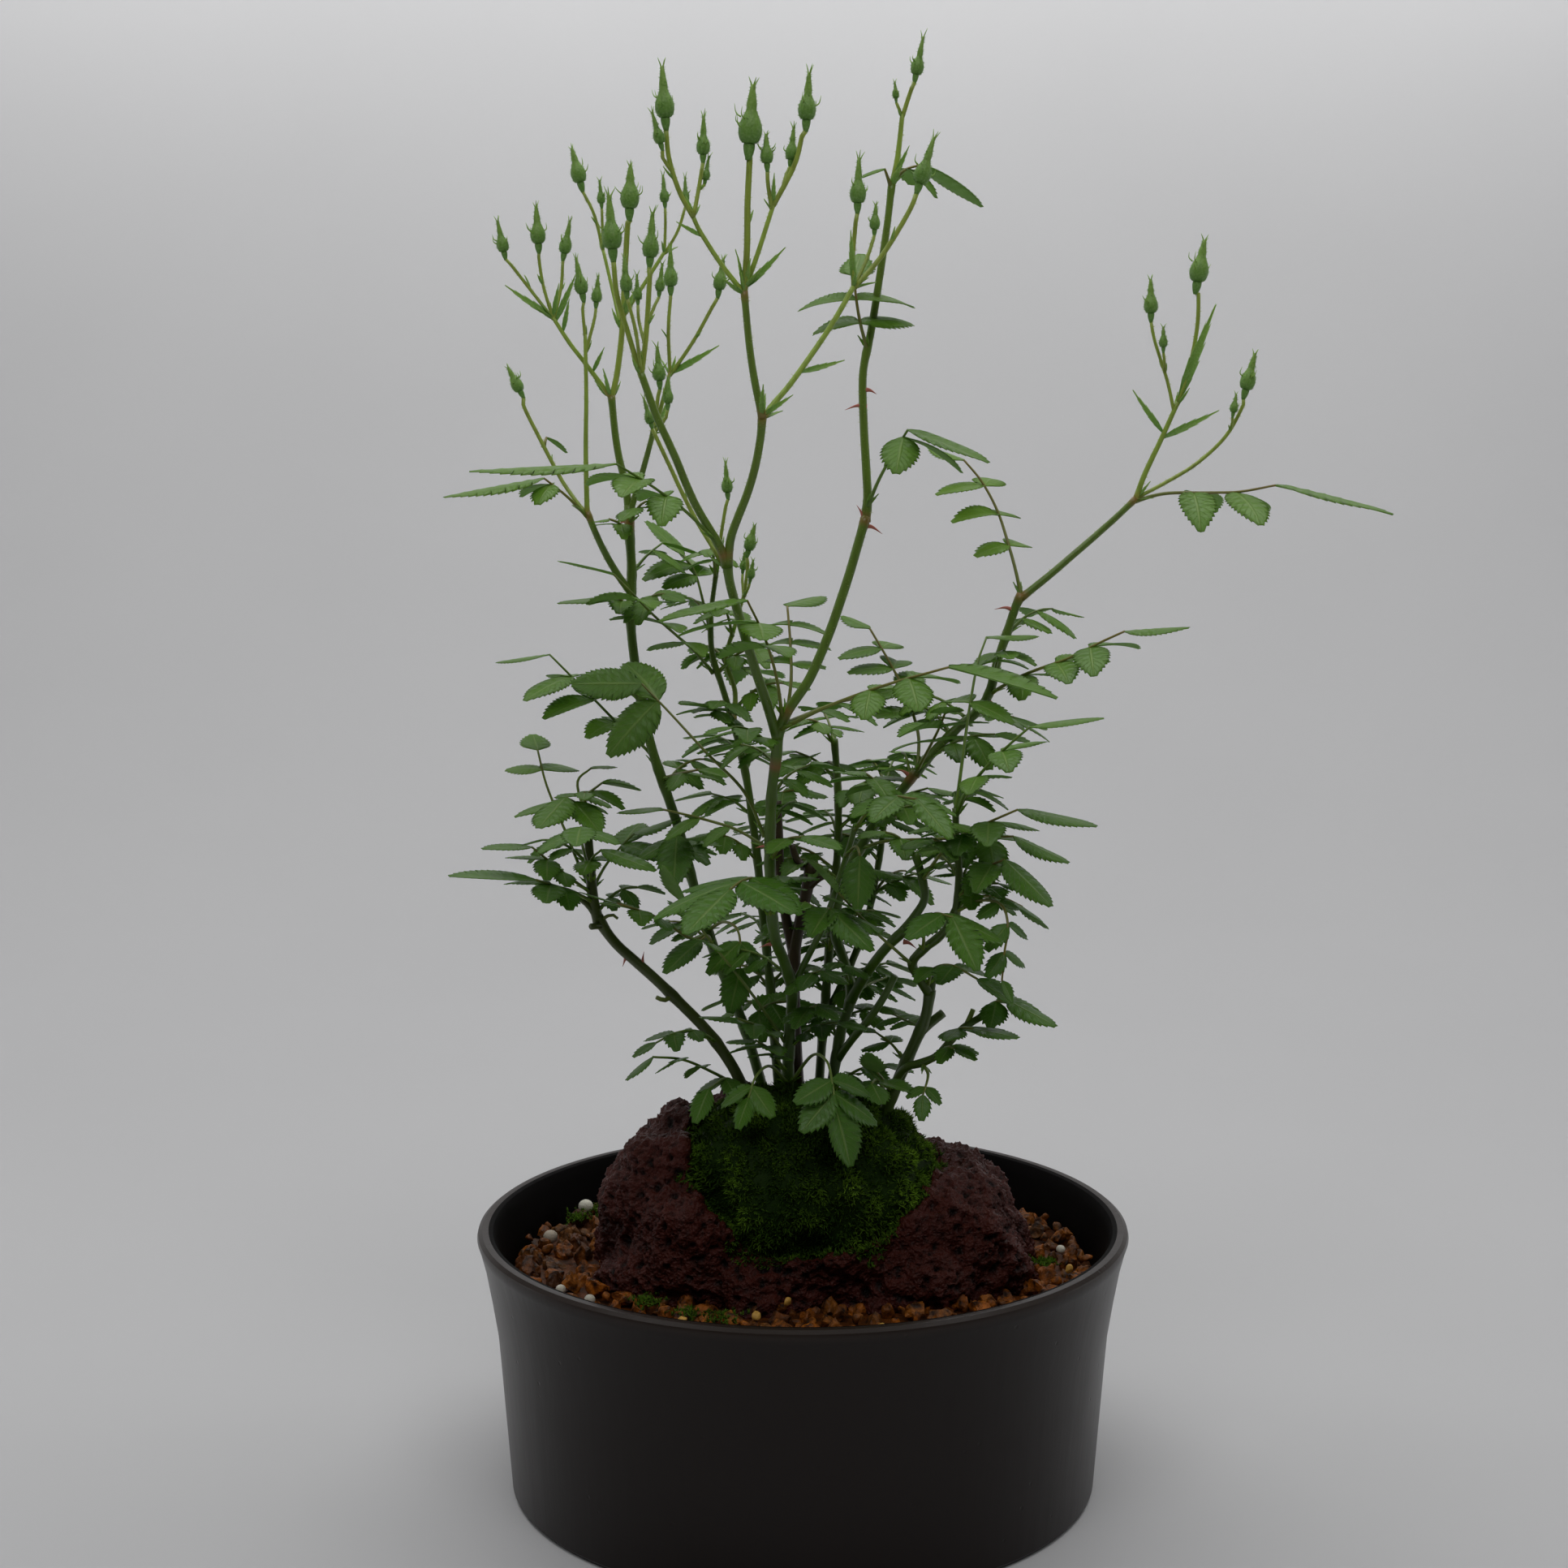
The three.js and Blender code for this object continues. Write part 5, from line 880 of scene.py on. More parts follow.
# The low left cane is old and dark, with green shoots above its cut end.
low_left_cane = {
  "stems": [
    [1.6, 1.39, [-14, 102, -2], [-17.5, 113, -2], [-22, 121, -2], [-27.3, 128, -2],
      [-34, 135, -2], [-40, 141, -1.5], [-46, 146.5, -1], [-50.7, 150.8, 0], [-54, 155, 1],
      [-56.2, 159, 1]],
    [1.39, 1.13, [-56, 157.5, 1], [-57.4, 164, 1.5], [-58, 171, 2], [-58.4, 179, 3],
      [-59.3, 188.3, 4]],
    [0.9, 0.8, [-56.3, 158.5, 1], [-58.6, 162, 1], [-61.9, 164.7, 2]],
    [0.9, 0.9, [-55, 156.5, 1], [-58, 156.2, -3]],
    [0.7, 0.6, [-36, 137, -2], [-38, 135.6, -4], [-40.3, 136.4, -5]],
    [0.55, 0.4, [-55.8, 157.8, 1], [-52.5, 159.5, 0], [-50.7, 158.4, 0]],
  ],
  "buds": [],
  "leaves": [
    [2, 10, 0.5, 0, [-57.8, 165.5, 1.6], [-64, 170, -4], [-70, 175, -9], [-74, 178.3, -12],
      [-88, 178.4, -19]],
    [2, 12, 0.55, 0, [-57.4, 163, 1.3], [-63, 166, -6], [-68, 167.6, -12], [-73, 169.2, -17],
      [-97.7, 171.5, -25]],
    [1, 11, 0.87, 0, [-58, 167, 2], [-61, 173, 8], [-64.5, 182, 13], [-69.6, 195, 17],
      [-72, 205, 20], [-73.3, 210, 32]],
    [1, 14, 0.75, 0, [-58.7, 183, 3.5], [-61, 189.5, -3], [-64.5, 192, -9], [-72.5, 184, -26]],
    [1, 9, 0.7, 0, [-59, 186, 3.7], [-59.3, 191.8, 8], [-54.5, 196, 11], [-43.6, 194.3, 14]],
    [0, 10, 0.6, 0, [-59, 186.5, 3.7], [-61.3, 196, 12], [-57.5, 200, 16], [-50.5, 200.6, 20]],
    [1, 12, 0.84, 0, [-58.2, 171, 2], [-60, 178, -12], [-60.4, 182, -25], [-60.5, 183.8, -34],
      [-62, 179, -48]],
    [1, 10, 0.6, 0, [-58, 168, 2], [-57.8, 174.5, -6], [-55, 177.5, -12], [-39.4, 172.2, -18]],
    [1, 13, 0.8, 0, [-57.8, 166, 1.8], [-54, 173, 8], [-49.5, 178.5, 12], [-46, 182, 14],
      [-32.8, 187.2, 12]],
    [2, 7, 0.55, 0.5, [-16.5, 110.5, -2.5], [-24, 114.8, -11], [-33, 118.8, -18],
      [-41.5, 119.6, -23], [-49.5, 113.2, -27]],
    [2, 8, 0.5, 0.2, [-24, 123.8, -2.5], [-29, 126.8, -10], [-35, 126.4, -15],
      [-40.5, 123.6, -19], [-47.2, 119.6, -22]],
    [1, 8, 0.6, 0, [-16.3, 110, -2.5], [-21, 113.5, -14], [-26, 110.5, -24], [-30.3, 100.5, -29]],
  ],
  "climbing": [[1, 160, 186, 3, 8]],
  "thorns": [
    [[-44.2, 145, -1.2], [-43.6, 149.2, -1.4]],
    [[-48, 148.5, -0.6], [-49.5, 145, -1]],
  ],
}

# The back left cane rises behind the front cane and ends in two small sprays of buds.
back_left_cane = {
  "stems": [
    [1.35, 1.06, [-6, 102, 16], [-7.5, 120, 18], [-9, 140, 21], [-11, 160, 24], [-13, 180, 27],
      [-15.5, 198, 30], [-18.8, 213, 31]],
    [0.99, 0.6, [-18.7, 211.5, 31], [-21.8, 222, 31], [-24.5, 231, 31], [-24.8, 241, 31],
      [-23.6, 251, 31], [-22.4, 259, 31]],
    [0.8, 0.5, [-18.8, 212, 31], [-18.4, 221, 33], [-20.8, 229.5, 34], [-18.4, 238.5, 35],
      [-15.7, 247.5, 35]],
  ],
  "buds": [
    [3.0, 0.45, [-22.5, 258, 31], [-21.8, 264, 31], [-20.5, 271.5, 31], [-20.3, 276.3, 31],
      [-20.8, 283.8, 31]],
    [3.2, 0.45, [-15.8, 246.5, 35], [-14.8, 255, 35], [-14.1, 261, 35], [-12.7, 266.6, 35]],
    [2.0, 0.35, [-15.9, 246, 35], [-16.3, 251, 37], [-16, 255, 37.5], [-15.6, 259.3, 37.5]],
    [2.2, 0.35, [-15.8, 246.5, 35], [-14.2, 250, 33], [-13.9, 252.8, 32.5], [-13.2, 257.3, 32]],
  ],
  "leaves": [
    [3, 12, 0.3, 0, [-24.4, 226, 31], [-29, 231.5, 24], [-34, 236, 16], [-40, 241.3, 6],
      [-46, 247.5, -3], [-51, 252.6, -9], [-66, 257, -17]],
    [2, 12, 0.72, 0, [-24.8, 236, 31], [-26.6, 244, 34], [-29, 253, 37], [-32, 257.5, 39],
      [-42.3, 267.6, 42]],
    [1, 10, 0.6, 0, [-24.2, 228, 31], [-24, 231, 38], [-24, 232, 43], [-23, 232.6, 54]],
    [2, 9, 0.4, 0, [-18.6, 211.5, 31], [-22, 215, 24], [-25.5, 216.8, 18], [-33.5, 218, 10]],
    [1, 10, 0.55, 0, [-20.6, 228, 34], [-17, 227.5, 40], [-13, 226.5, 46], [-5, 225, 54]],
    [2, 10, 0.45, 0, [-16.5, 203, 30.5], [-20, 207, 38], [-24, 209, 44], [-32, 208.6, 54]],
    [2, 10, 0.45, 0, [-14, 187, 28.3], [-19, 191, 33], [-25, 193, 37], [-35, 191.5, 43]],
    [2, 10, 0.45, 0, [-12.8, 178, 26.7], [-11, 183, 35], [-9, 186, 43], [-6, 186, 56]],
    [2, 9, 0.45, 0, [-10.3, 153, 23], [-13, 158, 31], [-17, 160, 39], [-23, 158, 50]],
    [2, 9, 0.45, 0, [-9, 140, 21], [-5, 144, 28], [-1, 146, 36], [4, 144, 46]],
    [1, 8, 0.5, 0, [-8.4, 132, 20], [-14, 135, 25], [-20, 136, 30], [-28, 133, 35]],
  ],
  "climbing": [[0, 126, 211, 8, 9], [1, 226, 252, 3, 8], [2, 216, 236, 3, 8]],
  "thorns": [],
}

# The right cane leans out to the far right, where it ends in a spray of buds.
right_cane = {
  "stems": [
    [1.52, 1.3, [7, 102, 0], [8.5, 115, 1], [10.5, 127, 2], [13.3, 137, 3], [11.5, 146, 6],
      [9, 154, 8], [9.5, 163, 9], [12, 171, 10], [15.2, 177, 11], [19, 183.5, 12],
      [24, 190, 13], [29.3, 197, 14], [31, 199.2, 14.3]],
    [1.28, 1.19, [30.3, 198, 14.1], [35.5, 204.5, 15], [42, 211, 16], [47.5, 215.8, 17],
      [50.6, 221, 17], [52.5, 229, 17], [54.8, 236, 17], [57, 243, 17], [58.8, 247.3, 17]],
    [1.06, 0.85, [58.5, 246, 17], [66, 252, 18], [72, 257.2, 19], [78, 262.4, 20],
      [84, 267.8, 20], [89.2, 272.8, 20]],
    [0.8, 0.65, [88.9, 272, 20], [91.3, 279, 20], [95.4, 288, 20], [99.9, 298.3, 20]],
    [1.47, 1.3, [12.9, 135, 3], [16.5, 141.5, -2], [21, 148, -7], [25, 152.5, -10],
      [28.3, 155.5, -12]],
    [1.13, 0.99, [9.6, 119, 1.3], [13.5, 124.5, -3.5], [18, 130, -6.5], [22, 136, -8],
      [25.3, 142.5, -9]],
    [1.19, 1.06, [26, 153.5, -10.6], [30.5, 159, -12.5], [33.3, 164, -13.5], [32.5, 170, -13.5],
      [30.5, 177, -12.5]],
  ],
  "buds": [
    [5.0, 0.5, [99.7, 297.5, 20], [102.7, 307.1, 20], [104.6, 318, 20], [104.7, 327, 20],
      [104.9, 333, 20], [106.3, 342, 20]],
    [3.7, 0.4, [98.9, 295.6, 20], [96.9, 304, 20.2], [93.5, 314, 20.8], [92.2, 324, 21],
      [92, 332, 21]],
    [2.3, 0.35, [96.3, 306, 20.3], [95.9, 311, 18.5], [95.7, 314.2, 18], [95.6, 319, 18]],
    [4.1, 0.45, [89.4, 273, 20], [97, 277, 21.5], [105.4, 282.2, 23], [113, 289.5, 23],
      [117.5, 298, 23], [118.5, 304.2, 23], [120.5, 312.6, 23]],
    [2.2, 0.35, [114, 290.8, 23], [114.8, 294, 21], [114.9, 297, 20.5], [115.5, 301.3, 20.5]],
  ],
  "leaves": [
    [2, 17, 0.42, 0, [89, 272.1, 20], [97, 274.1, 18], [108, 274.3, 15.5], [117, 274.6, 13.5],
      [126.5, 276.3, 11.5], [160, 269.7, 5]],
    [3, 12, 0.36, 0, [58.8, 246, 17], [57.3, 253, 19], [55.3, 260, 22], [52.3, 269, 26],
      [48, 277, 29], [43, 283, 31], [33.5, 287, 38]],
    [3, 14, 0.3, 0.1, [50.7, 220.2, 17], [54.5, 222.6, 12], [60, 225.5, 8], [66, 227.8, 4],
      [72, 230, 1], [80.5, 234.3, -3], [86.8, 237.2, -6], [104.8, 239.2, -12]],
    [2, 13, 0.55, 0, [30.8, 198.8, 14], [33.5, 204, 8], [36.5, 210, 2], [38.5, 215, -3],
      [39.5, 217.5, -16]],
    [4, 11, 0.4, 0, [31, 199, 14.2], [31.4, 208, 18], [29.6, 215.5, 21], [27, 222, 23],
      [23, 229.5, 25], [18, 238, 28], [10.2, 242, 34]],
    [3, 12, 0.55, 0, [15.8, 177.8, 11.2], [22, 179.8, 5], [30, 180.3, -1], [40, 180.6, -7],
      [57.5, 181.2, -15], [73.7, 174.4, -20]],
    [2, 13, 0.55, 0, [32.6, 169, -13.6], [38, 176.8, -21], [44.5, 182.3, -27],
      [51, 185.3, -32], [58.5, 188.6, -36], [81.3, 184.9, -42]],
    [2, 11, 0.45, 0, [46.5, 215, 16.8], [52, 214.5, 24], [57, 214, 31], [66, 211, 41]],
    [2, 12, 0.45, 0, [40, 209, 15.8], [36, 214.5, 24], [32, 217, 32], [26, 216, 45]],
    [2, 11, 0.45, 0, [24, 190, 13], [20, 196, 6], [16.5, 199, 0], [8, 199.5, -9]],
    [2, 11, 0.45, 0, [19, 183.5, 12], [24, 186, 20], [30, 187.5, 28], [40, 185, 39]],
    [1, 10, 0.6, 0, [10.2, 165, 9.2], [15, 170, 3], [19, 172, -2], [27, 170, -9]],
    [1, 10, 0.6, 0, [9.2, 156, 8.2], [4, 161, 2], [0.5, 163, -4], [-2, 161, -13]],
    [2, 10, 0.5, 0, [12.8, 137, 3], [18, 140, 11], [23, 142, 18], [31, 140, 28]],
    [1, 9, 0.5, 0, [30.6, 176, -12.6], [26, 181, -16], [22, 182.5, -21], [15, 181, -28]],
  ],
  "climbing": [[0, 110, 197, 7, 9], [1, 202, 236, 4, 10]],
  "thorns": [
    [[29, 197.8, 14], [25.2, 199.6, 13.6]],
    [[56.9, 242.8, 17], [51.6, 243.1, 17]],
    [[50, 218.5, 17], [53.2, 214.2, 17]],
    [[27.6, 152, -11], [31.2, 150, -12]],
  ],
}

# The right front cane is a pruned stump with green shoots and many small leaves.
right_front_cane = {
  "stems": [
    [1.75, 1.47, [22, 102, -4], [25.5, 111, -5], [28.2, 117.5, -6], [31.2, 124.5, -7],
      [33.8, 131, -8], [35, 138.5, -9]],
    [1.06, 0.99, [35, 137, -9], [35.8, 142.3, -9]],
    [1.3, 1.25, [32.6, 127, -7.5], [35.5, 129.5, -6.2], [38.6, 132, -5]],
    [1.3, 1.06, [34.8, 137.5, -9], [31.8, 142, -11], [30, 146, -13.5], [33, 149.8, -16],
      [38.5, 154.5, -18.5], [42, 161, -20]],
    [1.06, 0.8, [41.9, 159.5, -20], [42.7, 170, -20], [42, 179, -19], [41.5, 189, -18]],
    [1.19, 0.9, [24, 109.5, -5], [28, 116.2, -10], [33, 118, -12], [37.5, 120.3, -14],
      [41, 124.5, -15], [44.5, 128, -16], [49.7, 131.3, -17]],
    [0.75, 0.7, [45, 128.3, -16], [46.9, 133, -16]],
  ],
  "buds": [],
  "leaves": [
    [2, 14, 0.6, 0, [41.5, 188, -18], [42.8, 198, -16], [44, 208, -13], [45.5, 219, -9],
      [47.3, 229, -5], [49.5, 235.5, 0], [63.8, 236.8, 8]],
    [2, 13, 0.42, 0, [41.6, 186, -18], [44.5, 193.5, -22], [50.3, 200.8, -27], [56, 206.4, -31],
      [61.5, 211.2, -34], [82.3, 214.8, -36]],
    [2, 12, 0.6, 0, [42.4, 164, -20], [46.5, 169.5, -25], [51, 173, -30], [55, 174.8, -34],
      [69, 162, -45]],
    [2, 10, 0.5, 0, [42.1, 161.5, -20], [48, 164.5, -15], [55, 164, -10], [60, 161.8, -6],
      [67.4, 156, -1]],
    [3, 7.5, 0.45, 0, [42, 160.5, -20], [49, 163.5, -28], [54.5, 162, -35], [56.2, 156, -39],
      [55.3, 149, -41], [54.7, 141, -42], [57.8, 135, -43]],
    [1, 14, 0.86, 0, [33, 149.5, -16], [33.5, 156, -28], [36, 159.8, -39], [41, 158.8, -49],
      [48.5, 143.5, -58]],
    [2, 9, 0.6, 0, [30, 145.5, -13.5], [25.5, 149.6, -20], [20, 154.6, -24],
      [9.5, 165.8, -30], [1, 176, -33]],
    [2, 10, 0.35, 0, [34.2, 139.5, -9.4], [36, 144.4, -16], [41, 145.3, -23],
      [48, 141.5, -30], [58, 134.8, -36]],
    [1, 11, 0.7, 0, [49.6, 131, -17], [51.8, 134.6, -21], [56, 135.8, -25], [70.6, 128.6, -33]],
    [1, 10, 0.6, 0, [41, 124.2, -15], [43, 127.6, -23], [47, 127.6, -29], [60, 125.6, -36]],
    [1, 7, 0.6, 0, [39.2, 122, -14.6], [40.4, 122.4, -20], [42, 122, -24], [48, 118.8, -29]],
    [1, 5.5, 0.8, 0, [33, 117.6, -12], [34.6, 114.5, -18], [33.2, 108.8, -24],
      [32.8, 101.2, -28]],
    [0, 8, 0.6, 0, [24.5, 110, -5.5], [22, 113.5, -13], [20.3, 115.4, -17],
      [18.2, 121.6, -24]],
    [2, 6.5, 0.4, 0, [32.4, 128.2, -7.5], [28.5, 129.8, -1], [25, 131.6, 4], [20.5, 134.5, 9]],
    [1, 7, 0.6, 0, [28.4, 118, -6], [24.5, 123.2, -1], [20, 126.6, 3], [14.5, 128.5, 7]],
    [1, 10, 0.55, 0, [23.6, 108.5, -5], [20.5, 113, -16], [19, 112, -24], [22, 106.5, -34]],
    [2, 9, 0.4, 0, [42.6, 167, -20], [44.5, 172, -13], [46, 174.4, -7], [48, 173.8, 4]],
    [2, 9, 0.4, 0, [42.4, 175, -19.4], [39, 179, -26], [35, 180.6, -32], [27, 178, -40]],
    [1, 9, 0.5, 0, [36.5, 152.8, -17.6], [39, 155, -9], [41, 156, -2], [45, 154, 8]],
  ],
  "climbing": [[4, 161, 187, 4, 9]],
  "thorns": [],
}

# The back right cane fills the plant behind the old wood.
back_right_cane = {
  "stems": [
    [1.39, 0.99, [4, 102, 14], [5, 120, 18], [6.5, 140, 24], [8, 160, 29], [9.5, 178, 33],
      [9.5, 194, 36], [8.5, 208, 38]],
    [1.13, 0.8, [5.7, 130, 21], [12, 143, 28], [17, 156, 34], [20, 170, 38], [22, 184, 41],
      [22.5, 196, 43]],
  ],
  "buds": [],
  "leaves": [
    [2, 11, 0.42, 0, [8.6, 206.5, 38], [7, 212.5, 44], [5.5, 215.5, 50], [2, 216.5, 62]],
    [2, 11, 0.42, 0, [9.3, 197, 36.5], [3.5, 202, 40], [-2, 204.5, 42], [-12, 204, 44]],
    [2, 11, 0.42, 0, [9.6, 190, 35.5], [15, 195, 31], [20, 197.5, 26], [29, 197, 20]],
    [2, 11, 0.42, 0, [9.5, 181, 33.5], [8, 186, 42], [6, 188.5, 50], [2, 187.5, 62]],
    [2, 10, 0.42, 0, [8.8, 169, 31], [3, 173, 36], [-2, 175, 41], [-10, 173.5, 48]],
    [2, 10, 0.42, 0, [7.2, 150, 26.5], [3, 154.5, 34], [0, 156, 42], [-5, 153.5, 54]],
    [2, 11, 0.42, 0, [22.5, 195, 43], [24, 201, 49], [26, 204, 55], [29, 205, 67]],
    [2, 11, 0.42, 0, [22.2, 188, 42], [28, 192.5, 40], [34, 194.5, 38], [44, 193, 36]],
    [2, 10, 0.42, 0, [21, 177, 39.5], [17, 181.5, 47], [14, 183.5, 54], [10, 182, 66]],
    [2, 10, 0.42, 0, [19, 165, 36.5], [25, 169, 38], [31, 171, 40], [41, 168.5, 43]],
    [2, 10, 0.42, 0, [15.5, 151, 32], [15, 155.5, 41], [15, 157, 49], [16, 154.5, 61]],
    [2, 9, 0.42, 0, [11, 141, 27], [17, 144.5, 30], [23, 146, 34], [32, 143, 40]],
  ],
  "climbing": [[0, 126, 206, 8, 9], [1, 134, 195, 7, 9]],
  "thorns": [],
}


def spread_at(depth):
    return 1 + depth / EYE_DISTANCE


def placed(spot):
    """A place read across and up at the pot's axis, set back on its line of sight by its depth."""
    across, up, depth = spot
    spread = spread_at(depth)
    return np.array([across * spread, depth, EYE_HEIGHT + (up - EYE_HEIGHT) * spread])


def smooth_line(points, pace):
    """Points at an even pace on one smooth line through the given points."""
    points = np.asarray(points, float)
    if len(points) == 2:
        dense = points[0] + np.linspace(0, 1, 12)[:, None] * (points[1] - points[0])
    else:
        ends = np.concatenate([[2 * points[0] - points[1]], points, [2 * points[-1] - points[-2]]])
        t = np.linspace(0, 1, 16, endpoint=False)[:, None]
        parts = []
        for a, b, c, d in zip(ends[:-3], ends[1:-2], ends[2:-1], ends[3:]):
            parts.append(
                0.5 * (2 * b + (c - a) * t + (2 * a - 5 * b + 4 * c - d) * t * t
                       + (3 * b - a - 3 * c + d) * t * t * t)
            )
        dense = np.concatenate([*parts, points[-1:]])
    run = np.concatenate([[0], np.cumsum(np.linalg.norm(np.diff(dense, axis=0), axis=1))])
    count = max(3, int(round(run[-1] / pace)) + 1) if pace > 0 else 60
    want = np.linspace(0, run[-1], count)
    return np.stack([np.interp(want, run, dense[:, i]) for i in range(3)], 1), run[-1]


tube_faces = {}


def tube(pile, line, radii, sides, finish, tints, wave=0):
    """A round stem along a line, with a radius and a tint at each of its points."""
    count = len(line)
    along = np.gradient(line, axis=0)
    along /= np.linalg.norm(along, axis=1)[:, None]
    side = np.cross(along[0], (0.3, 0.9, 0.1))
    rings = []
    turns = np.arange(sides) * 2 * math.pi / sides
    for i in range(count):
        side = side - along[i] * (side @ along[i])
        side /= np.linalg.norm(side)
        other = np.cross(along[i], side)
        radius = radii[i] * (1 + wave * np.cos(5 * turns)) if wave else np.full(sides, radii[i])
        rings.append(
            line[i] + (np.cos(turns) * radius)[:, None] * side + (np.sin(turns) * radius)[:, None] * other
        )
    points = np.concatenate([*rings, line[:1], line[-1:]])
    key = (count, sides)
    if key not in tube_faces:
        k = np.arange(sides)
        after = (k + 1) % sides
        quads = np.concatenate([
            np.stack([i * sides + k, i * sides + after, (i + 1) * sides + after, (i + 1) * sides + k], 1)
            for i in range(count - 1)
        ])
        last = (count - 1) * sides
        ends = np.concatenate([
            np.stack([after, k, np.full(sides, last + sides)], 1),
            np.stack([last + k, last + after, np.full(sides, last + sides + 1)], 1),
        ])
        tube_faces[key] = (quads, ends)
    quads, ends = tube_faces[key]
    tints = np.asarray(tints, float)
    if tints.ndim == 1:
        tints = np.tile(tints, (count, 1))
    spread = np.concatenate([np.repeat(tints, sides, 0), tints[:1], tints[-1:]])
    pile.add(points, [(quads, finish, True), (ends, finish, True)], spread)


GOLDEN_ANGLE = 2.4
LEAF_TILT = 0.16
FEWEST_LEAF_TEETH = 6
RIB_THICKNESS = 0.22
BLADE_THICKNESS = 0.16
blade_faces = {}
ACROSS = np.array([-1, -0.55, 0, 0.55, 1])


def blade(
    pile, base, along, plane, length, half_width, teeth, bend, fold, tint, curl=0.0,
    finishes=(0, 1),
):
    """A thin leaflet with a toothed edge, folded on its midrib and bent down along its length."""
    wide = np.cross(plane, along)
    wide /= np.linalg.norm(wide)
    normal = np.cross(along, wide)
    shares = [0.0]
    outs = [0.06]
    ahead = [0.0]
    notch = min(0.12, 0.4 / half_width)
    for k in range(teeth):
        low = (k + 0.15) / (teeth + 0.3)
        high = (k + 0.9) / (teeth + 0.3)
        for share, grown, forward in ((low, 0.98 - notch, 0.0), (high, 0.98 + notch, 0.5)):
            shares.append(share)
            form = (max(share, 0.01) ** 0.55) * ((1 - share) ** 0.75) / 0.42
            if teeth < FEWEST_LEAF_TEETH:
                form *= 1.1 * (1 - share) ** 0.5
            outs.append(max(form * grown, 0.05))
            ahead.append(forward / (teeth + 0.3))
    shares.append(1.0)
    outs.append(0.03)
    ahead.append(0.0)
    shares, outs, ahead = np.array(shares), np.array(outs), np.array(ahead)
    u = ACROSS[None, :]
    s = shares[:, None] + ahead[:, None] * np.abs(u) ** 3
    s = np.minimum(s, 1.02)
    out = outs[:, None] * u * half_width
    quilt = 0.012 * np.cos(s * (teeth + 1) * math.pi) * (np.abs(u) == 0.55)
    rise = (
        fold * np.abs(out) - (bend * s * s) * length - curl * out * out / max(half_width, 0.1)
        + quilt * length * 0.4 - 0.02 * length * s
    )
    upper = (
        base + along * (s * length)[..., None] + wide * out[..., None] + normal * rise[..., None]
    )
    rib = (np.abs(u) == 0) * RIB_THICKNESS
    thick = BLADE_THICKNESS + rib * (1 - 0.7 * s) + 0 * out
    lower = upper - normal * thick[..., None]
    rows = len(shares)
    points = np.concatenate([upper.reshape(-1, 3), lower.reshape(-1, 3)])
    if rows not in blade_faces:
        r = np.arange(rows - 1)[:, None] * 5
        c = np.arange(4)[None, :]
        a = (r + c).ravel()
        top = np.stack([a, a + 5, a + 6, a + 1], 1)
        below = rows * 5
        bottom = top[:, ::-1] + below
        e = np.arange(rows - 1) * 5
        left = np.stack([e, e + below, e + 5 + below, e + 5], 1)
        right = np.stack([e + 4, e + 9, e + 9 + below, e + 4 + below], 1)
        c = np.arange(4)
        foot = np.stack([c, c + 1, c + 1 + below, c + below], 1)
        h = (rows - 1) * 5 + c
        head = np.stack([h, h + below, h + 1 + below, h + 1], 1)
        blade_faces[rows] = (top, bottom, np.concatenate([left, right, foot, head]))
    top, bottom, edge = blade_faces[rows]
    marks = np.zeros((rows, 5, 4))
    marks[..., 0] = s
    marks[..., 1] = np.abs(u)
    marks[..., 2] = tint[0]
    marks[..., 3] = tint[1]
    marks = np.concatenate([marks.reshape(-1, 4)] * 2)
    upper_finish, lower_finish = finishes
    face_lists = [
        (top[:, ::-1], upper_finish, True), (bottom[:, ::-1], lower_finish, True),
        (edge[:, ::-1], upper_finish, False),
    ]
    pile.add(points, face_lists, marks)


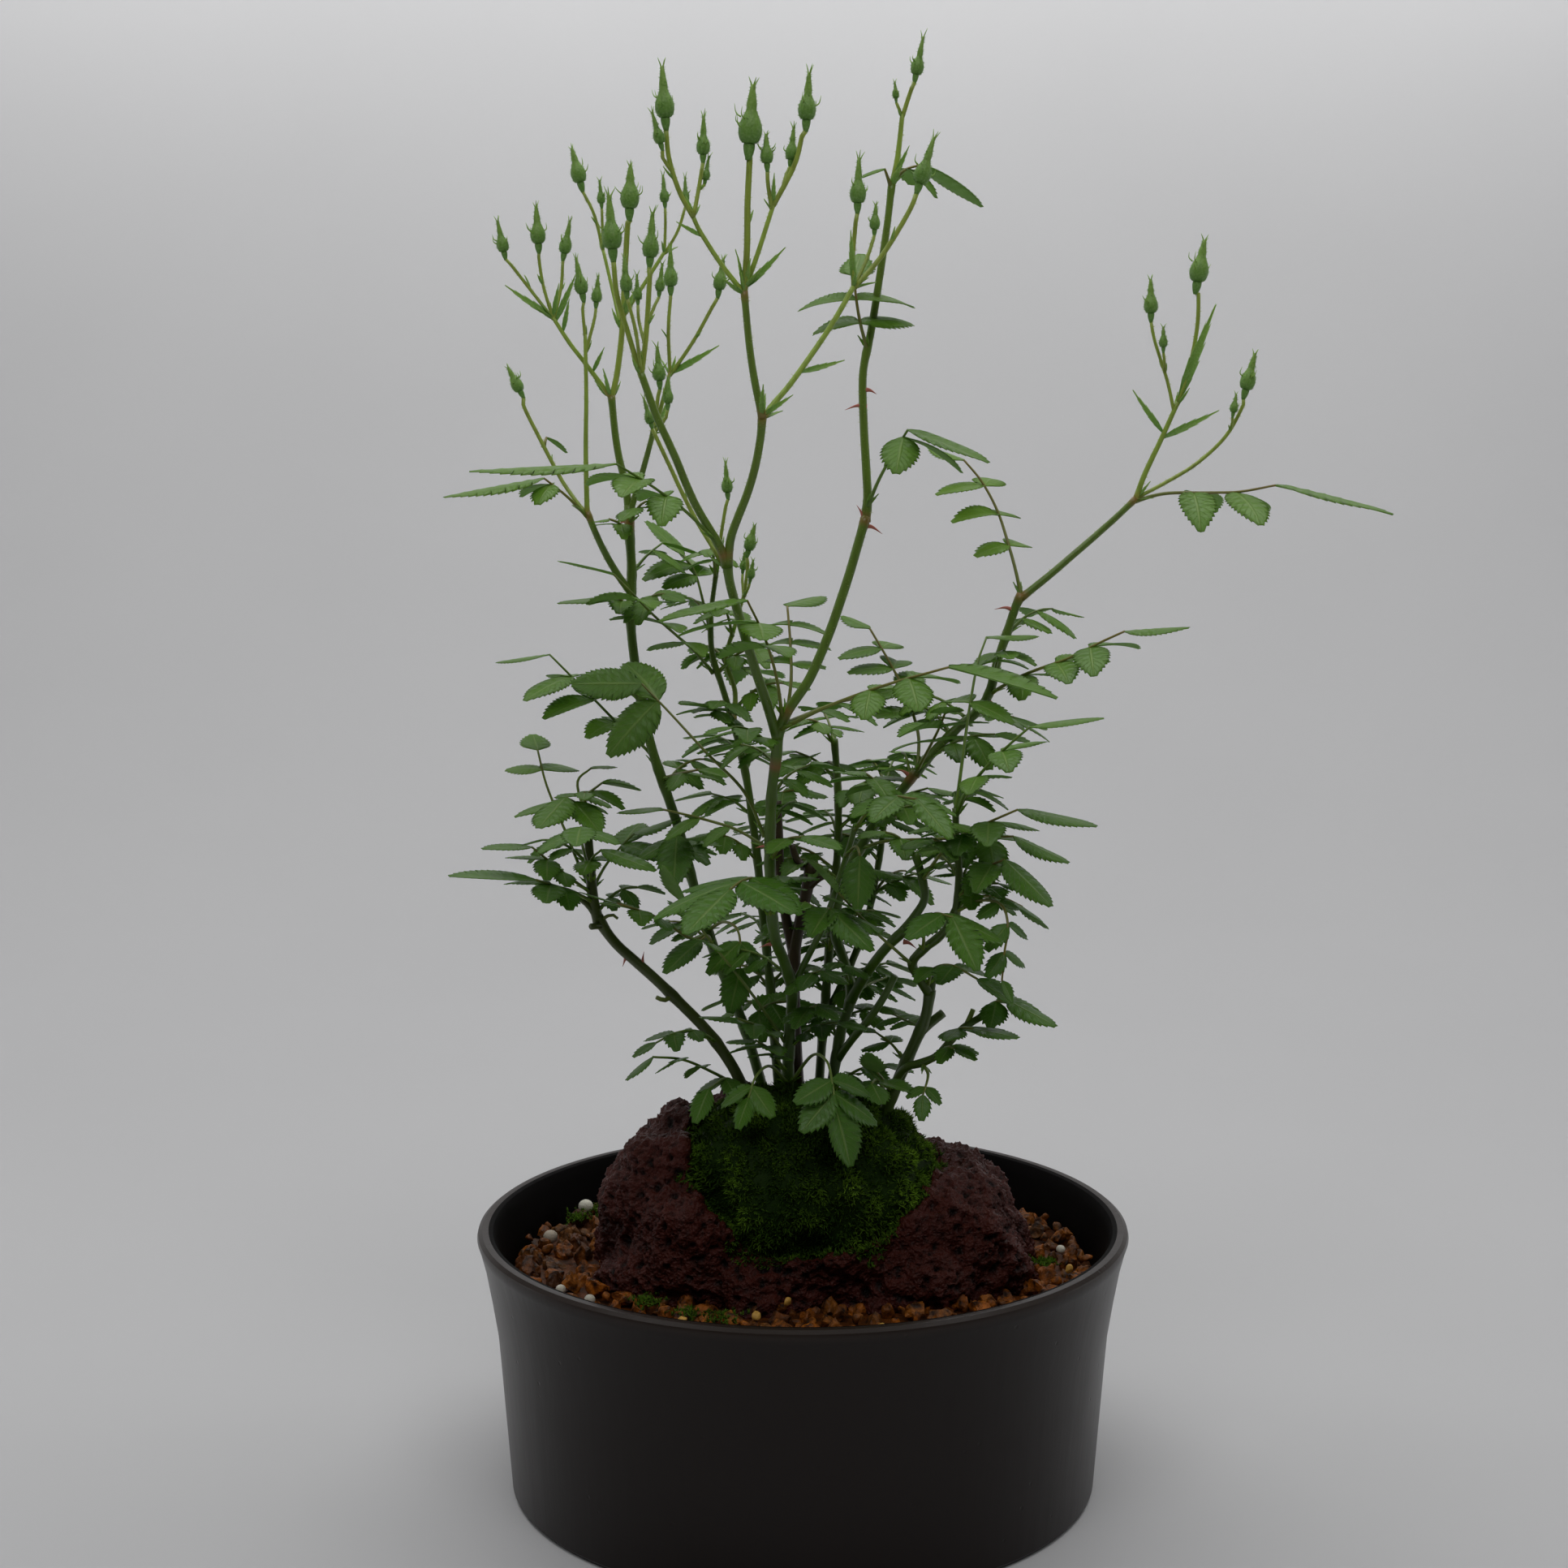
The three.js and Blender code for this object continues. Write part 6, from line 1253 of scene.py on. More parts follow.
def grow_leaf(wood, leaves, listed, seed):
    """A leaf: its rib, its leaflets in pairs with one at the end, and the stipules at its foot."""
    pairs, seen_length, bare, roll, *places = listed
    draw = drawn_from(seed)
    own = drawn_from(seed * 31 + 7)
    points = [placed(p) for p in places]
    tip = points.pop()
    root, end = points[0], points[-1]
    line, run = smooth_line(points, 0)
    heading = tip - root
    heading[2] = 0
    heading /= np.linalg.norm(heading)
    # Partly youth, partly painted light: leaves higher up are paler and yellower and low ones darker, with
    # a random share added.
    youth_and_height_light = min(1, max(0, (places[-1][1] - 130) / 160)) * 0.6 + own(0, 0.4)
    age = own(0, 1)
    red = own(0, 0.4) * (0.9 if places[0][1] > 150 else 0.5)
    stalk, _ = smooth_line(points, 1.6)
    share = np.linspace(0, 1, len(stalk))
    thick = 0.52 - 0.22 * share
    thick += 0.25 * np.exp(-share * run / 1.6)
    tints = np.stack([
        0.15 + 0 * share, red * (0.35 + 0.65 * share), 0.3 + 0 * share, 1 + 0 * share,
    ], 1)
    tube(wood, stalk, thick, 6, 0, tints)
    length = 1.15 * seen_length * spread_at(places[-1][2])
    across = np.cross((0, 0, 1), heading)
    tilt = roll + LEAF_TILT * float(across[1])
    across = across * math.cos(tilt) + np.array([0, 0, math.sin(tilt)])
    pace = (1 - bare) / pairs if pairs else 0
    levelling = 0.6 * max(0, 1 - abs(roll))

    def face_of(way):
        """The way that a leaflet's face looks: leaflets turn up to the light on a steep rib."""
        face = np.cross(way, across)
        face = face / np.linalg.norm(face) * (1 - levelling) + np.array([0, 0, levelling])
        return face / np.linalg.norm(face)

    def width_of(size):
        return min(0.35 * size, 0.2 * size + 1.8)

    def teeth_of(size):
        return int(min(14, max(FEWEST_LEAF_TEETH, round(size / 1.35))))

    for pair in range(pairs):
        share = bare + pace * pair
        basal = pairs > 1 and pair == 0
        at = np.array([np.interp(share, np.linspace(0, 1, len(line)), line[:, i]) for i in range(3)])
        forward = (tip - at) / np.linalg.norm(tip - at)
        plane = face_of(forward)
        for hand in (1, -1):
            turn = hand * (1.35 if basal else 1.05) + draw(-0.12, 0.12)
            rise = -0.08 + draw(-0.14, 0.14)
            along = (forward * math.cos(turn) + across * math.sin(turn)) * math.cos(rise)
            along += plane * math.sin(rise)
            size = length * (0.82 if basal else 1) * draw(0.92, 1.05)
            drop = draw(0, 0.12)
            blade(
                leaves, at, along, plane, size, width_of(size), teeth_of(size), drop + 0.03 + 0.28 * youth_and_height_light,
                own(-0.05, 0.4), (min(1, max(0, youth_and_height_light + own(-0.12, 0.12))), age), curl=own(0, 0.25),
            )
    along = (tip - end) / np.linalg.norm(tip - end)
    size = 0.95 * float(np.linalg.norm(tip - end))
    blade(
        leaves, end, along, face_of(along), size, width_of(size), teeth_of(size), 0.03, own(-0.05, 0.35),
        (youth_and_height_light, age), curl=own(0, 0.25),
    )
    if run > 8:
        start = points[1] - points[0]
        start /= np.linalg.norm(start)
        for hand in (1, -1):
            side = np.cross(start, (0, 0, 1)) * hand
            side /= max(np.linalg.norm(side), 1e-6)
            way = start * 0.93 + side * 0.3
            way /= np.linalg.norm(way)
            blade(
                leaves, root + start * 0.6, way, np.cross(start, side) * hand,
                min(4.5, 0.2 * run + 1.5), 0.55, 3, -0.12, 0.2, (0.9, age),
            )


def climbing_leaves(stems, run, draw):
    """Leaves that turn by the golden angle as they climb a stem."""
    number, low, high, count, length = run
    places = np.array(stems[number][2:], float)
    leaves = []
    for k in range(count):
        up = low + (high - low) * k / (count - 1)
        root = np.array([np.interp(up, places[:, 1], places[:, i]) for i in range(3)])
        angle = GOLDEN_ANGLE * k + draw(-0.4, 0.4)
        reach = length * draw(1.2, 1.9)
        leaf = [2, length * draw(0.85, 1.15), 0.42, draw(-0.2, 0.2)]
        for out, rise in ((0, 0), (0.4, 5), (0.75, 7), (1, 7.2), (1 + length / reach, 5.5)):
            offset = (reach * out * math.cos(angle), rise, reach * out * math.sin(angle))
            leaf.append([float(v) for v in root + offset])
        leaves.append(leaf)
    return leaves


def grow_bud(wood, buds, listed, seed):
    """A bud on its stalk: the hip, the closed sepals that taper to a beak, and their loose ends."""
    own = drawn_from(seed * 17 + 3)
    seen_width, stalk_radius, *places = listed
    points = [placed(p) for p in places]
    tip, middle = points[-1], points[-2]
    width = seen_width * spread_at(places[-2][2])
    axis = tip - middle
    far = float(np.linalg.norm(axis))
    axis /= far
    stalk, run = smooth_line([*points[:-2], middle - axis * width * 1.25], 2.0)
    share = np.linspace(0, 1, len(stalk))
    thick = stalk_radius * (1.1 - 0.1 * share) + 0.05
    tints = np.stack([0 * share, 0.12 + 0 * share, 0.8 + 0 * share, 1 + 0 * share], 1)
    tube(wood, stalk, thick, 8, 0, tints)
    bristles(wood, stalk, thick, 4, 0.5, np.random.default_rng(seed))
    start = points[1] - points[0]
    start /= np.linalg.norm(start)
    for share in (0, 0.5) if run > 16 else (0,):
        level = int(share * (len(stalk) - 1))
        reach = min(9, 0.35 * run + 2) * own(0.6, 1) * (1 - share)
        grow_bract(buds, stalk[level], start, reach, 0.07 * reach + 0.3, own)
    hip = [
        (-1.32, stalk_radius / width + 0.01), (-1.2, 0.155), (-1.05, 0.205), (-0.9, 0.235),
        (-0.76, 0.25), (-0.66, 0.24), (-0.62, 0.2),
    ]
    tube(
        buds, np.array([middle + axis * a * width for a, _ in hip]),
        np.array([r * width for _, r in hip]), 12, 0, (0.0, own(0, 1), 0, 1),
    )
    beak = far / width
    bulb = [
        (-0.64, 0.2), (-0.62, 0.3), (-0.55, 0.375), (-0.42, 0.445), (-0.25, 0.49), (-0.05, 0.5),
        (0.15, 0.465), (0.35, 0.385), (0.55, 0.29), (0.75, 0.21),
    ]
    for part in (0.15, 0.35, 0.55, 0.72):
        a = 0.75 + (beak - 0.75) * part
        bulb.append((a, 0.21 * (1 - part) ** 1.4 + 0.055))
    line = np.array([middle + axis * a * width for a, _ in bulb])
    rise = np.array([a for a, _ in bulb])
    tints = np.stack([
        np.clip((rise + 0.65) / (beak + 0.65), 0.02, 1), 0 * rise + own(0, 1), 0 * rise,
        0 * rise + 1,
    ], 1)
    girth = np.array([r * width for _, r in bulb])
    tube(buds, line, girth, 20, 0, tints, wave=0.035)
    bristles(buds, line, girth, 28, 0.45, np.random.default_rng(seed + 1))
    side = np.cross(axis, (0.2, 1, 0.1))
    side /= np.linalg.norm(side)
    other = np.cross(axis, side)
    start = line[-3]
    tips = 3 if width > 2.6 else 2
    for k in range(tips):
        angle = own(-0.5, 0.5) + 2 * math.pi * k / tips
        out = side * math.cos(angle) + other * math.sin(angle)
        reach = width * own(0.18, 0.42)
        stretch = own(0.86, 1.03)
        top = tip - axis * far * (1 - stretch) * 0.5
        spots = [start, start + (top - start) * 0.55 + out * reach * 0.25, top + out * reach]
        sliver, _ = smooth_line(spots, 0.8)
        part = np.linspace(0, 1, len(sliver))
        tube(buds, sliver, 0.075 * width * (1 - part) + 0.06, 5, 0, (0.9, own(0, 1), 0, 1))
    for k in range(4 if width > 3 else 2):
        angle = own(0, 2 * math.pi)
        out = side * math.cos(angle) + other * math.sin(angle)
        level = own(-0.1, 0.45)
        spots = [
            middle + axis * level * width + out * 0.44 * width,
            middle + axis * (level + 0.16) * width + out * 0.66 * width,
            middle + axis * (level + own(0.35, 0.6)) * width + out * own(0.62, 0.85) * width,
        ]
        wisp, _ = smooth_line(spots, 0.5)
        part = np.linspace(0, 1, len(wisp))
        tube(buds, wisp, 0.17 * (1 - part) + 0.05, 4, 0, (0.9, own(0, 1), 0, 1))


HAIR_WIDTH = 0.075
HAIR_ROOT_DEPTH = 0.04


def bristles(pile, line, radius, per_mm, length, numbers):
    """Short stiff hairs that stand out all round a stem."""
    steps = np.linalg.norm(np.diff(line, axis=0), axis=1)
    count = int(steps.sum() * per_mm)
    at = numbers.uniform(0, len(line) - 1, count)
    low = at.astype(int)
    share = (at - low)[:, None]
    along = line[low + 1] - line[low]
    along /= np.linalg.norm(along, axis=1)[:, None]
    out = np.cross(along, numbers.normal(0, 1, (count, 3)))
    out /= np.linalg.norm(out, axis=1)[:, None]
    side = np.cross(along, out)
    girth = np.interp(at, range(len(line)), radius) - HAIR_ROOT_DEPTH
    root = line[low] * (1 - share) + line[low + 1] * share + out * girth[:, None]
    long = (length * numbers.uniform(0.5, 1.3, count))[:, None]
    tip = root + out * long + along * long * numbers.uniform(-0.2, 0.4, count)[:, None]
    back = root - along * HAIR_WIDTH * 0.6
    points = np.stack(
        [root + along * HAIR_WIDTH, back + side * HAIR_WIDTH, back - side * HAIR_WIDTH, tip], 1
    )
    corner = np.arange(count)[:, None] * 4
    faces = np.concatenate([corner + np.array(f) for f in ([0, 1, 3], [1, 2, 3], [2, 0, 3])])
    pile.add(points.reshape(-1, 3), [(faces, 0, False)], (0, 0.15, 1, 1))


BRACT_TEETH = 5
BRACT_SPREAD = 0.5


def grow_bract(buds, root, way, length, half_width, draw):
    """A narrow pointed bract that stands at a joint, beside the stalk that it once sheltered."""
    out = np.cross(way, (draw(-1, 1), draw(-1, 1), draw(-0.4, 0.4)))
    out /= np.linalg.norm(out)
    along = way * math.cos(BRACT_SPREAD) + out * math.sin(BRACT_SPREAD)
    blade(
        buds, root, along, -out, length, half_width, BRACT_TEETH, draw(-0.35, 0.1), draw(0.2, 0.5),
        (0, 1), finishes=(0, 0),
    )


def grow_seen_bract(buds, stems, listed):
    """A bract that is listed by the places of its foot near a stem and of its point."""
    lines = np.concatenate([smooth_line(stem[2:], 0.7)[0] for stem in stems])
    near = lines[np.argmin(((lines[:, :2] - listed[:2]) ** 2).sum(1))]
    foot = placed(near)
    way = placed((*listed[2:], near[2] - 2)) - foot
    length = float(np.linalg.norm(way))
    way /= length
    blade(
        buds, foot, way, np.array([0.2, -0.9, 0.4]), length, 0.05 * length + 0.3, BRACT_TEETH,
        -0.12, 0.35, (0, 1), finishes=(0, 0),
    )


def grow_thorn(wood, listed):
    """A thorn that hooks down from its root on the stem to its point."""
    root, point = (placed(p) for p in listed)
    way = point - root
    hook = np.array([0, 0, -0.12 * np.linalg.norm(way)])
    line, _ = smooth_line([root, root + way * 0.45 - hook, point], 0.5)
    part = np.linspace(0, 1, len(line))
    tube(wood, line, 0.75 * (1 - part) ** 1.3 + 0.05, 7, 1, (0, 1, part[1], 1))


def grow_stem(wood, buds, listed, joints, bark, roots):
    """A stem that swells at the roots of leaves and stems, and shows red at its joints."""
    first, last, *places = listed
    points = [placed(p) for p in places]
    line, _ = smooth_line(points, 1.6 if last < 1.5 else 2.0)
    share = np.linspace(0, 1, len(line))
    thick = first + (last - first) * share
    swell = np.zeros(len(line))
    for spot in roots:
        away = np.linalg.norm(line - spot, axis=1)
        swell = np.maximum(swell, 0.15 * np.exp(-((away / 1.8) ** 2)))
    spread = 1 + line[:, 1] / EYE_DISTANCE
    across = line[:, 0] / spread
    up = EYE_HEIGHT + (line[:, 2] - EYE_HEIGHT) / spread
    red = np.full(len(line), 0.05)
    for x, y in joints:
        red = np.maximum(red, 0.5 * np.exp(-(((across - x) ** 2 + (up - y) ** 2) / 2.6)))
    thick = thick * (1 + swell)
    fresh = np.clip((up - 150) / 180, 0, 1) * 0.3 + (0.6 if first < 0.9 else 0)
    tints = np.stack([bark + 0 * share, red, fresh, 1 + 0 * share], 1)
    tube(wood, line, thick, 12 if first > 1.0 else 9, 0, tints)
    if up[-1] > 240 and bark < 0.5:
        numbers = np.random.default_rng(int(97 * up[-1]))
        bristles(wood, line, thick, 3 if first < 1.3 else 2, 0.55, numbers)
    if first < 1.3 and up[0] > 285 and bark < 0.5:
        own = drawn_from(int(31 * up[-1]))
        way = (line[3] - line[0]) / np.linalg.norm(line[3] - line[0])
        for _ in range(2):
            grow_bract(buds, line[0], way, own(6, 11), own(0.8, 1.1), own)


# Living cane: smooth satin bark, green with lengthwise streaks, yellower on young stalks, rose
# red at the joints and thorns.
green_bark = new_finish("green_cane_bark")
place = add_node(green_bark, "ShaderNodeTexCoord")["Object"]
tint = add_node(green_bark, "ShaderNodeAttribute", attribute_name="tint")["Color"]
kind = add_node(green_bark, "ShaderNodeSeparateColor", {0: tint})
stretched = add_node(
    green_bark, "ShaderNodeMapping",
    {"Vector": place, "Scale": (1 / (1.2 * MM), 1 / (1.2 * MM), 1 / (9 * MM))},
)[0]
streak = add_node(green_bark, "ShaderNodeTexNoise", {"Vector": stretched, "Scale": 1, "Detail": 4})[0]
base = add_node(
    green_bark, "ShaderNodeMix", {0: kind[2], 6: colour("#3E6A1C"), 7: colour("#A8C654")}, data_type="RGBA"
)[2]
old = add_node(
    green_bark, "ShaderNodeMix", {0: kind[0], 6: base, 7: colour("#2B2118")}, data_type="RGBA"
)[2]
streaks = add_node(
    green_bark, "ShaderNodeMapRange",
    {"Value": streak, "From Min": 0.45, "From Max": 0.8, "To Max": 0.5},
)[0]
streaked = add_node(
    green_bark, "ShaderNodeMix", {0: streaks, 6: old, 7: colour("#35481C")}, data_type="RGBA"
)[2]
reddened = add_node(
    green_bark, "ShaderNodeMix", {0: kind[1], 6: streaked, 7: colour("#B05A44")}, data_type="RGBA"
)[2]
bump = add_node(green_bark, "ShaderNodeBump", {"Height": streak, "Strength": 0.3, "Distance": 0.2 * MM})[0]
surface(
    green_bark, base_color=reddened, roughness=0.34, ior=1.45, subsurface_weight=0.08,
    subsurface_scale=0.8 * MM, subsurface_radius=(0.6, 1, 0.3), normal=bump,
)

# Hard young horn, pale red and a little glossy.
thorn_horn = new_finish("red_thorn")
surface(thorn_horn, base_color=colour("#C07060"), roughness=0.35, ior=1.45)


def thin_surface(finish, share, glow, **sockets):
    """A leaf's skin, which lets a share of the light through in the colour of the glow."""
    surface(finish, **sockets)
    end = next(n for n in finish.node_tree.nodes if n.type == "OUTPUT_MATERIAL")
    skin = end.inputs["Surface"].links[0].from_socket
    through = add_node(finish, "ShaderNodeBsdfTranslucent", {"Color": glow})[0]
    both = add_node(finish, "ShaderNodeMixShader", {0: share, 1: skin, 2: through})[0]
    finish.node_tree.links.new(both, end.inputs["Surface"])


# Living rose leaf, upper face: satin deep green, yellower where young, and paler and yellower on the higher
# leaves as painted light, quilted between paler veins, under a thin wet film that glints in a grain of 1.3
# mm. Light from behind makes it glow.
leaf_top = new_finish("rose_leaf_upper_face")
tint = add_node(leaf_top, "ShaderNodeAttribute", attribute_name="tint")
way = add_node(leaf_top, "ShaderNodeSeparateColor", {0: tint["Color"]})
lead = add_node(leaf_top, "ShaderNodeMath", {0: way[1], 1: -0.28}, operation="MULTIPLY")[0]
shifted = add_node(leaf_top, "ShaderNodeMath", {0: way[0], 1: lead}, operation="ADD")[0]
many = add_node(leaf_top, "ShaderNodeMath", {0: shifted, 1: 9.0}, operation="MULTIPLY")[0]
saw = add_node(leaf_top, "ShaderNodeMath", {0: many, 1: 0.5}, operation="PINGPONG")[0]
side_vein = add_node(
    leaf_top, "ShaderNodeMapRange",
    {"Value": saw, "From Min": 0.0, "From Max": 0.09, "To Min": 1, "To Max": 0},
    interpolation_type="SMOOTHSTEP",
)[0]
middle_vein = add_node(
    leaf_top, "ShaderNodeMapRange",
    {"Value": way[1], "From Min": 0.02, "From Max": 0.12, "To Min": 1, "To Max": 0},
    interpolation_type="SMOOTHSTEP",
)[0]
veins = add_node(leaf_top, "ShaderNodeMath", {0: side_vein, 1: middle_vein}, operation="MAXIMUM")[0]
place = add_node(leaf_top, "ShaderNodeTexCoord")["Object"]
mottle = add_node(leaf_top, "ShaderNodeTexNoise", {"Vector": place, "Scale": 1 / (6 * MM), "Detail": 3})[0]
# The third tint channel is youth with painted light by height: higher leaves paler, lower ones darker.
fresh = add_node(
    leaf_top, "ShaderNodeMix", {0: way[2], 6: colour("#54861E"), 7: colour("#90BC40")}, data_type="RGBA"
)[2]
toned = add_node(
    leaf_top, "ShaderNodeMix",
    {0: add_node(leaf_top, "ShaderNodeMath", {0: mottle, 1: tint["Alpha"]}, operation="MULTIPLY")[0],
     6: fresh, 7: colour("#64884A")}, data_type="RGBA",
)[2]
veined = add_node(
    leaf_top, "ShaderNodeMix",
    {0: add_node(leaf_top, "ShaderNodeMath", {0: veins, 1: 0.35}, operation="MULTIPLY")[0],
     6: toned, 7: colour("#B9CE7A")}, data_type="RGBA",
)[2]
cells = add_node(leaf_top, "ShaderNodeTexNoise", {"Vector": place, "Scale": 1 / (0.7 * MM), "Detail": 2})[0]
flesh = add_node(
    leaf_top, "ShaderNodeMath",
    {0: add_node(leaf_top, "ShaderNodeMath", {0: cells, 1: 0.25}, operation="MULTIPLY")[0], 1: veins},
    operation="SUBTRACT",
)[0]
bump = add_node(leaf_top, "ShaderNodeBump", {"Height": flesh, "Strength": 0.7, "Distance": 0.3 * MM})[0]
glow = add_node(
    leaf_top, "ShaderNodeMix", {0: way[2], 6: colour("#78B01C"), 7: colour("#B4D848")}, data_type="RGBA"
)[2]
beads = add_node(leaf_top, "ShaderNodeTexVoronoi", {"Vector": place, "Scale": 1 / (1.3 * MM)})["Distance"]
bead = add_node(
    leaf_top, "ShaderNodeMapRange",
    {"Value": beads, "From Min": 0.12, "From Max": 0.3, "To Min": 1, "To Max": 0},
    interpolation_type="SMOOTHSTEP",
)[0]
beaded = add_node(
    leaf_top, "ShaderNodeBump", {"Height": bead, "Strength": 0.8, "Distance": 0.35 * MM, "Normal": bump}
)[0]
thin_surface(
    leaf_top, 0.38, glow, base_color=veined, roughness=0.42, ior=1.42, normal=bump,
    coat_weight=0.25, coat_roughness=0.1, coat_ior=1.33, coat_normal=beaded,
)

# The underside of the same leaf: matt and paler, softly mottled.
leaf_back = new_finish("rose_leaf_underside")
place = add_node(leaf_back, "ShaderNodeTexCoord")["Object"]
mottle = add_node(leaf_back, "ShaderNodeTexNoise", {"Vector": place, "Scale": 1 / (3 * MM), "Detail": 3})[0]
pale = add_node(
    leaf_back, "ShaderNodeMix", {0: mottle, 6: colour("#668A42"), 7: colour("#92B06A")}, data_type="RGBA"
)[2]
thin_surface(leaf_back, 0.38, colour("#98C438"), base_color=pale, roughness=0.6, ior=1.4)

# Closed sepals and young bracts: downy grey-green, fresher towards the tips.
bud_skin = new_finish("rose_bud_sepals")
place = add_node(bud_skin, "ShaderNodeTexCoord")["Object"]
tint = add_node(bud_skin, "ShaderNodeAttribute", attribute_name="tint")["Color"]
kind = add_node(bud_skin, "ShaderNodeSeparateColor", {0: tint})
down = add_node(bud_skin, "ShaderNodeTexNoise", {"Vector": place, "Scale": 1 / (0.5 * MM), "Detail": 3})[0]
base = add_node(
    bud_skin, "ShaderNodeMix", {0: kind[0], 6: colour("#62903A"), 7: colour("#90B44C")}, data_type="RGBA"
)[2]
tufted = add_node(
    bud_skin, "ShaderNodeMapRange",
    {"Value": down, "From Min": 0.4, "From Max": 0.75, "To Max": 0.22},
)[0]
downy = add_node(
    bud_skin, "ShaderNodeMix", {0: tufted, 6: base, 7: colour("#C4D898")}, data_type="RGBA"
)[2]
bump = add_node(bud_skin, "ShaderNodeBump", {"Height": down, "Strength": 0.3, "Distance": 0.2 * MM})[0]
surface(
    bud_skin, base_color=downy, roughness=0.5, ior=1.42, subsurface_weight=0.1,
    subsurface_scale=1 * MM, subsurface_radius=(0.5, 1, 0.3), normal=bump,
)

# Bracts as across and up of the foot, then of the point.
BRACTS = {
    "left_cane": [
        (-67.8, 320.8, -79, 328.2), (-67.5, 321, -64.6, 329.5), (-56.5, 306, -52.6, 312.8),
        (-35.3, 305.9, -22, 312.7), (-61, 318, -61.9, 325.5), (-59.5, 323, -59.9, 331.8),
    ],
    "front_cane": [
        (-15.6, 327, -13.9, 336), (-15.4, 328, -4.4, 338.4), (-33.5, 337, -33.6, 345),
        (13.5, 328.7, 12.2, 343), (-10.8, 294.7, -2.4, 300), (23.6, 356, 28, 365),
        (-8, 349, -7.7, 358), (0, 305, 11.2, 308.8),
    ],
    "right_cane": [(97, 288, 110.8, 295.6), (97, 290, 87.2, 301), (104, 312, 108.8, 323.8)],
}
# The canes, with how far the bark of each has aged and its joints that show red.
CANES = [
    ("old_wood", old_wood, 0.95, []),
    ("front_cane", front_cane, 0, [
        (-7.2, 201), (-3.5, 215), (-21, 258), (-10.8, 294.7), (-15.6, 327), (17, 267)]),
    ("left_cane", left_cane, 0, [(-46.5, 266), (-57.8, 268.5), (-35.3, 305.9), (-51.5, 301)]),
    ("low_left_cane", low_left_cane, 0.5, []),
    ("right_cane", right_cane, 0.05, [(58.8, 247), (89, 272.4), (29.5, 197), (27, 173)]),
    ("right_front_cane", right_front_cane, 0.25, [(34.5, 164.5)]),
    ("back_left_cane", back_left_cane, 0.1, [(-18.7, 213)]),
    ("back_right_cane", back_right_cane, 0.2, []),
]
LEAF_SEED_PACE = 7
seed = 101
climbing_draw = drawn_from(73)
for name, cane, bark, red_joints in CANES:
    wood, leaves, buds = Pile(), Pile(), Pile()
    listed = list(cane["leaves"])
    for run in cane["climbing"]:
        listed += climbing_leaves(cane["stems"], run, climbing_draw)
    roots = [placed(leaf[4]) for leaf in listed] + [placed(s[2]) for s in cane["stems"][1:]]
    for stem in cane["stems"]:
        grow_stem(wood, buds, stem, red_joints, bark, roots)
    for bract in BRACTS.get(name, []):
        grow_seen_bract(buds, cane["stems"], bract)
    for thorn in cane["thorns"]:
        grow_thorn(wood, thorn)
    for number, bud in enumerate(cane["buds"]):
        grow_bud(wood, buds, bud, seed + number)
    for leaf in listed:
        seed += LEAF_SEED_PACE
        grow_leaf(wood, leaves, leaf, seed)
    made = [wood.piece(name + "_stems", [green_bark, thorn_horn])]
    if leaves.count:
        made.append(leaves.piece(name + "_leaves", [leaf_top, leaf_back]))
    if buds.count:
        made.append(buds.piece(name + "_buds", [bud_skin]))
    for piece in made:
        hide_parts(name)
        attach(piece, "root")

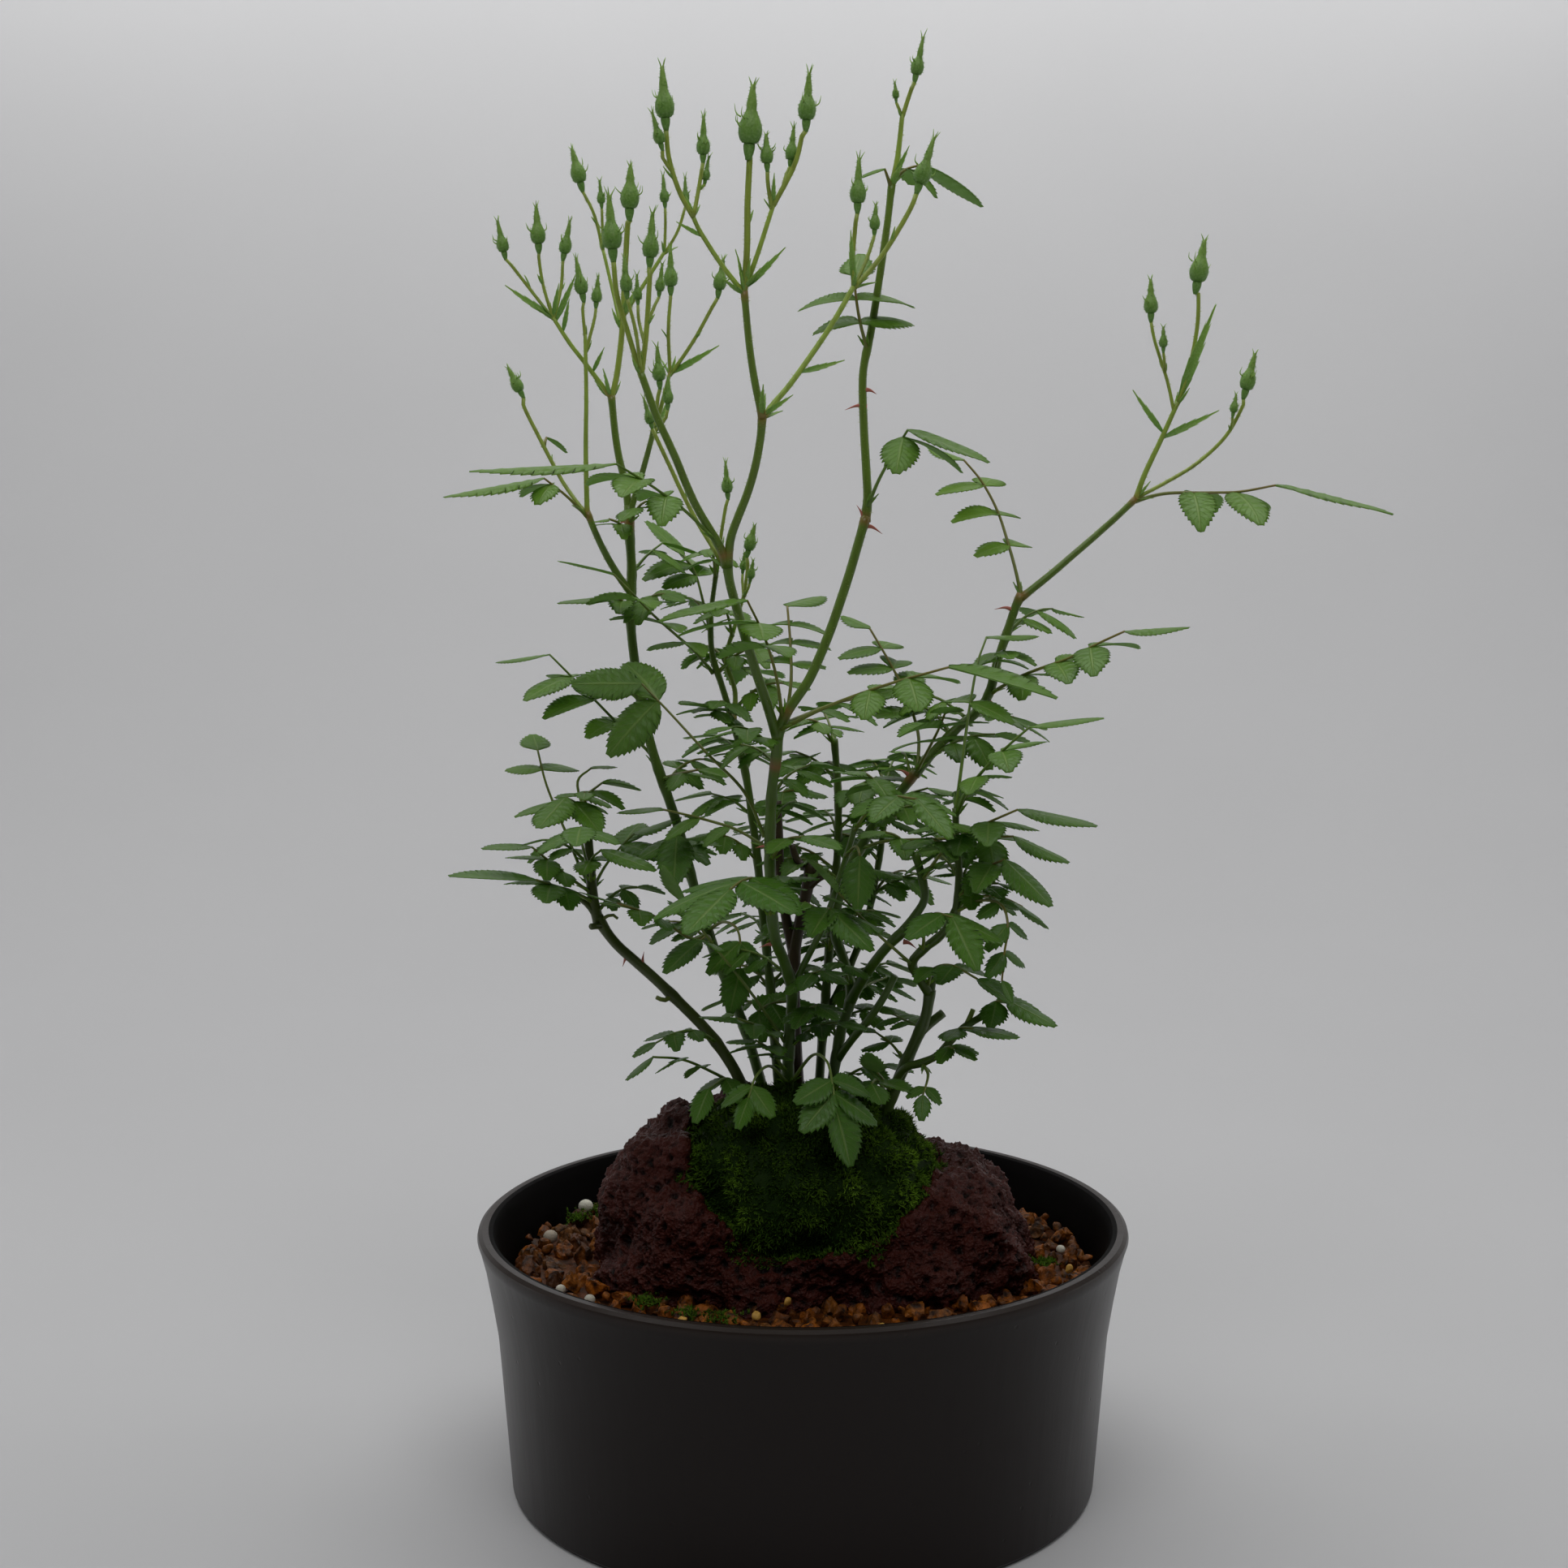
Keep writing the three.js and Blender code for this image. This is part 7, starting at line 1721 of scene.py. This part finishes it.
# Studio: a pale paper sweep on which the pot stands. A broad soft light hangs overhead towards
# the back, a strip lights the sweep behind, and dim soft lights stand at the sides and in front.
SWEEP_REACH = 0.5
SWEEP_RADIUS = 1.1
SWEEP_STEPS = 16
SWEEP_HALF_WIDTH = 3.5
paper = new_finish("pale_paper")
place = add_node(paper, "ShaderNodeTexCoord")["Object"]
tooth = add_node(paper, "ShaderNodeTexNoise", {"Vector": place, "Scale": 1 / (300 * MM), "Detail": 2})[0]
tone = add_node(
    paper, "ShaderNodeMix", {0: tooth, 6: colour("#C9C9CA"), 7: colour("#D0D0D1")}, data_type="RGBA"
)[2]
surface(paper, base_color=tone, roughness=0.9, ior=1.3)
sweep_line = [(-1.2, 0.0), (SWEEP_REACH, 0.0)]
for k in range(1, SWEEP_STEPS + 1):
    angle = math.pi / 2 * k / SWEEP_STEPS
    out, up = SWEEP_RADIUS * math.sin(angle), SWEEP_RADIUS * (1 - math.cos(angle))
    sweep_line.append((SWEEP_REACH + out, up))
sweep_line.append((SWEEP_REACH + SWEEP_RADIUS, 3.2))
points = np.array(
    [[x, y, z] for y, z in sweep_line for x in (-SWEEP_HALF_WIDTH, SWEEP_HALF_WIDTH)]
)
rows = np.arange(len(sweep_line) - 1) * 2
faces = np.stack([rows, rows + 1, rows + 3, rows + 2], 1)
floor = mesh_piece("paper_sweep", points, [(faces, 0, True)], [paper])
floor.location.z = -0.0002

# The lights, as place, aim, width, depth and power.
LIGHTS = [
    ("overhead", (0, 0.4, 1.3), (0, 0.05, 0.15), 1.7, 0.9, 10),
    ("backdrop", (0, 1.3, 0.98), (0, 1.62, 0.6), 2.8, 0.2, 6),
    ("left", (-1.3, 0.35, 0.5), (0, 0, 0.2), 0.4, 1.0, 1.9),
    ("right", (1.3, 0.35, 0.5), (0, 0, 0.2), 0.4, 1.0, 1.9),
    ("front", (0, -0.8, 1.25), (0, 0, 0.12), 1.2, 0.5, 5.2),
]
for name, position, aim, width, depth, power in LIGHTS:
    lamp = bpy.data.lights.new(name, "AREA")
    lamp.shape = "RECTANGLE"
    lamp.size = width
    lamp.size_y = depth
    lamp.energy = power
    stand = bpy.data.objects.new(name, lamp)
    stand.location = position
    stand.rotation_euler = (Vector(aim) - Vector(position)).to_track_quat("-Z", "Y").to_euler()
    bpy.context.scene.collection.objects.link(stand)
world = bpy.data.worlds.new("studio")
world.use_nodes = True
surround = world.node_tree.nodes["Background"].inputs
surround["Color"].default_value = colour("#C8C8CC")
surround["Strength"].default_value = 0.09
bpy.context.scene.world = world
bpy.context.scene.view_settings.view_transform = "Standard"
